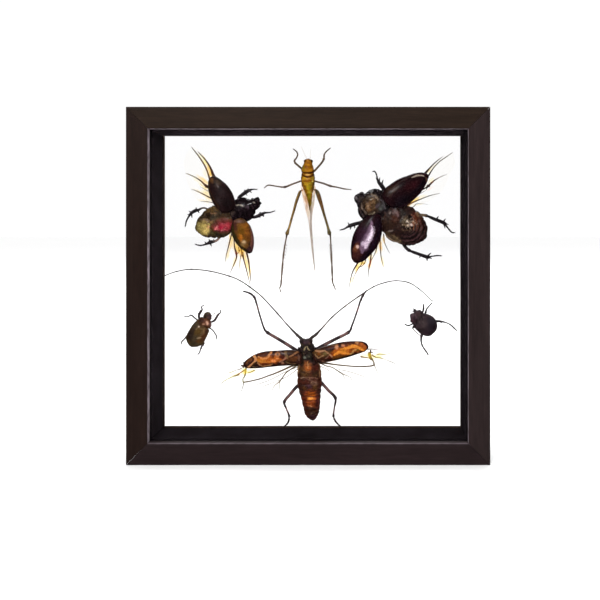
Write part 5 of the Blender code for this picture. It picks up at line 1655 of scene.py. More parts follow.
def brown_legs(insect, leg_skin):
    """Three pairs of legs with their spines; the third hides behind the wing cases."""
    legs = Shape()
    limb(
        legs, 0.0090, 0.0075,
        [
            (378, 197, 1.5), (383.6, 190.4, 1.55), (382.2, 186.6, 1.7), (378.6, 182, 1.25), (377.3, 178, 0.6),
            (376.2, 173.8, 0.55), (374.6, 171.4, 0.55), (372.8, 171.5, 0.45),
        ],
        tarsus=4,
    )
    limb(
        legs, 0.0090, 0.0075,
        [
            (368, 218, 1.4), (361, 222.3, 1.4), (355, 224, 1.5), (350.4, 225.6, 1.5), (347.5, 227, 0.85),
            (344, 229, 0.6), (340.2, 230, 0.45),
        ],
        tarsus=4,
    )
    limb(
        legs, 0.0105, 0.0080,
        [
            (408, 214, 1.5), (419, 215, 1.3), (426, 215.6, 1.1), (435, 219.3, 1.3), (444, 223, 1.4),
            (446.2, 225.8, 0.7), (449.5, 230, 0.6), (452, 232.4, 0.55), (454.5, 232.6, 0.45),
        ],
        tarsus=5, joints=(2,),
    )
    limb(
        legs, 0.0105, 0.0080,
        [
            (401, 238, 1.5), (404.6, 245.8, 1.35), (409.0, 250.2, 1.2), (418, 253.8, 1.25), (427.5, 257, 1.45),
            (431, 256.5, 0.65), (437, 255.6, 0.6), (441.5, 255.8, 0.45),
        ],
        tarsus=5, joints=(2,),
    )
    limb(legs, 0.0120, 0.0115, [(392, 212, 1.5), (400, 202, 1.5), (410, 192, 1.3), (419, 183, 0.8)])
    limb(legs, 0.0120, 0.0115, [(388, 216, 1.5), (376, 226, 1.5), (369, 240, 1.3), (363, 252, 0.8)])
    for start, end, radius in (
        ((381.6, 185.6), (383.0, 180.8), 0.7), ((379.2, 182.6), (379.8, 178.4), 0.6),
        ((377.8, 180.4), (376.2, 178.0), 0.5), ((354.4, 224.6), (354.6, 227.8), 0.6),
        ((350.8, 226), (350.2, 229.0), 0.6), ((349.4, 225), (348.2, 222.8), 0.5), ((436.6, 219.6), (438.2, 216.8), 0.6),
        ((443.2, 222.4), (445.2, 219.4), 0.6), ((444, 224), (444.8, 227.6), 0.6), ((445, 223.4), (448.0, 224.6), 0.5),
        ((420.6, 254.6), (419.6, 257.4), 0.5), ((426.8, 257.4), (427.0, 260.4), 0.7), ((428, 256), (430.6, 253.4), 0.6),
        ((427.6, 257), (431.4, 258.8), 0.5),
    ):
        spur(legs, start, end, 0.0082, radius)
    paint = insect.painted(legs, "legs", leg_skin, insect.mid, (34, 27, 31), (30, 24, 26))
    paint.blot(421, 215.4, 4.5, 2.0, (150, 122, 92), 0.8, turn=5)
    paint.mottle(1000, 0.3)
    paint.keep()


def brown_wings(insect):
    """Folded hindwings and their veins."""
    edges = [
        (
            [(388, 204), (405, 188), (418, 178), (427, 170.6), (440, 158.4), (452.5, 152)],
            [
                (396, 214), (410, 209), (421, 205), (430, 200.4), (439.5, 193.5), (446, 184), (450, 174), (455, 164),
                (453, 152.4),
            ],
        ),
        (
            [(376, 214), (366, 238), (360, 255), (356, 264), (350.3, 276), (348.8, 291)],
            [
                (392, 224), (385, 240), (386.8, 252), (387, 260), (384, 268), (376, 273), (368.4, 280), (358, 287),
                (349.2, 291.2),
            ],
        ),
    ]
    spots = [
        (407, 204.5, 6, 2.2, -22, (255, 196, 70), 0.95), (413, 201.6, 6, 1.8, -24, (255, 206, 92), 0.9),
        (420, 197.6, 6, 1.6, -22, (255, 244, 212), 0.7), (406, 206.5, 4, 2.0, -30, (240, 190, 96), 0.8),
        (416, 199.4, 3, 1.6, -30, (255, 222, 136), 0.9), (431, 180.6, 3.4, 2.4, -40, (255, 244, 206), 0.8),
        (429.6, 170.6, 3.2, 1.0, -52, (255, 234, 176), 0.9), (434.4, 165.6, 5, 0.8, -46, (255, 240, 212), 0.8),
        (417, 204.4, 7, 1.6, -4, (255, 244, 214), 0.6), (430, 188.6, 3, 1.6, -30, (255, 236, 224), 0.6),
        (424, 187, 4, 3, -40, (255, 246, 226), 0.6), (357, 268, 1.6, 6, 22, (250, 196, 84), 0.9),
        (362.4, 263.4, 3.4, 2.4, -20, (255, 214, 90), 0.95), (370.4, 258, 2.2, 5, 8, (255, 226, 150), 0.8),
        (369.6, 266, 1.6, 4, 6, (252, 190, 90), 0.85), (380.6, 246, 1.4, 6, -4, (255, 206, 96), 0.9),
        (382.6, 262, 1.6, 7, -12, (255, 226, 160), 0.7), (384, 240, 1.6, 4, -18, (255, 214, 110), 0.8),
        (352, 280, 1.2, 6, 18, (255, 224, 150), 0.7), (376, 250, 1.2, 5, 14, (255, 228, 164), 0.7),
    ]
    veins = [
        [
            (418, 179, 0.5), (423, 175.4, 0.8), (426.6, 171.6, 0.72), (429.6, 168.2, 0.5), (433, 164.6, 0.42),
            (436, 161.8, 0.34), (439.2, 159.2, 0.26), (442.8, 156.6, 0.12),
        ],
        [
            (424, 179, 0.5), (428.6, 175.4, 0.5), (430.4, 172.6, 0.44), (433, 168.6, 0.36), (436.2, 164.8, 0.32),
            (440.4, 160.9, 0.34), (444, 158.4, 0.32), (448, 155.7, 0.26), (452.6, 152.5, 0.14),
        ],
        [
            (422, 190, 0.36), (426, 187.6, 0.5), (428.4, 185.8, 0.72), (431.2, 183.3, 0.58), (434, 180.7, 0.44),
            (438, 178.2, 0.32), (442, 176.2, 0.24), (446.6, 174.4, 0.1),
        ],
        [(428, 186.4, 0.36), (427.0, 188.2, 0.3), (426.2, 190.0, 0.1)],
        [(417, 195.4, 0.14), (421, 193.1, 0.16), (425.4, 190.6, 0.12)],
        [
            (403, 208.5, 0.55), (409, 204.4, 0.5), (415, 201.4, 0.44), (420, 199.4, 0.36), (424.8, 197.5, 0.34),
            (430, 195.6, 0.28), (436, 194.1, 0.2), (440, 193.5, 0.1),
        ],
        [(408, 209.4, 0.3), (413.6, 206.6, 0.26), (416.4, 204.0, 0.2), (422, 203.8, 0.1), (428, 204.4, 0.05)],
        [
            (361, 255, 0.5), (359.2, 260, 0.5), (356.2, 265.4, 0.5), (353, 271, 0.42), (350.9, 277.6, 0.32),
            (349.7, 284, 0.22), (349.2, 290.6, 0.12),
        ],
        [(363, 257, 0.4), (361.6, 264, 0.36), (357.6, 269.6, 0.26), (354, 277, 0.18), (352, 284, 0.1)],
        [
            (372, 250, 0.4), (370.9, 256.4, 0.4), (370.4, 261.8, 0.62), (369.2, 266.6, 0.42), (368.6, 272.6, 0.28),
            (368.8, 279, 0.12),
        ],
        [(377.6, 243, 0.4), (376.2, 250, 0.3), (373.4, 256.6, 0.2), (370.8, 261, 0.2)],
        [
            (381, 232, 0.45), (380.2, 240, 0.4), (380.5, 248, 0.36), (381, 256, 0.3), (382.4, 262.6, 0.22),
            (383.6, 267.4, 0.1),
        ],
        [(383.6, 234, 0.4), (384.4, 241.6, 0.28), (387.4, 249, 0.18), (390, 253.6, 0.08)],
        [(366, 259.6, 0.3), (364.4, 263.4, 0.3), (361.8, 266.4, 0.24), (358.4, 267.2, 0.16)],
    ]
    nodes = [
        (428.3, 185.9, 1.9, 1.1, -36), (370.4, 261.8, 1.0, 1.6, 0), (431.4, 182.4, 0.8, 0.6, -40),
        (364.2, 263.4, 1.0, 0.8, 0),
    ]
    paint = insect.hindwings(0.0086, edges, spots, veins, (56, 36, 16), nodes)
    paint.blot(409, 204, 7, 3, (176, 112, 36), 0.8, turn=-24)
    paint.blot(364, 264, 4, 3, (170, 118, 44), 0.8)
    paint.blots(
        (428.3, 185.9, 2.2, 1.4, (60, 20, 4), 0.9, -36), (432.4, 182, 2, 1.4, (132, 74, 28), 0.9, -40),
        (440, 177.2, 5, 1.6, (150, 134, 124), 0.9, -26),
        (434, 167, 5, 2.0, (104, 90, 72), 0.7, -46), (446, 156.6, 7, 2.4, (124, 114, 102), 0.9, -34),
        (428, 196.6, 8, 1.6, (126, 122, 102), 0.8, -20),
        wobble=0,
    )
    paint.blot(370, 263, 2, 4, (156, 74, 32), 0.8)
    paint.blot(382, 244, 3, 8, (164, 112, 46), 0.7)
    paint.keep()


def brown():
    """The brown scarab beetle at the top right, its wing cases spread."""
    insect = Insect("brown_scarab", "brown_scarab_beetle", "brown_shell", mid=0.0072)
    body_skin = skin_material("brown_body_skin", rough=0.2, specular=0.14, coat=0.2, grain=(5000, 0.02), variety=0.35)
    case_skin = skin_material("brown_case_skin", rough=0.25, specular=0.07, coat=0.03, grain=(5000, 0.006), variety=0.3)
    leg_skin = skin_material("brown_leg_skin", rough=0.35, specular=0.14, coat=0.04, grain=(8000, 0.02))
    brown_head(insect, body_skin)
    brown_chest(insect, body_skin)
    brown_abdomen(insect, body_skin)
    brown_wing_cases(insect, case_skin)
    brown_legs(insect, leg_skin)
    brown_wings(insect)


# ---- Horned beetle


def horned_head(insect, dark_skin):
    """Head with its two short horns."""
    mid = insect.mid
    head = Shape()
    loft(
        head, mid,
        [(259.4, 202.2, 2.0), (258.2, 202.7, 4.2), (255.5, 203.8, 5.5), (252.5, 205.0, 6.2), (249.5, 206.3, 6.6)],
        back=0.9, belly=0.8,
    )
    spur(head, (256.0, 200.6), (258.1, 197.9), mid - 0.001, 1.8, bend=0.1)
    spur(head, (258.4, 203.2), (260.9, 203.4), mid - 0.001, 1.6, bend=0.1)
    ball(head, 258.2, 200.6, mid - 0.0012, 1.6, 2.5, 1.8, turn=-22)
    ball(head, 252.6, 199.4, mid, 1.7, 1.5, 1.8)
    ball(head, 256.0, 208.2, mid, 1.7, 1.5, 1.8)
    paint = insect.painted(head, "head", dark_skin, insect.back, (30, 20, 24), (28, 20, 20))
    # A painted highlight on the head.
    paint.blot(254.2, 202.6, 1.2, 0.7, (156, 148, 138), 0.85, turn=15, wobble=0.2)
    paint.mottle(900, 0.3)
    paint.keep((0.7, 0.66, 0.66))


def horned_chest(insect, dark_skin):
    """Smooth black pronotum."""
    mid = insect.mid
    chest = Shape()
    loft(
        chest, mid,
        [
            (251.2, 206.8, 8.5), (248.5, 207.8, 11.0), (244.5, 209.3, 12.2), (240.0, 211.0, 12.2), (236.0, 212.5, 11.0),
            (232.5, 213.9, 9.0),
        ],
        back=0.62, belly=0.52,
        form=both(furrows((0.06, 0.95), width=0.03, depth=0.3), lambda s, angle: 0.12 * MM * np.sin(angle * 4 + s * 5)),
    )
    paint = insect.painted(chest, "pronotum", dark_skin, insect.back, (31, 21, 26), (32, 22, 22))
    # The pale purple oval at (248.0, 206.4) is a painted highlight.
    paint.blots(
        (248.0, 206.4, 2.2, 1.8, (98, 86, 98), 0.8), (233.0, 212.6, 1.8, 3.0, (88, 76, 68), 0.7, 15),
        (246.0, 206.2, 4.0, 1.4, (62, 52, 56), 0.7),
    )
    # Painted highlights along the top of the pronotum.
    paint.strokes(
        ([(236.6, 205.5), (239.8, 205.1), (243.0, 205.2)], 0.9, (196, 190, 170), 0.9),
        ([(241.6, 205.7), (244.6, 206.6)], 1.0, (112, 106, 98), 0.7),
        wobble=0.3,
    )
    paint.mottle(700, 0.25)
    paint.keep((0.62, 0.56, 0.56))


def horned_abdomen(insect, body_skin):
    """Wrinkled abdomen with a red field and a yellow end."""
    mid = insect.mid
    belly = Shape()
    wrinkles = lumpy(0.5, 0.04, 0.014, seed=17)
    loft(
        belly, mid,
        [
            (234.5, 213.2, 8.5), (228.0, 215.8, 12.5), (220.5, 220.4, 16.2), (213.3, 223.0, 15.5), (207.2, 225.4, 13.0),
            (202.0, 227.0, 9.8), (198.5, 228.0, 6.2), (196.3, 228.6, 2.6),
        ],
        back=0.42, belly=0.52,
        form=both(furrows((0.22, 0.36, 0.48, 0.58), width=0.014, depth=0.4, swell=0.25), wrinkles),
        sides=110, steps=16,
    )
    paint = insect.painted(belly, "abdomen", body_skin, insect.back, (64, 52, 36), (66, 50, 36))
    paint.blots(
        (213.0, 209.6, 6.4, 4.0, (92, 70, 40), 0.85, -10), (223.0, 213.6, 7.0, 4.0, (50, 36, 20), 0.85),
        (208.0, 215.4, 4.4, 2.6, (36, 24, 12), 0.9, -30), (205.6, 220.8, 5.0, 2.2, (122, 98, 72), 0.85, 10),
        (199.6, 219.4, 2.6, 3.4, (62, 50, 28), 0.8), (226.0, 212.6, 1.6, 2.4, (64, 52, 38), 0.7),
        (202.6, 229.0, 6.4, 6.4, (158, 142, 82), 0.95, 10), (206.2, 229.2, 3.0, 4.4, (196, 172, 104), 0.9),
        (198.0, 227.4, 2.0, 5.0, (132, 122, 76), 0.8), (209.2, 227.0, 1.2, 2.0, (196, 144, 104), 0.85),
        (212.6, 228.4, 2.0, 3.2, (72, 46, 16), 0.9), (211.6, 221.6, 1.6, 1.4, (132, 98, 60), 0.8),
        (209.6, 224.4, 1.2, 1.0, (206, 186, 110), 0.8), (214.6, 233.4, 5.0, 2.4, (56, 50, 28), 0.9),
        (208.0, 237.0, 7.0, 1.7, (46, 28, 26), 0.9, 8), (219.0, 235.4, 4.6, 1.7, (42, 36, 28), 0.85, -12),
        (214.6, 217.0, 2.6, 3.2, (48, 44, 38), 0.8), (203.0, 211.0, 2.4, 1.6, (88, 66, 40), 0.7, -40),
        wobble=1.2,
    )
    paint.blots(
        (226.0, 221.4, 8.6, 2.6, (100, 46, 42), 0.9, 4), (224.0, 227.0, 9.0, 4.6, (130, 37, 50), 0.95),
        (225.6, 225.8, 4.8, 2.2, (156, 53, 67), 0.9), (217.4, 228.6, 2.2, 1.7, (192, 88, 96), 0.85),
        (221.4, 227.4, 2.6, 1.7, (160, 22, 54), 0.9), (229.6, 226.0, 2.8, 2.8, (166, 50, 62), 0.8),
        (222.4, 230.6, 1.3, 0.8, (214, 126, 138), 0.9), (225.0, 230.0, 3.6, 0.9, (170, 62, 78), 0.8),
        (234.6, 223.0, 2.0, 4.0, (84, 32, 36), 0.8),
        wobble=0.9,
    )
    paint.strokes(
        ([(211, 213.6), (216.6, 213.0)], 0.9, (134, 92, 66), 0.8),
        ([(206.6, 209.6), (212, 207.6), (217, 208.6)], 0.9, (132, 106, 62), 0.7),
        ([(202.0, 217.6), (207.0, 217.8), (212.0, 220.0)], 1.0, (34, 24, 14), 0.8),
        ([(214.6, 224.0), (218.6, 222.2), (224.6, 221.4)], 0.8, (66, 30, 28), 0.7),
        ([(213.6, 231.6), (218.6, 231.2), (228, 231.8), (232.6, 229.4)], 1.0, (62, 20, 26), 0.8),
        ([(218.0, 225.6), (216.4, 229.6)], 0.8, (232, 140, 146), 0.7),
        ([(220.6, 216.6), (228.6, 216.2), (235.6, 217.6)], 1.2, (60, 34, 28), 0.7),
        wobble=0.9,
    )
    paint.specks((223, 227), (7, 3.4), (238, 136, 150), 0.75, bare=0.5, seed=55)
    paint.specks((212, 213), (12, 7), (24, 16, 10), 0.75, scale=1000, bare=0.25, seed=57)
    paint.specks((212, 212), (10, 6), (150, 118, 76), 0.55, scale=1300, bare=0.55, seed=59)
    paint.specks((203, 227), (6, 6), (112, 92, 48), 0.5, scale=1300, bare=0.4, seed=61)
    paint.mottle(700, 0.3)
    paint.keep((0.94, 0.89, 0.78))


def horned_wing_cases(insect, case_skin):
    """The two wing cases, a dark one and an amber one."""
    cases = Shape()
    for stations in (
        [
            (228.0, 210.0, 7.5), (226.5, 205.5, 9.6), (223.3, 199.2, 10.9), (220.1, 193.2, 10.6), (216.8, 187.4, 9.3),
            (214.0, 181.9, 6.6), (212.6, 178.8, 4.6), (212.1, 177.6, 3.4),
        ],
        [
            (237.6, 220.6, 5.6), (238.6, 223.2, 7.8), (240.4, 228.4, 10.0), (242.5, 234.0, 10.3), (245.0, 240.0, 9.4),
            (247.4, 245.6, 7.2), (249.2, 249.8, 4.6), (250.4, 252.4, 2.2),
        ],
    ):
        shell(cases, stations, root=0.0030, tip=0.0050, form=rimmed(0.14, 0.11), arc=56)
    paint = insect.painted(cases, "wing_cases", case_skin, ROUND_CASE_FACE, (33, 18, 21), (64, 44, 34))
    paint.blots(
        (211.6, 180.0, 3.0, 2.6, (104, 70, 40), 0.85, 50), (218.4, 182.6, 3.6, 2.0, (80, 66, 54), 0.8, 40),
        (217.4, 186.4, 2.4, 3.0, (60, 42, 40), 0.7), (219.0, 201.6, 3.4, 4.0, (46, 38, 42), 0.8, -20),
        (223.4, 193.6, 2.2, 3.4, (48, 32, 35), 0.7), (228.6, 203.6, 4.0, 5.0, (16, 9, 12), 0.8),
        (242.8, 231.0, 6.8, 12.4, (124, 78, 20), 0.97, -14), (242.4, 230.2, 3.2, 4.4, (104, 68, 6), 0.85),
        (245.6, 225.0, 3.6, 2.6, (142, 86, 26), 0.85), (247.4, 233.6, 2.6, 5.0, (140, 80, 26), 0.85, -14),
        (241.2, 238.2, 2.2, 2.6, (176, 100, 24), 0.9), (248.8, 237.6, 1.2, 2.4, (92, 50, 10), 0.8),
        (245.6, 246.0, 3.4, 2.6, (116, 78, 36), 0.85), (241.6, 220.8, 4.6, 1.7, (92, 76, 56), 0.85, 10),
        (235.6, 225.6, 2.2, 5.6, (64, 30, 28), 0.9, -12), (250.6, 250.6, 2.6, 3.4, (64, 38, 44), 0.9, -20),
        wobble=0.8,
    )
    paint.strokes(
        ([(232.6, 226), (235.0, 236), (240.0, 244.6), (245.6, 250)], [3.0, 3.4, 2.4, 2.0], (50, 44, 14), 0.92),
        ([(247.4, 219.6), (252.0, 228), (254.0, 238), (253.4, 247.6)], [1.8, 3.2, 4.0, 4.6], (88, 50, 50), 0.92),
        ([(250.6, 228), (252.0, 238), (251.0, 246)], 1.2, (118, 74, 62), 0.7),
        ([(209.4, 183), (209.4, 190), (213.6, 199), (219, 207)], 1.5, (56, 36, 22), 0.8),
        wobble=0.5, soft=0.5,
    )
    # The two pale ovals at (244.2, 242.2) and (244.8, 241.4) are a painted highlight on the amber case.
    paint.blots(
        (244.2, 242.2, 2.2, 2.2, (184, 150, 108), 0.85, -10), (244.8, 241.4, 1.2, 1.0, (212, 184, 144), 0.65),
        (242.8, 244.6, 2.2, 1.6, (140, 108, 70), 0.7, -20), (239.4, 221.2, 4.4, 1.6, (116, 82, 74), 0.8),
        wobble=0.5,
    )
    paint.specks((243, 234), (6, 10), (84, 54, 14), 0.5, scale=1200, seed=63)
    paint.specks((220, 192), (10, 14), (58, 34, 31), 0.6, scale=1700, bare=0.45, seed=65)
    paint.mottle(600, 0.25)
    paint.keep((0.8, 0.78, 0.7))


def horned_legs(insect, leg_skin):
    """Three pairs of legs with their spines; the third hides behind the wing cases."""
    legs = Shape()
    limb(
        legs, 0.0090, 0.0075,
        [
            (239, 206, 1.3), (238.8, 198.4, 1.35), (242, 195, 1.4), (247, 191.5, 1.5), (250, 190, 1.0),
            (253.5, 189.3, 0.55), (257, 189.4, 0.45),
        ],
        tarsus=5,
    )
    limb(
        legs, 0.0090, 0.0075,
        [
            (246, 215, 1.4), (252, 217, 1.25), (256.5, 216.6, 1.25), (261, 214.4, 1.45), (265, 212.9, 0.85),
            (270, 212.4, 0.55), (274.6, 211, 0.45),
        ],
        tarsus=5,
    )
    limb(
        legs, 0.0110, 0.0085,
        [
            (213, 214, 1.2), (206, 208.5, 0.75), (202, 208.2, 0.75), (198.3, 210, 1.1), (195.5, 210.6, 1.4),
            (191.5, 213, 1.2), (188.5, 217, 0.7), (186.3, 221.5, 0.6), (185.3, 226.2, 0.45),
        ],
        tarsus=6,
    )
    limb(
        legs, 0.0110, 0.0085,
        [
            (222, 232, 1.2), (218, 239.3, 0.95), (214, 241.5, 1.05), (211.0, 242, 1.5), (207.8, 243.4, 1.1),
            (204.0, 244.8, 0.65), (200, 245.4, 0.6), (195.5, 244.4, 0.45),
        ],
        tarsus=5,
    )
    limb(legs, 0.0120, 0.0115, [(228, 213, 1.3), (222, 203, 1.3), (216, 191, 1.2), (212.5, 182, 0.7)])
    limb(legs, 0.0120, 0.0115, [(234, 217, 1.3), (240, 228, 1.3), (245, 239, 1.2), (248, 247, 0.7)])
    for start, end, radius in (
        ((245.2, 193.0), (244.8, 190.2), 0.85), ((248.4, 191.4), (248.0, 188.9), 0.85),
        ((249.0, 191.0), (251.2, 192.4), 0.5), ((245.2, 193.4), (246.8, 195.2), 0.4),
        ((259.4, 215.2), (259.8, 217.4), 0.8), ((262.6, 214.2), (263.4, 216.4), 0.8),
        ((260.8, 214.4), (260.1, 212.3), 0.8), ((263.2, 213.4), (264.6, 212.0), 0.6),
        ((196.4, 210.6), (196.2, 207.8), 0.6), ((197.4, 210.6), (199.0, 212.6), 0.5),
        ((192.4, 212.6), (189.4, 211.2), 0.6), ((191.2, 213.4), (191.8, 217.2), 0.6),
        ((190.4, 214), (187.8, 214.6), 0.4), ((210.4, 242.0), (209.2, 239.6), 0.6),
        ((210.0, 243.0), (211.2, 245.8), 0.6), ((206.6, 243.8), (205.0, 242.0), 0.5),
        ((213.2, 241.6), (214.0, 239.2), 0.4),
    ):
        spur(legs, start, end, 0.0086, radius)
    paint = insect.painted(legs, "legs", leg_skin, insect.mid, (34, 27, 31), (30, 24, 26))
    paint.blot(217.6, 239.8, 4.2, 1.8, (150, 124, 112), 0.85, turn=-35, wobble=0.7)
    paint.blot(203.4, 208.2, 3.4, 1.4, (108, 92, 82), 0.7, wobble=0.6)
    paint.mottle(1000, 0.3)
    paint.keep()


def horned_wings(insect):
    """Folded hindwings and their veins."""
    edges = [
        (
            [(228, 208), (220, 192), (214.5, 178), (207, 161), (198, 149.2), (191.7, 146.2)],
            [
                (214, 212), (203, 204), (195, 198), (190.6, 190), (187.2, 182), (185.6, 173.7), (184, 163), (187, 153),
                (191.4, 146.6),
            ],
        ),
        (
            [(240, 224), (243, 243), (248.5, 252), (250.4, 265), (252, 278), (251.2, 289)],
            [
                (226, 224), (229, 236), (225.6, 248), (224.5, 262), (227, 270), (231, 275), (238, 279.6), (245, 284),
                (250.8, 289.2),
            ],
        ),
    ]
    spots = [
        (211, 168, 3.0, 11, -26, (255, 206, 104), 0.95), (207.4, 162, 2.0, 12, -28, (255, 222, 150), 0.85),
        (203.6, 180.6, 7, 2.2, 36, (255, 214, 130), 0.85), (210.2, 173.6, 2.3, 4.6, -14, (250, 200, 104), 0.97),
        (208.4, 168.6, 1.8, 4.4, -26, (253, 216, 134), 0.95), (204.6, 161.6, 1.4, 4.6, -32, (255, 240, 166), 0.9),
        (200.8, 156.4, 1.1, 4.0, -38, (255, 244, 196), 0.8), (206, 187.6, 2.6, 2.6, 0, (246, 218, 146), 0.95),
        (202.4, 185.4, 3.4, 1.7, 34, (255, 236, 178), 0.85), (205.0, 173.6, 1.8, 6.4, -16, (255, 246, 218), 0.7),
        (197, 180.0, 5, 1.4, 30, (255, 246, 214), 0.7), (206, 193, 4, 3.6, 30, (255, 232, 170), 0.8),
        (203, 194, 9, 1.5, 26, (255, 232, 176), 0.7), (209, 198, 4, 3, 30, (255, 230, 168), 0.75),
        (205, 201, 7, 1.5, 8, (255, 240, 204), 0.6), (240.6, 250.6, 4.6, 5.2, 0, (255, 204, 76), 0.95),
        (236.6, 246, 3.6, 6, -10, (255, 214, 110), 0.9), (242.6, 256, 2.6, 3, 0, (250, 190, 66), 0.9),
        (245.8, 262, 1.6, 10, -12, (255, 214, 130), 0.85), (249, 268, 1.3, 12, -4, (255, 216, 136), 0.85),
        (231, 242, 2.2, 8, 12, (255, 216, 130), 0.8), (227.6, 254, 1.4, 8, 14, (255, 226, 160), 0.7),
        (234.4, 262, 1.5, 8, 20, (255, 220, 146), 0.75), (239.6, 264, 1.0, 8, 6, (255, 234, 186), 0.6),
        (232, 236, 5, 5, 0, (255, 222, 136), 0.7),
    ]
    veins = [
        [
            (218, 185, 0.55), (215.4, 178.6, 0.9), (213.1, 174.6, 0.92), (211.4, 170, 0.72), (209, 165.1, 0.58),
            (206, 160.6, 0.46), (203, 157.1, 0.38), (199.8, 153.6, 0.28), (197.8, 151.4, 0.12),
        ],
        [
            (210.6, 182, 0.6), (209.2, 177.6, 0.56), (208, 173.6, 0.5), (206.3, 169, 0.48), (203.6, 163.6, 0.5),
            (199.3, 157.1, 0.44), (196, 152.7, 0.38), (193.4, 149.5, 0.3), (191.4, 146.8, 0.12),
        ],
        [
            (213, 190, 0.6), (209.4, 187.6, 0.7), (206.8, 186.3, 0.96), (204.4, 184.3, 0.68), (201, 181.1, 0.48),
            (196, 177.7, 0.4), (191.4, 175.4, 0.32), (187.6, 173.9, 0.26), (185.4, 173.4, 0.08),
        ],
        [(217, 201, 0.4), (210.5, 198.0, 0.42), (203, 194, 0.34), (197, 191.2, 0.24), (191.4, 189.2, 0.12)],
        [(216, 203.6, 0.26), (208, 201.8, 0.22), (200.6, 201.4, 0.1)],
        [(212, 193, 0.2), (206, 190, 0.14), (200, 186.6, 0.08)],
        [
            (246, 244, 0.6), (246.4, 251, 0.6), (248.4, 260, 0.5), (249.6, 269, 0.4), (250.4, 278, 0.28),
            (250.2, 282, 0.14),
        ],
        [(242.6, 252, 0.5), (243.6, 259, 0.42), (246, 268, 0.36), (248.2, 277, 0.28), (250.3, 286.6, 0.14)],
        [
            (234, 240, 0.36), (234.6, 247, 0.4), (236.2, 252.8, 0.66), (236.4, 258, 0.42), (233.8, 264.6, 0.32),
            (231.4, 270, 0.22), (229.8, 273.6, 0.1),
        ],
        [(232, 232, 0.4), (230.6, 238, 0.4), (228.6, 246, 0.34), (226.6, 254, 0.26), (225.2, 261.6, 0.12)],
        [(240, 246, 0.4), (241.6, 251.4, 0.4), (240.8, 256, 0.24), (239.8, 262, 0.16), (239.2, 270, 0.08)],
        [(238.6, 247, 0.3), (239, 252, 0.24), (236.4, 254, 0.2)],
    ]
    nodes = [
        (206.4, 186.4, 1.5, 1.0, 40), (236.2, 253.0, 1.2, 1.4, 0), (242.4, 255.6, 0.9, 1.2, 0),
        (239.4, 250.6, 1.0, 0.7, 0),
    ]
    paint = insect.hindwings(0.0090, edges, spots, veins, (74, 40, 18), nodes)
    paint.blot(236.2, 253, 2, 2.4, (124, 56, 26), 0.9)
    paint.blot(241, 250, 3.4, 5, (190, 130, 36), 0.8)
    paint.blots(
        (206.8, 186.4, 2.6, 1.6, (64, 26, 2), 0.95, 30), (202.6, 182.6, 3.4, 1.4, (118, 80, 26), 0.9, 40),
        (192, 175.6, 7, 2, (150, 136, 100), 0.9, 22), (212.6, 174, 1.8, 5, (74, 30, 4), 0.95, -16),
        (207.6, 172, 1.6, 5, (112, 78, 24), 0.9, -14), (203, 162.6, 1.4, 5, (116, 88, 32), 0.9, -30),
        (196, 153, 2, 6, (136, 120, 88), 0.9, -34), (201, 155, 1.6, 4, (112, 98, 74), 0.9, -42),
        wobble=0,
    )
    paint.blot(246.6, 248, 2, 4, (110, 52, 30), 0.8)
    paint.keep()


def horned():
    """The horned beetle at the top left, its wing cases spread."""
    insect = Insect("horned_beetle", "horned_beetle", "horned_shell", mid=0.0080)
    body_skin = skin_material("horned_body_skin", rough=0.22, specular=0.14, coat=0.12, grain=(5000, 0.02), variety=0.3)
    dark_skin = skin_material(
        "horned_dark_skin",
        rough=0.2, specular=0.12, coat=0.15, grain=(5000, 0.008), pits=(5200, 0.008), variety=0.2,
    )
    case_skin = skin_material(
        "horned_case_skin",
        rough=0.3, specular=0.07, coat=0.03, grain=(5000, 0.008), pits=(4600, 0.01),
    )
    leg_skin = skin_material("horned_leg_skin", rough=0.35, specular=0.14, coat=0.04, grain=(8000, 0.02))
    horned_head(insect, dark_skin)
    horned_chest(insect, dark_skin)
    horned_abdomen(insect, body_skin)
    horned_wing_cases(insect, case_skin)
    horned_legs(insect, leg_skin)
    horned_wings(insect)


# ---- Katydid


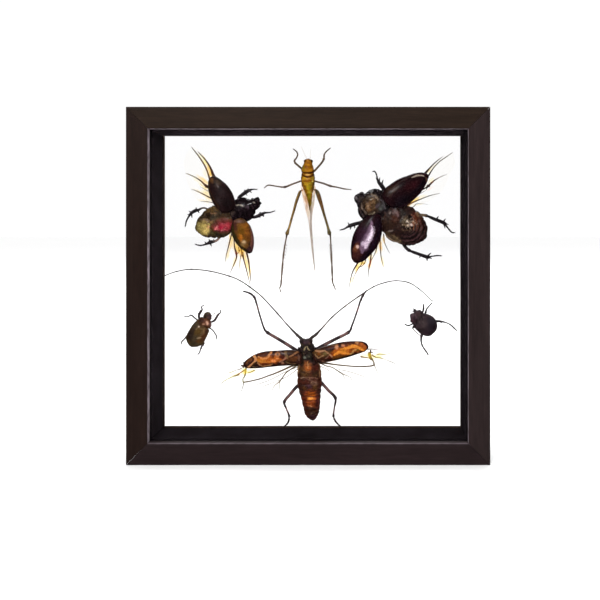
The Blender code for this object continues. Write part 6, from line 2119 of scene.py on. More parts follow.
def katydid_body(insect, skin):
    """Head, pronotum and the long tapering abdomen."""
    mid = insect.mid
    body = Shape()
    loft(
        body, mid,
        [(308.2, 159.4, 3.0), (308.2, 160.2, 4.0), (308.2, 162.0, 4.2), (308.0, 165.0, 4.4), (308.0, 166.6, 4.6)],
        back=0.9, belly=0.8, cap=0.1,
    )
    ball(body, 304.7, 161.0, mid - 0.0008, 1.0, 1.2, 1.3)
    ball(body, 311.8, 161.2, mid - 0.0008, 1.1, 1.5, 1.4)
    ball(body, 308.2, 159.2, mid - 0.0012, 1.6, 0.7, 0.8)
    loft(
        body, mid,
        [(308.1, 164.0, 4.3), (307.9, 167.0, 5.6), (307.7, 169.8, 6.4), (307.7, 171.2, 6.3), (307.7, 172.4, 5.9)],
        back=0.85, belly=0.8, cap=0.15,
        form=both(furrows((0.45, 0.78), width=0.05, depth=0.18), lumpy(0.16, 0.01, 0.006, seed=23)),
    )
    loft(
        body, mid,
        [
            (307.8, 172.2, 5.8), (307.9, 175.6, 6.6), (308.0, 179.6, 6.9), (308.1, 183.4, 6.6), (308.6, 187.4, 5.6),
            (308.8, 191.2, 4.4), (309.1, 195.2, 3.2), (309.5, 199.4, 2.3), (309.8, 203.6, 1.5), (309.8, 207.2, 0.8),
            (309.9, 210.4, 0.4),
        ],
        back=0.8, belly=0.85, cap=0.2, steps=12,
        form=both(
            furrows((0.05, 0.11, 0.21, 0.30, 0.38, 0.47, 0.56), width=0.012, depth=0.2, swell=0.12),
            lumpy(0.14, 0.03, 0.006, seed=25),
        ),
    )
    paint = insect.painted(body, "body", skin, insect.back, (150, 96, 24), (140, 100, 44))
    paint.blots(
        (308.0, 162.0, 4.4, 2.8, (150, 92, 26), 0.9), (307.0, 161.2, 1.4, 1.4, (168, 104, 40), 0.8),
        (303.6, 168.4, 1.8, 3.4, (146, 116, 26), 0.9), (308.0, 164.8, 1.5, 1.1, (192, 126, 26), 0.9),
        (306.0, 166.9, 1.2, 1.1, (132, 64, 4), 0.95), (309.2, 167.6, 2.2, 1.3, (152, 88, 8), 0.85),
        (308.0, 170.2, 4.6, 1.5, (196, 130, 40), 0.9), (311.6, 165.6, 1.0, 2.6, (122, 78, 20), 0.8),
        (304.4, 178.4, 2.0, 1.8, (198, 148, 46), 0.85), (312.4, 178.4, 1.7, 2.2, (158, 128, 48), 0.85),
        (306.4, 184.0, 3.4, 1.8, (186, 142, 32), 0.85), (310.6, 183.6, 2.2, 1.8, (150, 126, 30), 0.8),
        (308.4, 187.6, 2.4, 3.0, (166, 142, 26), 0.9), (310.0, 187.0, 1.3, 2.6, (138, 116, 14), 0.8),
        (310.0, 192.2, 1.8, 1.7, (180, 160, 54), 0.9), (307.4, 195.0, 1.0, 3.4, (104, 84, 2), 0.9, -14),
        (309.2, 196.4, 1.3, 3.0, (142, 126, 22), 0.85), (309.6, 202.0, 1.6, 3.6, (92, 74, 12), 0.9),
        (311.2, 205.0, 0.8, 3.4, (150, 130, 52), 0.85, 10), (311.8, 191.4, 1.0, 1.4, (132, 92, 54), 0.8),
        wobble=0.6,
    )
    paint.strokes(
        ([(301.7, 171.6), (304.0, 172.7), (308, 173.1), (312.0, 172.5), (313.8, 171.0)], 1.3, (74, 38, 6), 0.95),
        ([(310.6, 173.0), (313.0, 172.0)], 1.6, (76, 20, 4), 0.85),
        ([(302.2, 174.4), (304.2, 176.0), (308, 177.2), (312.2, 175.8), (313.8, 174.0)], 1.6, (66, 26, 2), 0.95),
        ([(304.6, 181.0), (308.6, 181.6), (312.2, 181.0)], 1.2, (144, 78, 2), 0.85),
        (
            [(301.8, 166.6), (301.4, 171), (301.5, 177), (301.4, 182), (303.4, 187.2), (305.6, 191.6)],
            1.2, (104, 66, 12), 0.8,
        ),
        ([(303.4, 183.6), (305.2, 188.0), (306.6, 193.0)], 1.5, (122, 74, 12), 0.85),
        (
            [(314.0, 168), (313.7, 173), (314.5, 178), (314.6, 183), (313.6, 187.6), (312.4, 192.6)],
            1.3, (82, 62, 18), 0.85,
        ),
        ([(313.8, 182.6), (312.8, 188.6)], 2.0, (82, 66, 24), 0.8),
        ([(309.4, 205), (309.7, 209.6), (309.9, 213.6)], 1.2, (84, 64, 34), 0.85),
        wobble=0.3,
    )
    # The two pale bands across the pronotum, at rows 174.8 and 179.0, are painted highlights; the others are a pale dot
    # and the eyes.
    paint.blots(
        (308.0, 174.8, 2.4, 0.72, (238, 180, 124), 0.95), (308.0, 179.0, 2.1, 0.8, (206, 150, 92), 0.9),
        (312.6, 181.5, 0.8, 0.7, (226, 202, 122), 0.9), (304.5, 160.8, 1.1, 1.1, (62, 34, 10), 0.9),
        (311.9, 161.2, 1.2, 1.6, (34, 22, 12), 0.95),
        wobble=0.15, soft=0.35,
    )
    paint.mottle(900, 0.2)
    paint.keep((0.82, 0.83, 0.47))


def katydid_wings(insect, leg_skin):
    """Long narrow wings folded along the abdomen, and their veins."""
    wings = Shape()
    for side, y in ((-1, 0.0098), (1, 0.0100)):
        line = [
            (308.1 + side * 5.6, 181.0), (308.0 + side * 7.4, 186.0), (308.5 + side * 7.1, 191.0),
            (308.7 + side * 6.4, 196.0), (309.0 + side * 5.7, 201.0), (309.2 + side * 4.5, 207.0),
            (309.4 + side * 3.2, 213.0), (309.9 + side * 2.1, 219.0), (310.5 + side * 1.5, 226.0),
            (311.4 + side * 1.2, 236.0), (312.4 + side * 1.0, 248.0), (313.6 + side * 0.8, 260.0),
            (314.9 + side * 0.5, 271.0),
        ]
        inner = [
            (308.1, 181.0), (308.3, 186.0), (308.6, 192.0), (308.9, 200.0), (309.3, 208.0), (309.7, 215.0),
            (310.2, 222.0), (310.9, 230.0), (311.9, 242.0), (313.0, 254.0), (313.9, 263.0), (314.9, 271.0),
        ]
        wing(wings, y, line, inner, across=14, wave=0.12)
    paint = Paint(insect.piece(wings, "wings", WING), insect.mid, (240, 226, 218))
    paint.all_sides()
    paint.blots(
        (303.6, 190.6, 3.0, 4.0, (240, 208, 178), 0.9), (314.6, 191.0, 1.8, 5.0, (232, 206, 178), 0.9),
        (304.6, 197.6, 1.8, 4.4, (206, 170, 134), 0.85, -14), (306.2, 200.6, 1.2, 5.4, (186, 134, 90), 0.9, -10),
        (306.6, 207.6, 1.4, 3.6, (192, 162, 136), 0.85), (313.4, 198.0, 1.4, 4.6, (184, 174, 162), 0.9),
        (312.6, 204.4, 1.3, 3.6, (166, 156, 132), 0.9), (308.2, 212.6, 1.4, 4.0, (214, 196, 172), 0.85),
        (311.2, 210.0, 1.2, 4.0, (152, 132, 110), 0.9),
        wobble=0.2,
    )
    paint.strokes(
        (
            [(310.8, 208), (310.8, 216), (310.7, 223), (311.2, 231), (312.0, 240), (313.2, 254), (315, 271)],
            [1.4, 2.0, 1.9, 1.6, 1.8, 1.7, 1.2], (154, 142, 130), 0.9,
        ),
        ([(309.9, 207), (310.0, 212)], 0.8, (120, 94, 60), 0.8),
        wobble=0.1, soft=0.5,
    )
    paint.colour = np.sqrt(paint.colour)
    paint.keep(cover=np.full(len(paint.co), KATYDID_WING_CLOUD))
    rays = Shape()
    for side in (-1, 1):
        for share in (0.98, 0.72, 0.46, 0.2):
            thread(
                rays, 0.0096,
                [
                    (308.4 + side * 6.9 * share, 188, 0.06), (308.9 + side * 5.9 * share, 200, 0.06),
                    (309.4 + side * 3.0 * share, 213, 0.07), (310.6 + side * 1.2 * share, 227, 0.1),
                    (312.1 + side * 0.6 * share, 246, 0.14), (314.9, 271, 0.1),
                ],
                steps=6, sides=6,
            )
    paint = insect.painted(rays, "wing_veins", leg_skin, insect.mid, (200, 172, 150))
    paint.all_sides()
    paint.stroke([(309.8, 213), (311, 228), (315, 271)], 6, (164, 156, 148), 0.8, wobble=0.2)
    paint.keep()


def katydid_legs(insect, leg_skin):
    """Three pairs of legs; the hind shins carry rows of small spines."""
    legs = Shape()
    limb(
        legs, 0.0105, 0.0090,
        [
            (305, 172, 0.9), (301.5, 168.5, 0.85), (297.8, 165.3, 0.8), (295.1, 162.8, 0.8), (294.6, 160.4, 0.75),
            (296.2, 158.3, 0.6), (297.6, 155, 0.55), (296.8, 152, 0.55), (293.4, 149, 0.4),
        ],
        tarsus=6, joints=(3,), claws=0.9,
    )
    limb(
        legs, 0.0105, 0.0090,
        [
            (311, 173, 0.9), (314.5, 170.8, 0.85), (318.5, 166.5, 0.8), (322, 162.3, 0.8), (323.8, 158.8, 0.85),
            (324.3, 154.5, 0.6), (326.4, 151.4, 0.55), (330.3, 148.2, 0.4),
        ],
        tarsus=5, joints=(4,), claws=0.9,
    )
    limb(
        legs, 0.0110, 0.0095,
        [
            (304, 180, 0.9), (299.8, 181.4, 0.7), (292, 184.3, 0.7), (284.8, 187, 0.8), (278, 186.5, 0.55),
            (268.5, 185.2, 0.55), (264.5, 187.8, 0.4),
        ],
        tarsus=5, joints=(3,), claws=0.9,
    )
    limb(
        legs, 0.0110, 0.0095,
        [
            (312, 180, 0.9), (315.5, 181.3, 0.7), (323, 183.3, 0.7), (330.5, 186, 0.8), (337, 187.2, 0.55),
            (344.5, 188.9, 0.55), (351, 189.5, 0.35),
        ],
        tarsus=5, joints=(3,), claws=0.9,
    )
    limb(
        legs, 0.0110, 0.0095,
        [
            (307, 180, 0.9), (305.8, 186.0, 0.5), (304.8, 189.4, 0.42), (301.2, 190.6, 0.6), (299.9, 192, 1.1),
            (298.6, 195.4, 1.18), (296.9, 200, 1.16), (295.4, 205, 1.06), (294.1, 210, 1.0), (292.6, 215, 0.92),
            (291.2, 220, 0.9), (289.9, 225, 0.86), (288.4, 229.6, 0.95), (287.1, 233.6, 1.5), (286.5, 236.6, 0.62),
            (284.3, 249, 0.62), (282.6, 264, 0.68), (281.0, 284, 0.62), (279.8, 288, 0.55), (281.2, 292.8, 0.4),
        ],
        tarsus=15, claws=0.9,
    )
    limb(
        legs, 0.0110, 0.0095,
        [
            (309, 180, 0.9), (310.6, 186.0, 0.5), (312.0, 189.2, 0.42), (315.6, 190.0, 0.9), (317.1, 192, 1.55),
            (318.3, 195, 1.75), (319.9, 200, 1.6), (321.5, 205, 1.34), (322.9, 210, 1.12), (324.3, 215, 1.0),
            (325.8, 220, 0.94), (327.3, 225, 0.95), (328.5, 229.6, 1.1), (329.4, 233.3, 1.6), (330.4, 236.6, 0.62),
            (331.0, 250, 0.62), (332, 268, 0.68), (332.5, 281, 0.62), (334.2, 286.4, 0.55), (335.7, 289.7, 0.4),
        ],
        tarsus=15, claws=0.9,
    )
    spines = 12
    for top, foot in (((285.6, 243.0), (281.2, 282.0)), ((330.6, 243.0), (332.5, 280.0))):
        for i in range(spines):
            t = (i + 0.5) / spines
            column, row = top[0] + (foot[0] - top[0]) * t, top[1] + (foot[1] - top[1]) * t
            for way in (-1, 1):
                spur(legs, (column + way * 0.6, row), (column + way * 1.7, row + 1.3), 0.0098, 0.14, bend=0)
    paint = insect.painted(legs, "legs", leg_skin, insect.mid, (92, 74, 58), (84, 68, 54))
    paint.strokes(
        ([(301, 189), (298, 198), (293, 213), (289.4, 228)], 3.0, (136, 104, 48), 0.9),
        ([(294.4, 211), (290.4, 223), (288.6, 230)], 2.6, (134, 104, 48), 0.8),
        ([(301.4, 190), (300.2, 194), (297.8, 200), (296.2, 206), (294.8, 210)], 1.9, (58, 34, 12), 0.9),
        ([(294.6, 209), (293.0, 215), (291.4, 221)], 1.3, (88, 64, 30), 0.8),
        ([(306, 188.6), (302.0, 190.4)], 1.5, (196, 164, 122), 0.9),
        ([(311, 188.2), (314.6, 189.6)], 1.3, (190, 158, 116), 0.9),
        ([(316.4, 191), (317.6, 194)], 4.4, (84, 70, 40), 0.9),
        ([(318.4, 196), (320.8, 203), (323.0, 211)], 4.4, (94, 62, 26), 0.9),
        ([(323, 211), (326, 221), (327.4, 226)], 3.4, (86, 68, 34), 0.9),
        ([(327.4, 226), (328.8, 231)], 3.4, (108, 94, 56), 0.9),
        ([(288.0, 231.4), (287.0, 234.4)], 4, (112, 88, 44), 0.85),
        ([(329.0, 231.8), (329.7, 234.6)], 4, (84, 74, 44), 0.85),
        ([(286.8, 235.4), (286.4, 237.0)], 3, (58, 40, 30), 0.85),
        ([(330.0, 235.6), (330.4, 237.2)], 3, (58, 40, 30), 0.85),
        ([(304, 180), (286, 186.6)], 3, (108, 86, 70), 0.7),
        ([(284.8, 187), (287, 186)], 3, (64, 48, 42), 0.8),
        ([(331.4, 186.4), (329, 185.6)], 3, (64, 48, 42), 0.8),
        ([(312, 180), (330, 186)], 3, (92, 76, 68), 0.7),
        ([(286.2, 240), (282.4, 264), (281, 284)], 3, (104, 84, 70), 0.7),
        ([(330.4, 240), (331.8, 264), (332.4, 281)], 3, (96, 80, 68), 0.7),
        wobble=0.3, soft=0.5,
    )
    paint.mottle(900, 0.2)
    paint.keep()


def katydid_feelers(insect, leg_skin):
    """The stumps of the two feelers."""
    feelers = Shape()
    thread(
        feelers, (0.0075, 0.0085), [(306.4, 158.8, 0.16), (305.2, 155.6, 0.12), (303.2, 151, 0.09), (301, 146.4, 0.06)],
        steps=10, sides=6,
    )
    thread(
        feelers, (0.0075, 0.0085), [(310.0, 158.8, 0.16), (310.3, 156, 0.12), (310.4, 152.4, 0.09), (310.8, 149, 0.05)],
        steps=10, sides=6,
    )
    paint = insect.painted(feelers, "feelers", leg_skin, insect.mid, (196, 176, 150))
    paint.keep()


def katydid():
    """The katydid at the top, between the two scarabs."""
    insect = Insect("katydid", "katydid", "katydid_skin", mid=0.0085)
    skin = skin_material(
        "katydid_body_skin",
        rough=0.3, specular=0.07, coat=0.02, grain=(8000, 0.015), pits=(6500, 0.01), variety=0.18,
    )
    leg_skin = skin_material("katydid_leg_skin", rough=0.4, specular=0.12)
    katydid_body(insect, skin)
    katydid_wings(insect, leg_skin)
    katydid_legs(insect, leg_skin)
    katydid_feelers(insect, leg_skin)


# ---- Olive scarab beetle


def olive_body(insect, skin):
    """Head, pronotum and the grooved wing cases."""
    mid = insect.mid
    body = Shape()
    loft(
        body, mid,
        [(208.4, 312.7, 2.2), (208.1, 313.8, 3.5), (207.6, 315.8, 4.2), (207.1, 317.8, 4.0), (206.8, 319.4, 3.4)],
        back=0.7, belly=0.6,
    )
    ball(body, 204.4, 316.6, mid - 0.0006, 1.2, 1.6, 1.3, turn=20)
    ball(body, 210.6, 318.4, mid - 0.0006, 1.1, 1.7, 1.3, turn=-10)
    ball(body, 201.6, 318.4, mid - 0.0004, 1.9, 1.6, 1.3, turn=20)
    loft(
        body, mid,
        [(206.9, 319.0, 4.2), (206.2, 320.6, 5.8), (205.2, 322.8, 7.0), (204.3, 324.8, 6.9), (203.5, 326.4, 5.4)],
        back=0.6, belly=0.5, cap=0.15,
        form=both(furrows((0.08, 0.93), width=0.03, depth=0.12), lumpy(0.12, 0.01, 0.007, seed=21)),
    )
    loft(
        body, mid,
        [
            (203.4, 325.0, 7.7), (202.6, 325.8, 8.3), (200.5, 329.1, 9.05), (198.5, 332.6, 9.35), (196.6, 336.1, 9.5),
            (194.9, 339.2, 9.4), (193.8, 341.2, 8.7), (192.9, 343.1, 7.2), (192.1, 344.8, 5.1), (191.6, 346.0, 3.0),
            (191.3, 346.8, 1.0),
        ],
        back=0.62, belly=0.54, cap=0.12, form=grooves(22, 0.05), sides=132, steps=14,
    )
    paint = insect.painted(body, "body", skin, insect.back, (72, 56, 32), (56, 42, 28))
    paint.blots(
        (206.4, 316.4, 3.4, 3.0, (48, 34, 28), 0.9), (209.8, 317.0, 2.0, 3.4, (64, 44, 50), 0.85),
        (206.2, 319.6, 1.8, 1.2, (92, 56, 24), 0.8), (205.4, 322.6, 6.6, 3.6, (88, 44, 24), 0.95, 25),
        (201.0, 320.4, 2.4, 2.8, (54, 32, 24), 0.85), (210.4, 325.0, 1.6, 3.2, (86, 64, 64), 0.85, 10),
        (206.6, 326.4, 1.6, 1.1, (62, 34, 12), 0.85), (201.4, 323.6, 2.0, 1.2, (58, 32, 8), 0.85),
        (195.4, 325.2, 2.6, 2.6, (58, 48, 34), 0.85), (191.6, 334.6, 3.4, 7.0, (38, 26, 22), 0.92, 28),
        (198.6, 331.6, 3.4, 4.4, (78, 56, 18), 0.9, 28), (195.4, 338.4, 2.8, 3.4, (60, 50, 34), 0.85, 20),
        (204.4, 331.4, 2.4, 3.4, (106, 80, 52), 0.85, 25), (203.6, 337.6, 2.2, 4.4, (74, 40, 20), 0.9, 20),
        (198.4, 341.0, 2.8, 1.5, (80, 50, 18), 0.85), (194.6, 343.8, 4.4, 1.8, (58, 50, 36), 0.85),
        (206.6, 331.0, 1.4, 3.4, (56, 30, 26), 0.85, 25), (203.0, 328.4, 3.6, 0.9, (108, 84, 54), 0.8, 12),
        wobble=0.8,
    )
    # Painted highlights: the pale ovals on the pronotum at (203.8, 323.9) and (207.2, 322.8), the pale dot at (199.3,
    # 326.3) and the oval at (199.4, 337.6).
    paint.blots(
        (203.8, 323.9, 1.5, 0.9, (160, 116, 90), 0.9), (207.2, 322.8, 1.1, 2.1, (196, 152, 128), 0.92, -18),
        (207.8, 317.6, 1.1, 0.7, (108, 78, 72), 0.7, 20), (199.3, 326.3, 0.9, 0.8, (238, 210, 184), 0.95),
        (199.4, 337.6, 2.0, 0.9, (146, 120, 92), 0.85, -12),
        wobble=0.3, soft=0.45,
    )
    paint.strokes(
        ([(196.8, 328.9), (198.6, 327.0)], 0.9, (120, 98, 70), 0.8),
        ([(200.6, 336.6), (201.6, 335.2)], 0.8, (118, 88, 56), 0.7),
        wobble=0.2,
    )
    paint.mottle(1100, 0.2)
    paint.keep((1.07, 1.03, 1.0))


def olive_legs(insect, leg_skin):
    """Three pairs of legs and one feeler."""
    legs = Shape()
    limb(
        legs, 0.0115, 0.0105,
        [
            (203, 322, 0.9), (199.4, 318.6, 0.9), (199.0, 315.2, 1.0), (200.3, 312.3, 1.05), (201.6, 310.4, 0.8),
            (202.4, 309.1, 0.5), (201.3, 307.7, 0.5), (202.3, 306.1, 0.5), (204.1, 305.2, 0.4),
        ],
        tarsus=5, claws=0.7,
    )
    limb(
        legs, 0.0115, 0.0105,
        [
            (207, 323, 0.9), (211.4, 321.9, 0.8), (214.6, 320.3, 0.95), (216.7, 317, 0.95), (218.2, 314.5, 0.8),
            (220.4, 312.6, 0.55), (220.6, 309.8, 0.45),
        ],
        tarsus=4, claws=0.7,
    )
    limb(
        legs, 0.0120, 0.0110,
        [
            (202, 324, 0.8), (198.4, 320.8, 0.62), (195.2, 318.3, 0.66), (191.2, 315.2, 0.62), (188.5, 316.4, 0.46),
            (184.2, 316.4, 0.4),
        ],
        tarsus=3, claws=0.6,
    )
    limb(
        legs, 0.0120, 0.0110,
        [
            (205, 327, 0.8), (209.5, 328, 0.6), (213, 330.5, 0.54), (215, 333.5, 0.54), (216.6, 336.2, 0.54),
            (216.6, 339.4, 0.4),
        ],
        tarsus=3, claws=0.6,
    )
    limb(
        legs, 0.0120, 0.0110,
        [(191, 334, 0.8), (186.3, 336.8, 0.7), (184.3, 339.2, 0.6), (182.0, 341.4, 0.6), (181.3, 344.3, 0.4)],
        tarsus=3, claws=0.6,
    )
    limb(
        legs, 0.0120, 0.0110,
        [
            (200, 340, 0.9), (203.8, 342.8, 0.8), (202.6, 345, 0.8), (201.1, 347.6, 0.7), (200.3, 350.2, 0.52),
            (199.5, 352.5, 0.55), (197.7, 354.6, 0.42),
        ],
        tarsus=4, claws=0.6,
    )
    for start, end in (
        ((199.4, 313.8), (197.8, 313.0)), ((200.8, 310.8), (199.4, 309.6)), ((217.2, 316), (218.8, 315.4)),
        ((218.2, 314), (219.8, 313.4)), ((202.6, 344.4), (203.8, 346.2)), ((201.2, 347.4), (202.4, 349.2)),
    ):
        spur(legs, start, end, 0.0110, 0.35)
    thread(
        legs, 0.0100,
        [(209.6, 315.6, 0.24), (211.6, 315.6, 0.2), (213.4, 315.0, 0.22), (214.3, 313.6, 0.42), (214.5, 312.4, 0.3)],
        steps=6,
    )
    paint = insect.painted(legs, "legs", leg_skin, insect.mid, (64, 52, 54), (56, 46, 46))
    paint.blot(199.4, 315, 3, 6, (50, 34, 34), 0.8)
    paint.blot(216, 317, 4, 5, (58, 40, 42), 0.8)
    paint.mottle(1200, 0.25)
    paint.keep()


def olive():
    """The small olive scarab beetle at the lower left, its wing cases closed."""
    insect = Insect("olive_scarab", "olive_scarab_beetle", "olive_shell", mid=0.0100)
    skin = skin_material(
        "olive_body_skin",
        rough=0.3, specular=0.16, coat=0.1, grain=(8000, 0.01), pits=(7000, 0.012), variety=0.2,
    )
    leg_skin = skin_material("olive_leg_skin", rough=0.4, specular=0.28, grain=(9000, 0.015))
    olive_body(insect, skin)
    olive_legs(insect, leg_skin)


# ---- Dung beetle


def dung_body(insect, skin):
    """Scalloped head, pronotum and the grooved wing cases."""
    mid = insect.mid
    body = Shape()
    loft(
        body, mid, [(410.4, 317.8, 3.2), (411.8, 317.6, 4.4), (413.6, 317.8, 5.4), (416.0, 318.2, 5.8)],
        back=0.5, belly=0.5, cap=0.1, form=lambda s, angle: 0.12 * MM * np.sin(angle * 3),
    )
    for column, row, wide, high in (
        (411.6, 315.4, 1.9, 1.7), (411.8, 320.8, 1.8, 1.9), (413.4, 323.0, 1.6, 1.4), (419.4, 311.6, 2.2, 1.9),
        (413.6, 326.6, 1.3, 1.5),
    ):
        ball(body, column, row, mid, wide, high, 1.5)
    loft(
        body, mid,
        [(413.4, 316.4, 5.2), (414.8, 316.8, 7.0), (416.8, 317.8, 7.9), (419.0, 318.9, 7.9), (421.0, 319.9, 7.0)],
        back=0.6, belly=0.5, cap=0.15,
        form=both(furrows((0.1, 0.93), width=0.03, depth=0.15), lumpy(0.22, 0.01, 0.008, seed=27)),
    )
    loft(
        body, mid,
        [
            (418.5, 320.3, 8.4), (421.1, 321.9, 9.3), (423.8, 323.3, 10.3), (426.4, 324.9, 10.6), (428.8, 326.4, 10.4),
            (431.2, 327.6, 9.6), (433.2, 328.5, 8.0), (434.6, 329.1, 6.1), (435.6, 329.6, 3.9), (436.2, 329.9, 1.5),
        ],
        back=0.6, belly=0.5, cap=0.15, form=both(grooves(18, 0.09), lumpy(0.1, 0.016, 0.01, seed=29)),
        sides=132, steps=14,
    )
    paint = insect.painted(body, "body", skin, insect.back, (52, 38, 42), (36, 26, 24))
    paint.blots(
        (413.8, 317.8, 2.6, 3.8, (56, 36, 44), 0.85), (418.6, 321.8, 1.7, 1.5, (86, 74, 72), 0.85),
        (413.0, 315.4, 1.7, 1.3, (84, 66, 70), 0.7), (419.6, 314.6, 2.8, 2.4, (58, 44, 42), 0.7),
        (420.6, 317.4, 1.7, 1.8, (30, 18, 16), 0.8), (415.8, 320.6, 2.0, 1.7, (38, 18, 22), 0.8),
        (423.6, 323.0, 2.6, 3.4, (66, 54, 54), 0.8), (428.4, 318.4, 1.3, 1.3, (38, 18, 24), 0.8),
        (431.6, 327.0, 4.0, 4.4, (28, 20, 30), 0.85), (434.6, 321.4, 2.4, 3.0, (34, 32, 38), 0.7),
        (426.0, 331.6, 3.4, 2.4, (38, 24, 32), 0.7), (420.4, 329.4, 3.0, 2.0, (34, 24, 24), 0.7),
        (412.4, 321.4, 1.8, 2.4, (66, 36, 44), 0.8), (417.6, 313.8, 1.8, 1.6, (62, 38, 40), 0.75),
        (430.4, 320.6, 3.0, 3.4, (36, 33, 42), 0.7),
        wobble=0.8,
    )
    paint.stroke(
        [(422.8, 312.6), (420.9, 317.4), (418.4, 321.6), (414.4, 325.2)], 1.1, (24, 14, 16), 0.85,
        wobble=0.4, soft=0.4,
    )
    paint.specks((422, 320), (12, 9), (24, 14, 16), 0.7, bare=0.25, seed=67)
    paint.specks((420, 318), (12, 9), (98, 82, 82), 0.5, scale=1700, bare=0.5, seed=69)
    paint.mottle(1100, 0.25)
    paint.keep((1.2, 1.17, 1.2))


def dung_legs(insect, leg_skin):
    """Three pairs of legs and the toothed front shins."""
    legs = Shape()
    limb(legs, 0.0110, 0.0105, [(417, 315, 1.2), (415.8, 312.4, 1.2), (414.4, 309.9, 1.2)], claws=0)
    limb(
        legs, 0.0115, 0.0105, [(419, 316, 0.8), (422.5, 312, 0.8), (423.5, 308.6, 0.8), (423.5, 304.2, 0.6)],
        tarsus=1, claws=0.6,
    )
    limb(
        legs, 0.0115, 0.0105,
        [(423, 318, 0.9), (425.3, 313.3, 0.85), (426.5, 309.5, 0.62), (429.0, 306.1, 0.55), (432.3, 302.8, 0.45)],
        tarsus=2, claws=0.6,
    )
    limb(
        legs, 0.0115, 0.0105,
        [
            (431, 322, 1.1), (437, 321.2, 1.05), (441.4, 321.5, 0.85), (446, 322.6, 0.5), (450.2, 324.6, 0.55),
            (454, 328.0, 0.62), (456.9, 330.8, 0.45),
        ],
        tarsus=3, claws=0.6,
    )
    limb(
        legs, 0.0115, 0.0105, [(416, 321, 0.8), (411.8, 324.2, 0.6), (408.3, 325.5, 0.62), (404.7, 324.2, 0.5)],
        tarsus=1, claws=0.6,
    )
    limb(
        legs, 0.0115, 0.0105,
        [(418, 325, 1.0), (413.4, 327.4, 0.8), (413.2, 329.4, 0.42), (416.8, 332.8, 0.36), (420.4, 335.8, 0.32)],
        tarsus=1, claws=0.6,
    )
    limb(
        legs, 0.0115, 0.0105,
        [
            (424, 329, 1.2), (421.6, 335.6, 1.1), (421.2, 340, 0.66), (421.8, 344.4, 0.62), (424.2, 348.8, 0.6),
            (426.4, 351.8, 0.62), (428.4, 355.2, 0.44),
        ],
        tarsus=2, claws=0.6,
    )
    for start, end in (
        ((415.2, 311.6), (412.4, 311.4)), ((415.6, 310.6), (413.4, 308.4)), ((414.6, 313.4), (412.2, 313.8)),
        ((439.6, 321), (441.6, 323.4)), ((421.8, 337), (420.0, 340.0)), ((425.4, 312.6), (426.8, 312.4)),
    ):
        spur(legs, start, end, 0.0107, 0.45)
    paint = insect.painted(legs, "legs", leg_skin, insect.mid, (58, 50, 52), (50, 44, 44))
    paint.blot(420, 322, 14, 12, (36, 27, 30), 0.9)
    paint.stroke([(413.8, 330.6), (417, 333), (419.6, 335)], 2.0, (128, 110, 108), 0.85, wobble=0.3)
    paint.mottle(1200, 0.25)
    paint.keep()


def dung():
    """The small dung beetle at the lower right, its wing cases closed."""
    insect = Insect("dung_beetle", "dung_beetle", "dung_shell", mid=0.0098)
    skin = skin_material("dung_body_skin", rough=0.45, specular=0.2, grain=(8000, 0.02), pits=(6500, 0.03))
    leg_skin = skin_material("dung_leg_skin", rough=0.5, specular=0.25)
    dung_body(insect, skin)
    dung_legs(insect, leg_skin)


harlequin()
brown()
horned()
katydid()
olive()
dung()

# ---- Stage, lamps and camera

# The surroundings' strength as the camera sees them, as light, and as the panes mirror them, low to high.
WORLD_SEEN = 1.035
WORLD_LIGHT = 1.05
WORLD_MIRRORED = (0.01, 0.05)
# Heights of a direction between which what the panes mirror brightens.
MIRRORED_HEIGHTS = (-0.3, 1.0)
# What the lamps aim at: the middle of the display, and the floor behind it.
DISPLAY_AIM = (0.0, 0.0, 0.15)
BACK_AIM = (0.0, 0.6, 0.0)


def build_floor():
    """A pale floor that runs on past the picture."""
    work = bmesh.new()
    bmesh.ops.create_grid(work, x_segments=8, y_segments=8, size=8.0)
    mesh = bpy.data.meshes.new("floor")
    work.to_mesh(mesh)
    work.free()
    floor = bpy.data.objects.new("floor", mesh)
    bpy.context.scene.collection.objects.link(floor)
    material, tree, output = new_material("pale_floor")
    cloud = clouds(tree, node(tree, "TexCoord").outputs["Object"], 3.0, 2.0)
    links = {"Roughness": mapped(tree, cloud, 0.85, 0.95)}
    surface(tree, output, links, Base_Color=(0.97, 0.97, 0.97, 1), Specular_IOR_Level=0.1)
    mesh.materials.append(material)
    floor.visible_glossy = False


def area(name, place, aim, size, power):
    """A soft rectangular lamp."""
    data = bpy.data.lights.new(name, "AREA")
    data.shape = "RECTANGLE"
    data.size, data.size_y = size
    data.energy = power
    lamp = bpy.data.objects.new(name, data)
    lamp.location = place
    lamp.rotation_euler = (Vector(aim) - Vector(place)).to_track_quat("-Z", "Y").to_euler()
    bpy.context.scene.collection.objects.link(lamp)
    return lamp


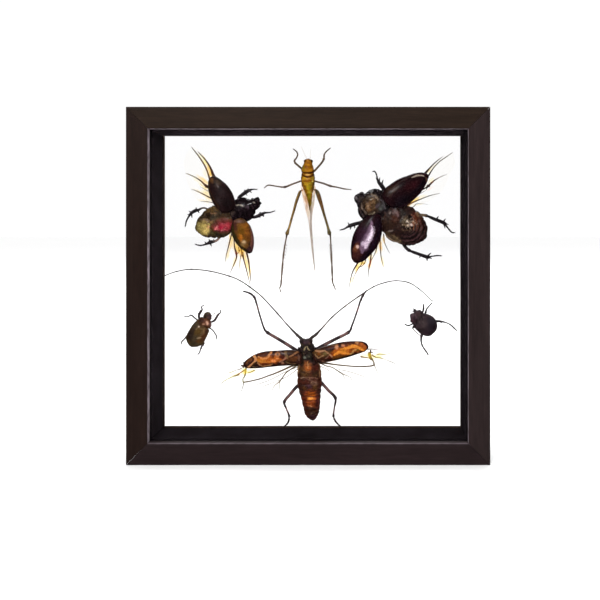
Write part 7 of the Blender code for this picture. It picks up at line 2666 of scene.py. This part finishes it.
def build_world():
    """White all round; in reflections it is dim, and darker below, so that the panes stay clear."""
    world = bpy.data.worlds.new("studio")
    bpy.context.scene.world = world
    world.use_nodes = True
    tree = world.node_tree
    tree.nodes.clear()
    output = tree.nodes.new("ShaderNodeOutputWorld")
    rays = node(tree, "LightPath")
    where = node(tree, "SeparateXYZ", {"Vector": node(tree, "TexCoord").outputs["Generated"]})
    mirrored = mapped(tree, where.outputs["Z"], *WORLD_MIRRORED, MIRRORED_HEIGHTS)
    light = node(tree, "Mix", {"Factor": rays.outputs["Is Glossy Ray"], "B": mirrored}, data_type="FLOAT")
    light.inputs["A"].default_value = WORLD_LIGHT
    light = light.outputs["Result"]
    seen_light = node(tree, "Mix", {"Factor": rays.outputs["Is Camera Ray"], "A": light}, data_type="FLOAT")
    seen_light.inputs["B"].default_value = WORLD_SEEN
    back = node(tree, "Background", {"Strength": seen_light.outputs["Result"]}, Color=(1.0, 1.0, 1.0, 1))
    tree.links.new(back.outputs["Background"], output.inputs["Surface"])


def build_camera():
    """The photograph's camera: level, looking along +Y from the eye point."""
    data = bpy.data.cameras.new("camera")
    data.sensor_width = 36.0
    data.lens = FOCAL_PIXELS / IMAGE_SIZE * data.sensor_width
    data.shift_x = (IMAGE_SIZE / 2 - EYE_COLUMN) / IMAGE_SIZE
    data.shift_y = (EYE_ROW - IMAGE_SIZE / 2) / IMAGE_SIZE
    data.clip_start, data.clip_end = 0.01, 60.0
    camera = bpy.data.objects.new("camera", data)
    camera.location = EYE.tolist()
    camera.rotation_euler = (math.pi / 2, 0.0, 0.0)
    bpy.context.scene.collection.objects.link(camera)
    bpy.context.scene.camera = camera


build_floor()
build_world()
area("key", (-0.27, -1.0, 0.85), DISPLAY_AIM, size=(0.14, 0.14), power=6.0)
# The panes would mirror the side lamps as white bars.
for name, place in (("left", (-1.1, -0.7, 0.35)), ("right", (1.1, -0.7, 0.45))):
    area(name, place, DISPLAY_AIM, size=(0.14, 0.30), power=2.0).visible_glossy = False
area("back_top", (0.0, 1.4, 1.8), BACK_AIM, size=(2.0, 1.0), power=40.0)
build_camera()

scene = bpy.context.scene
scene.view_settings.view_transform = "Standard"
scene.view_settings.look = "None"
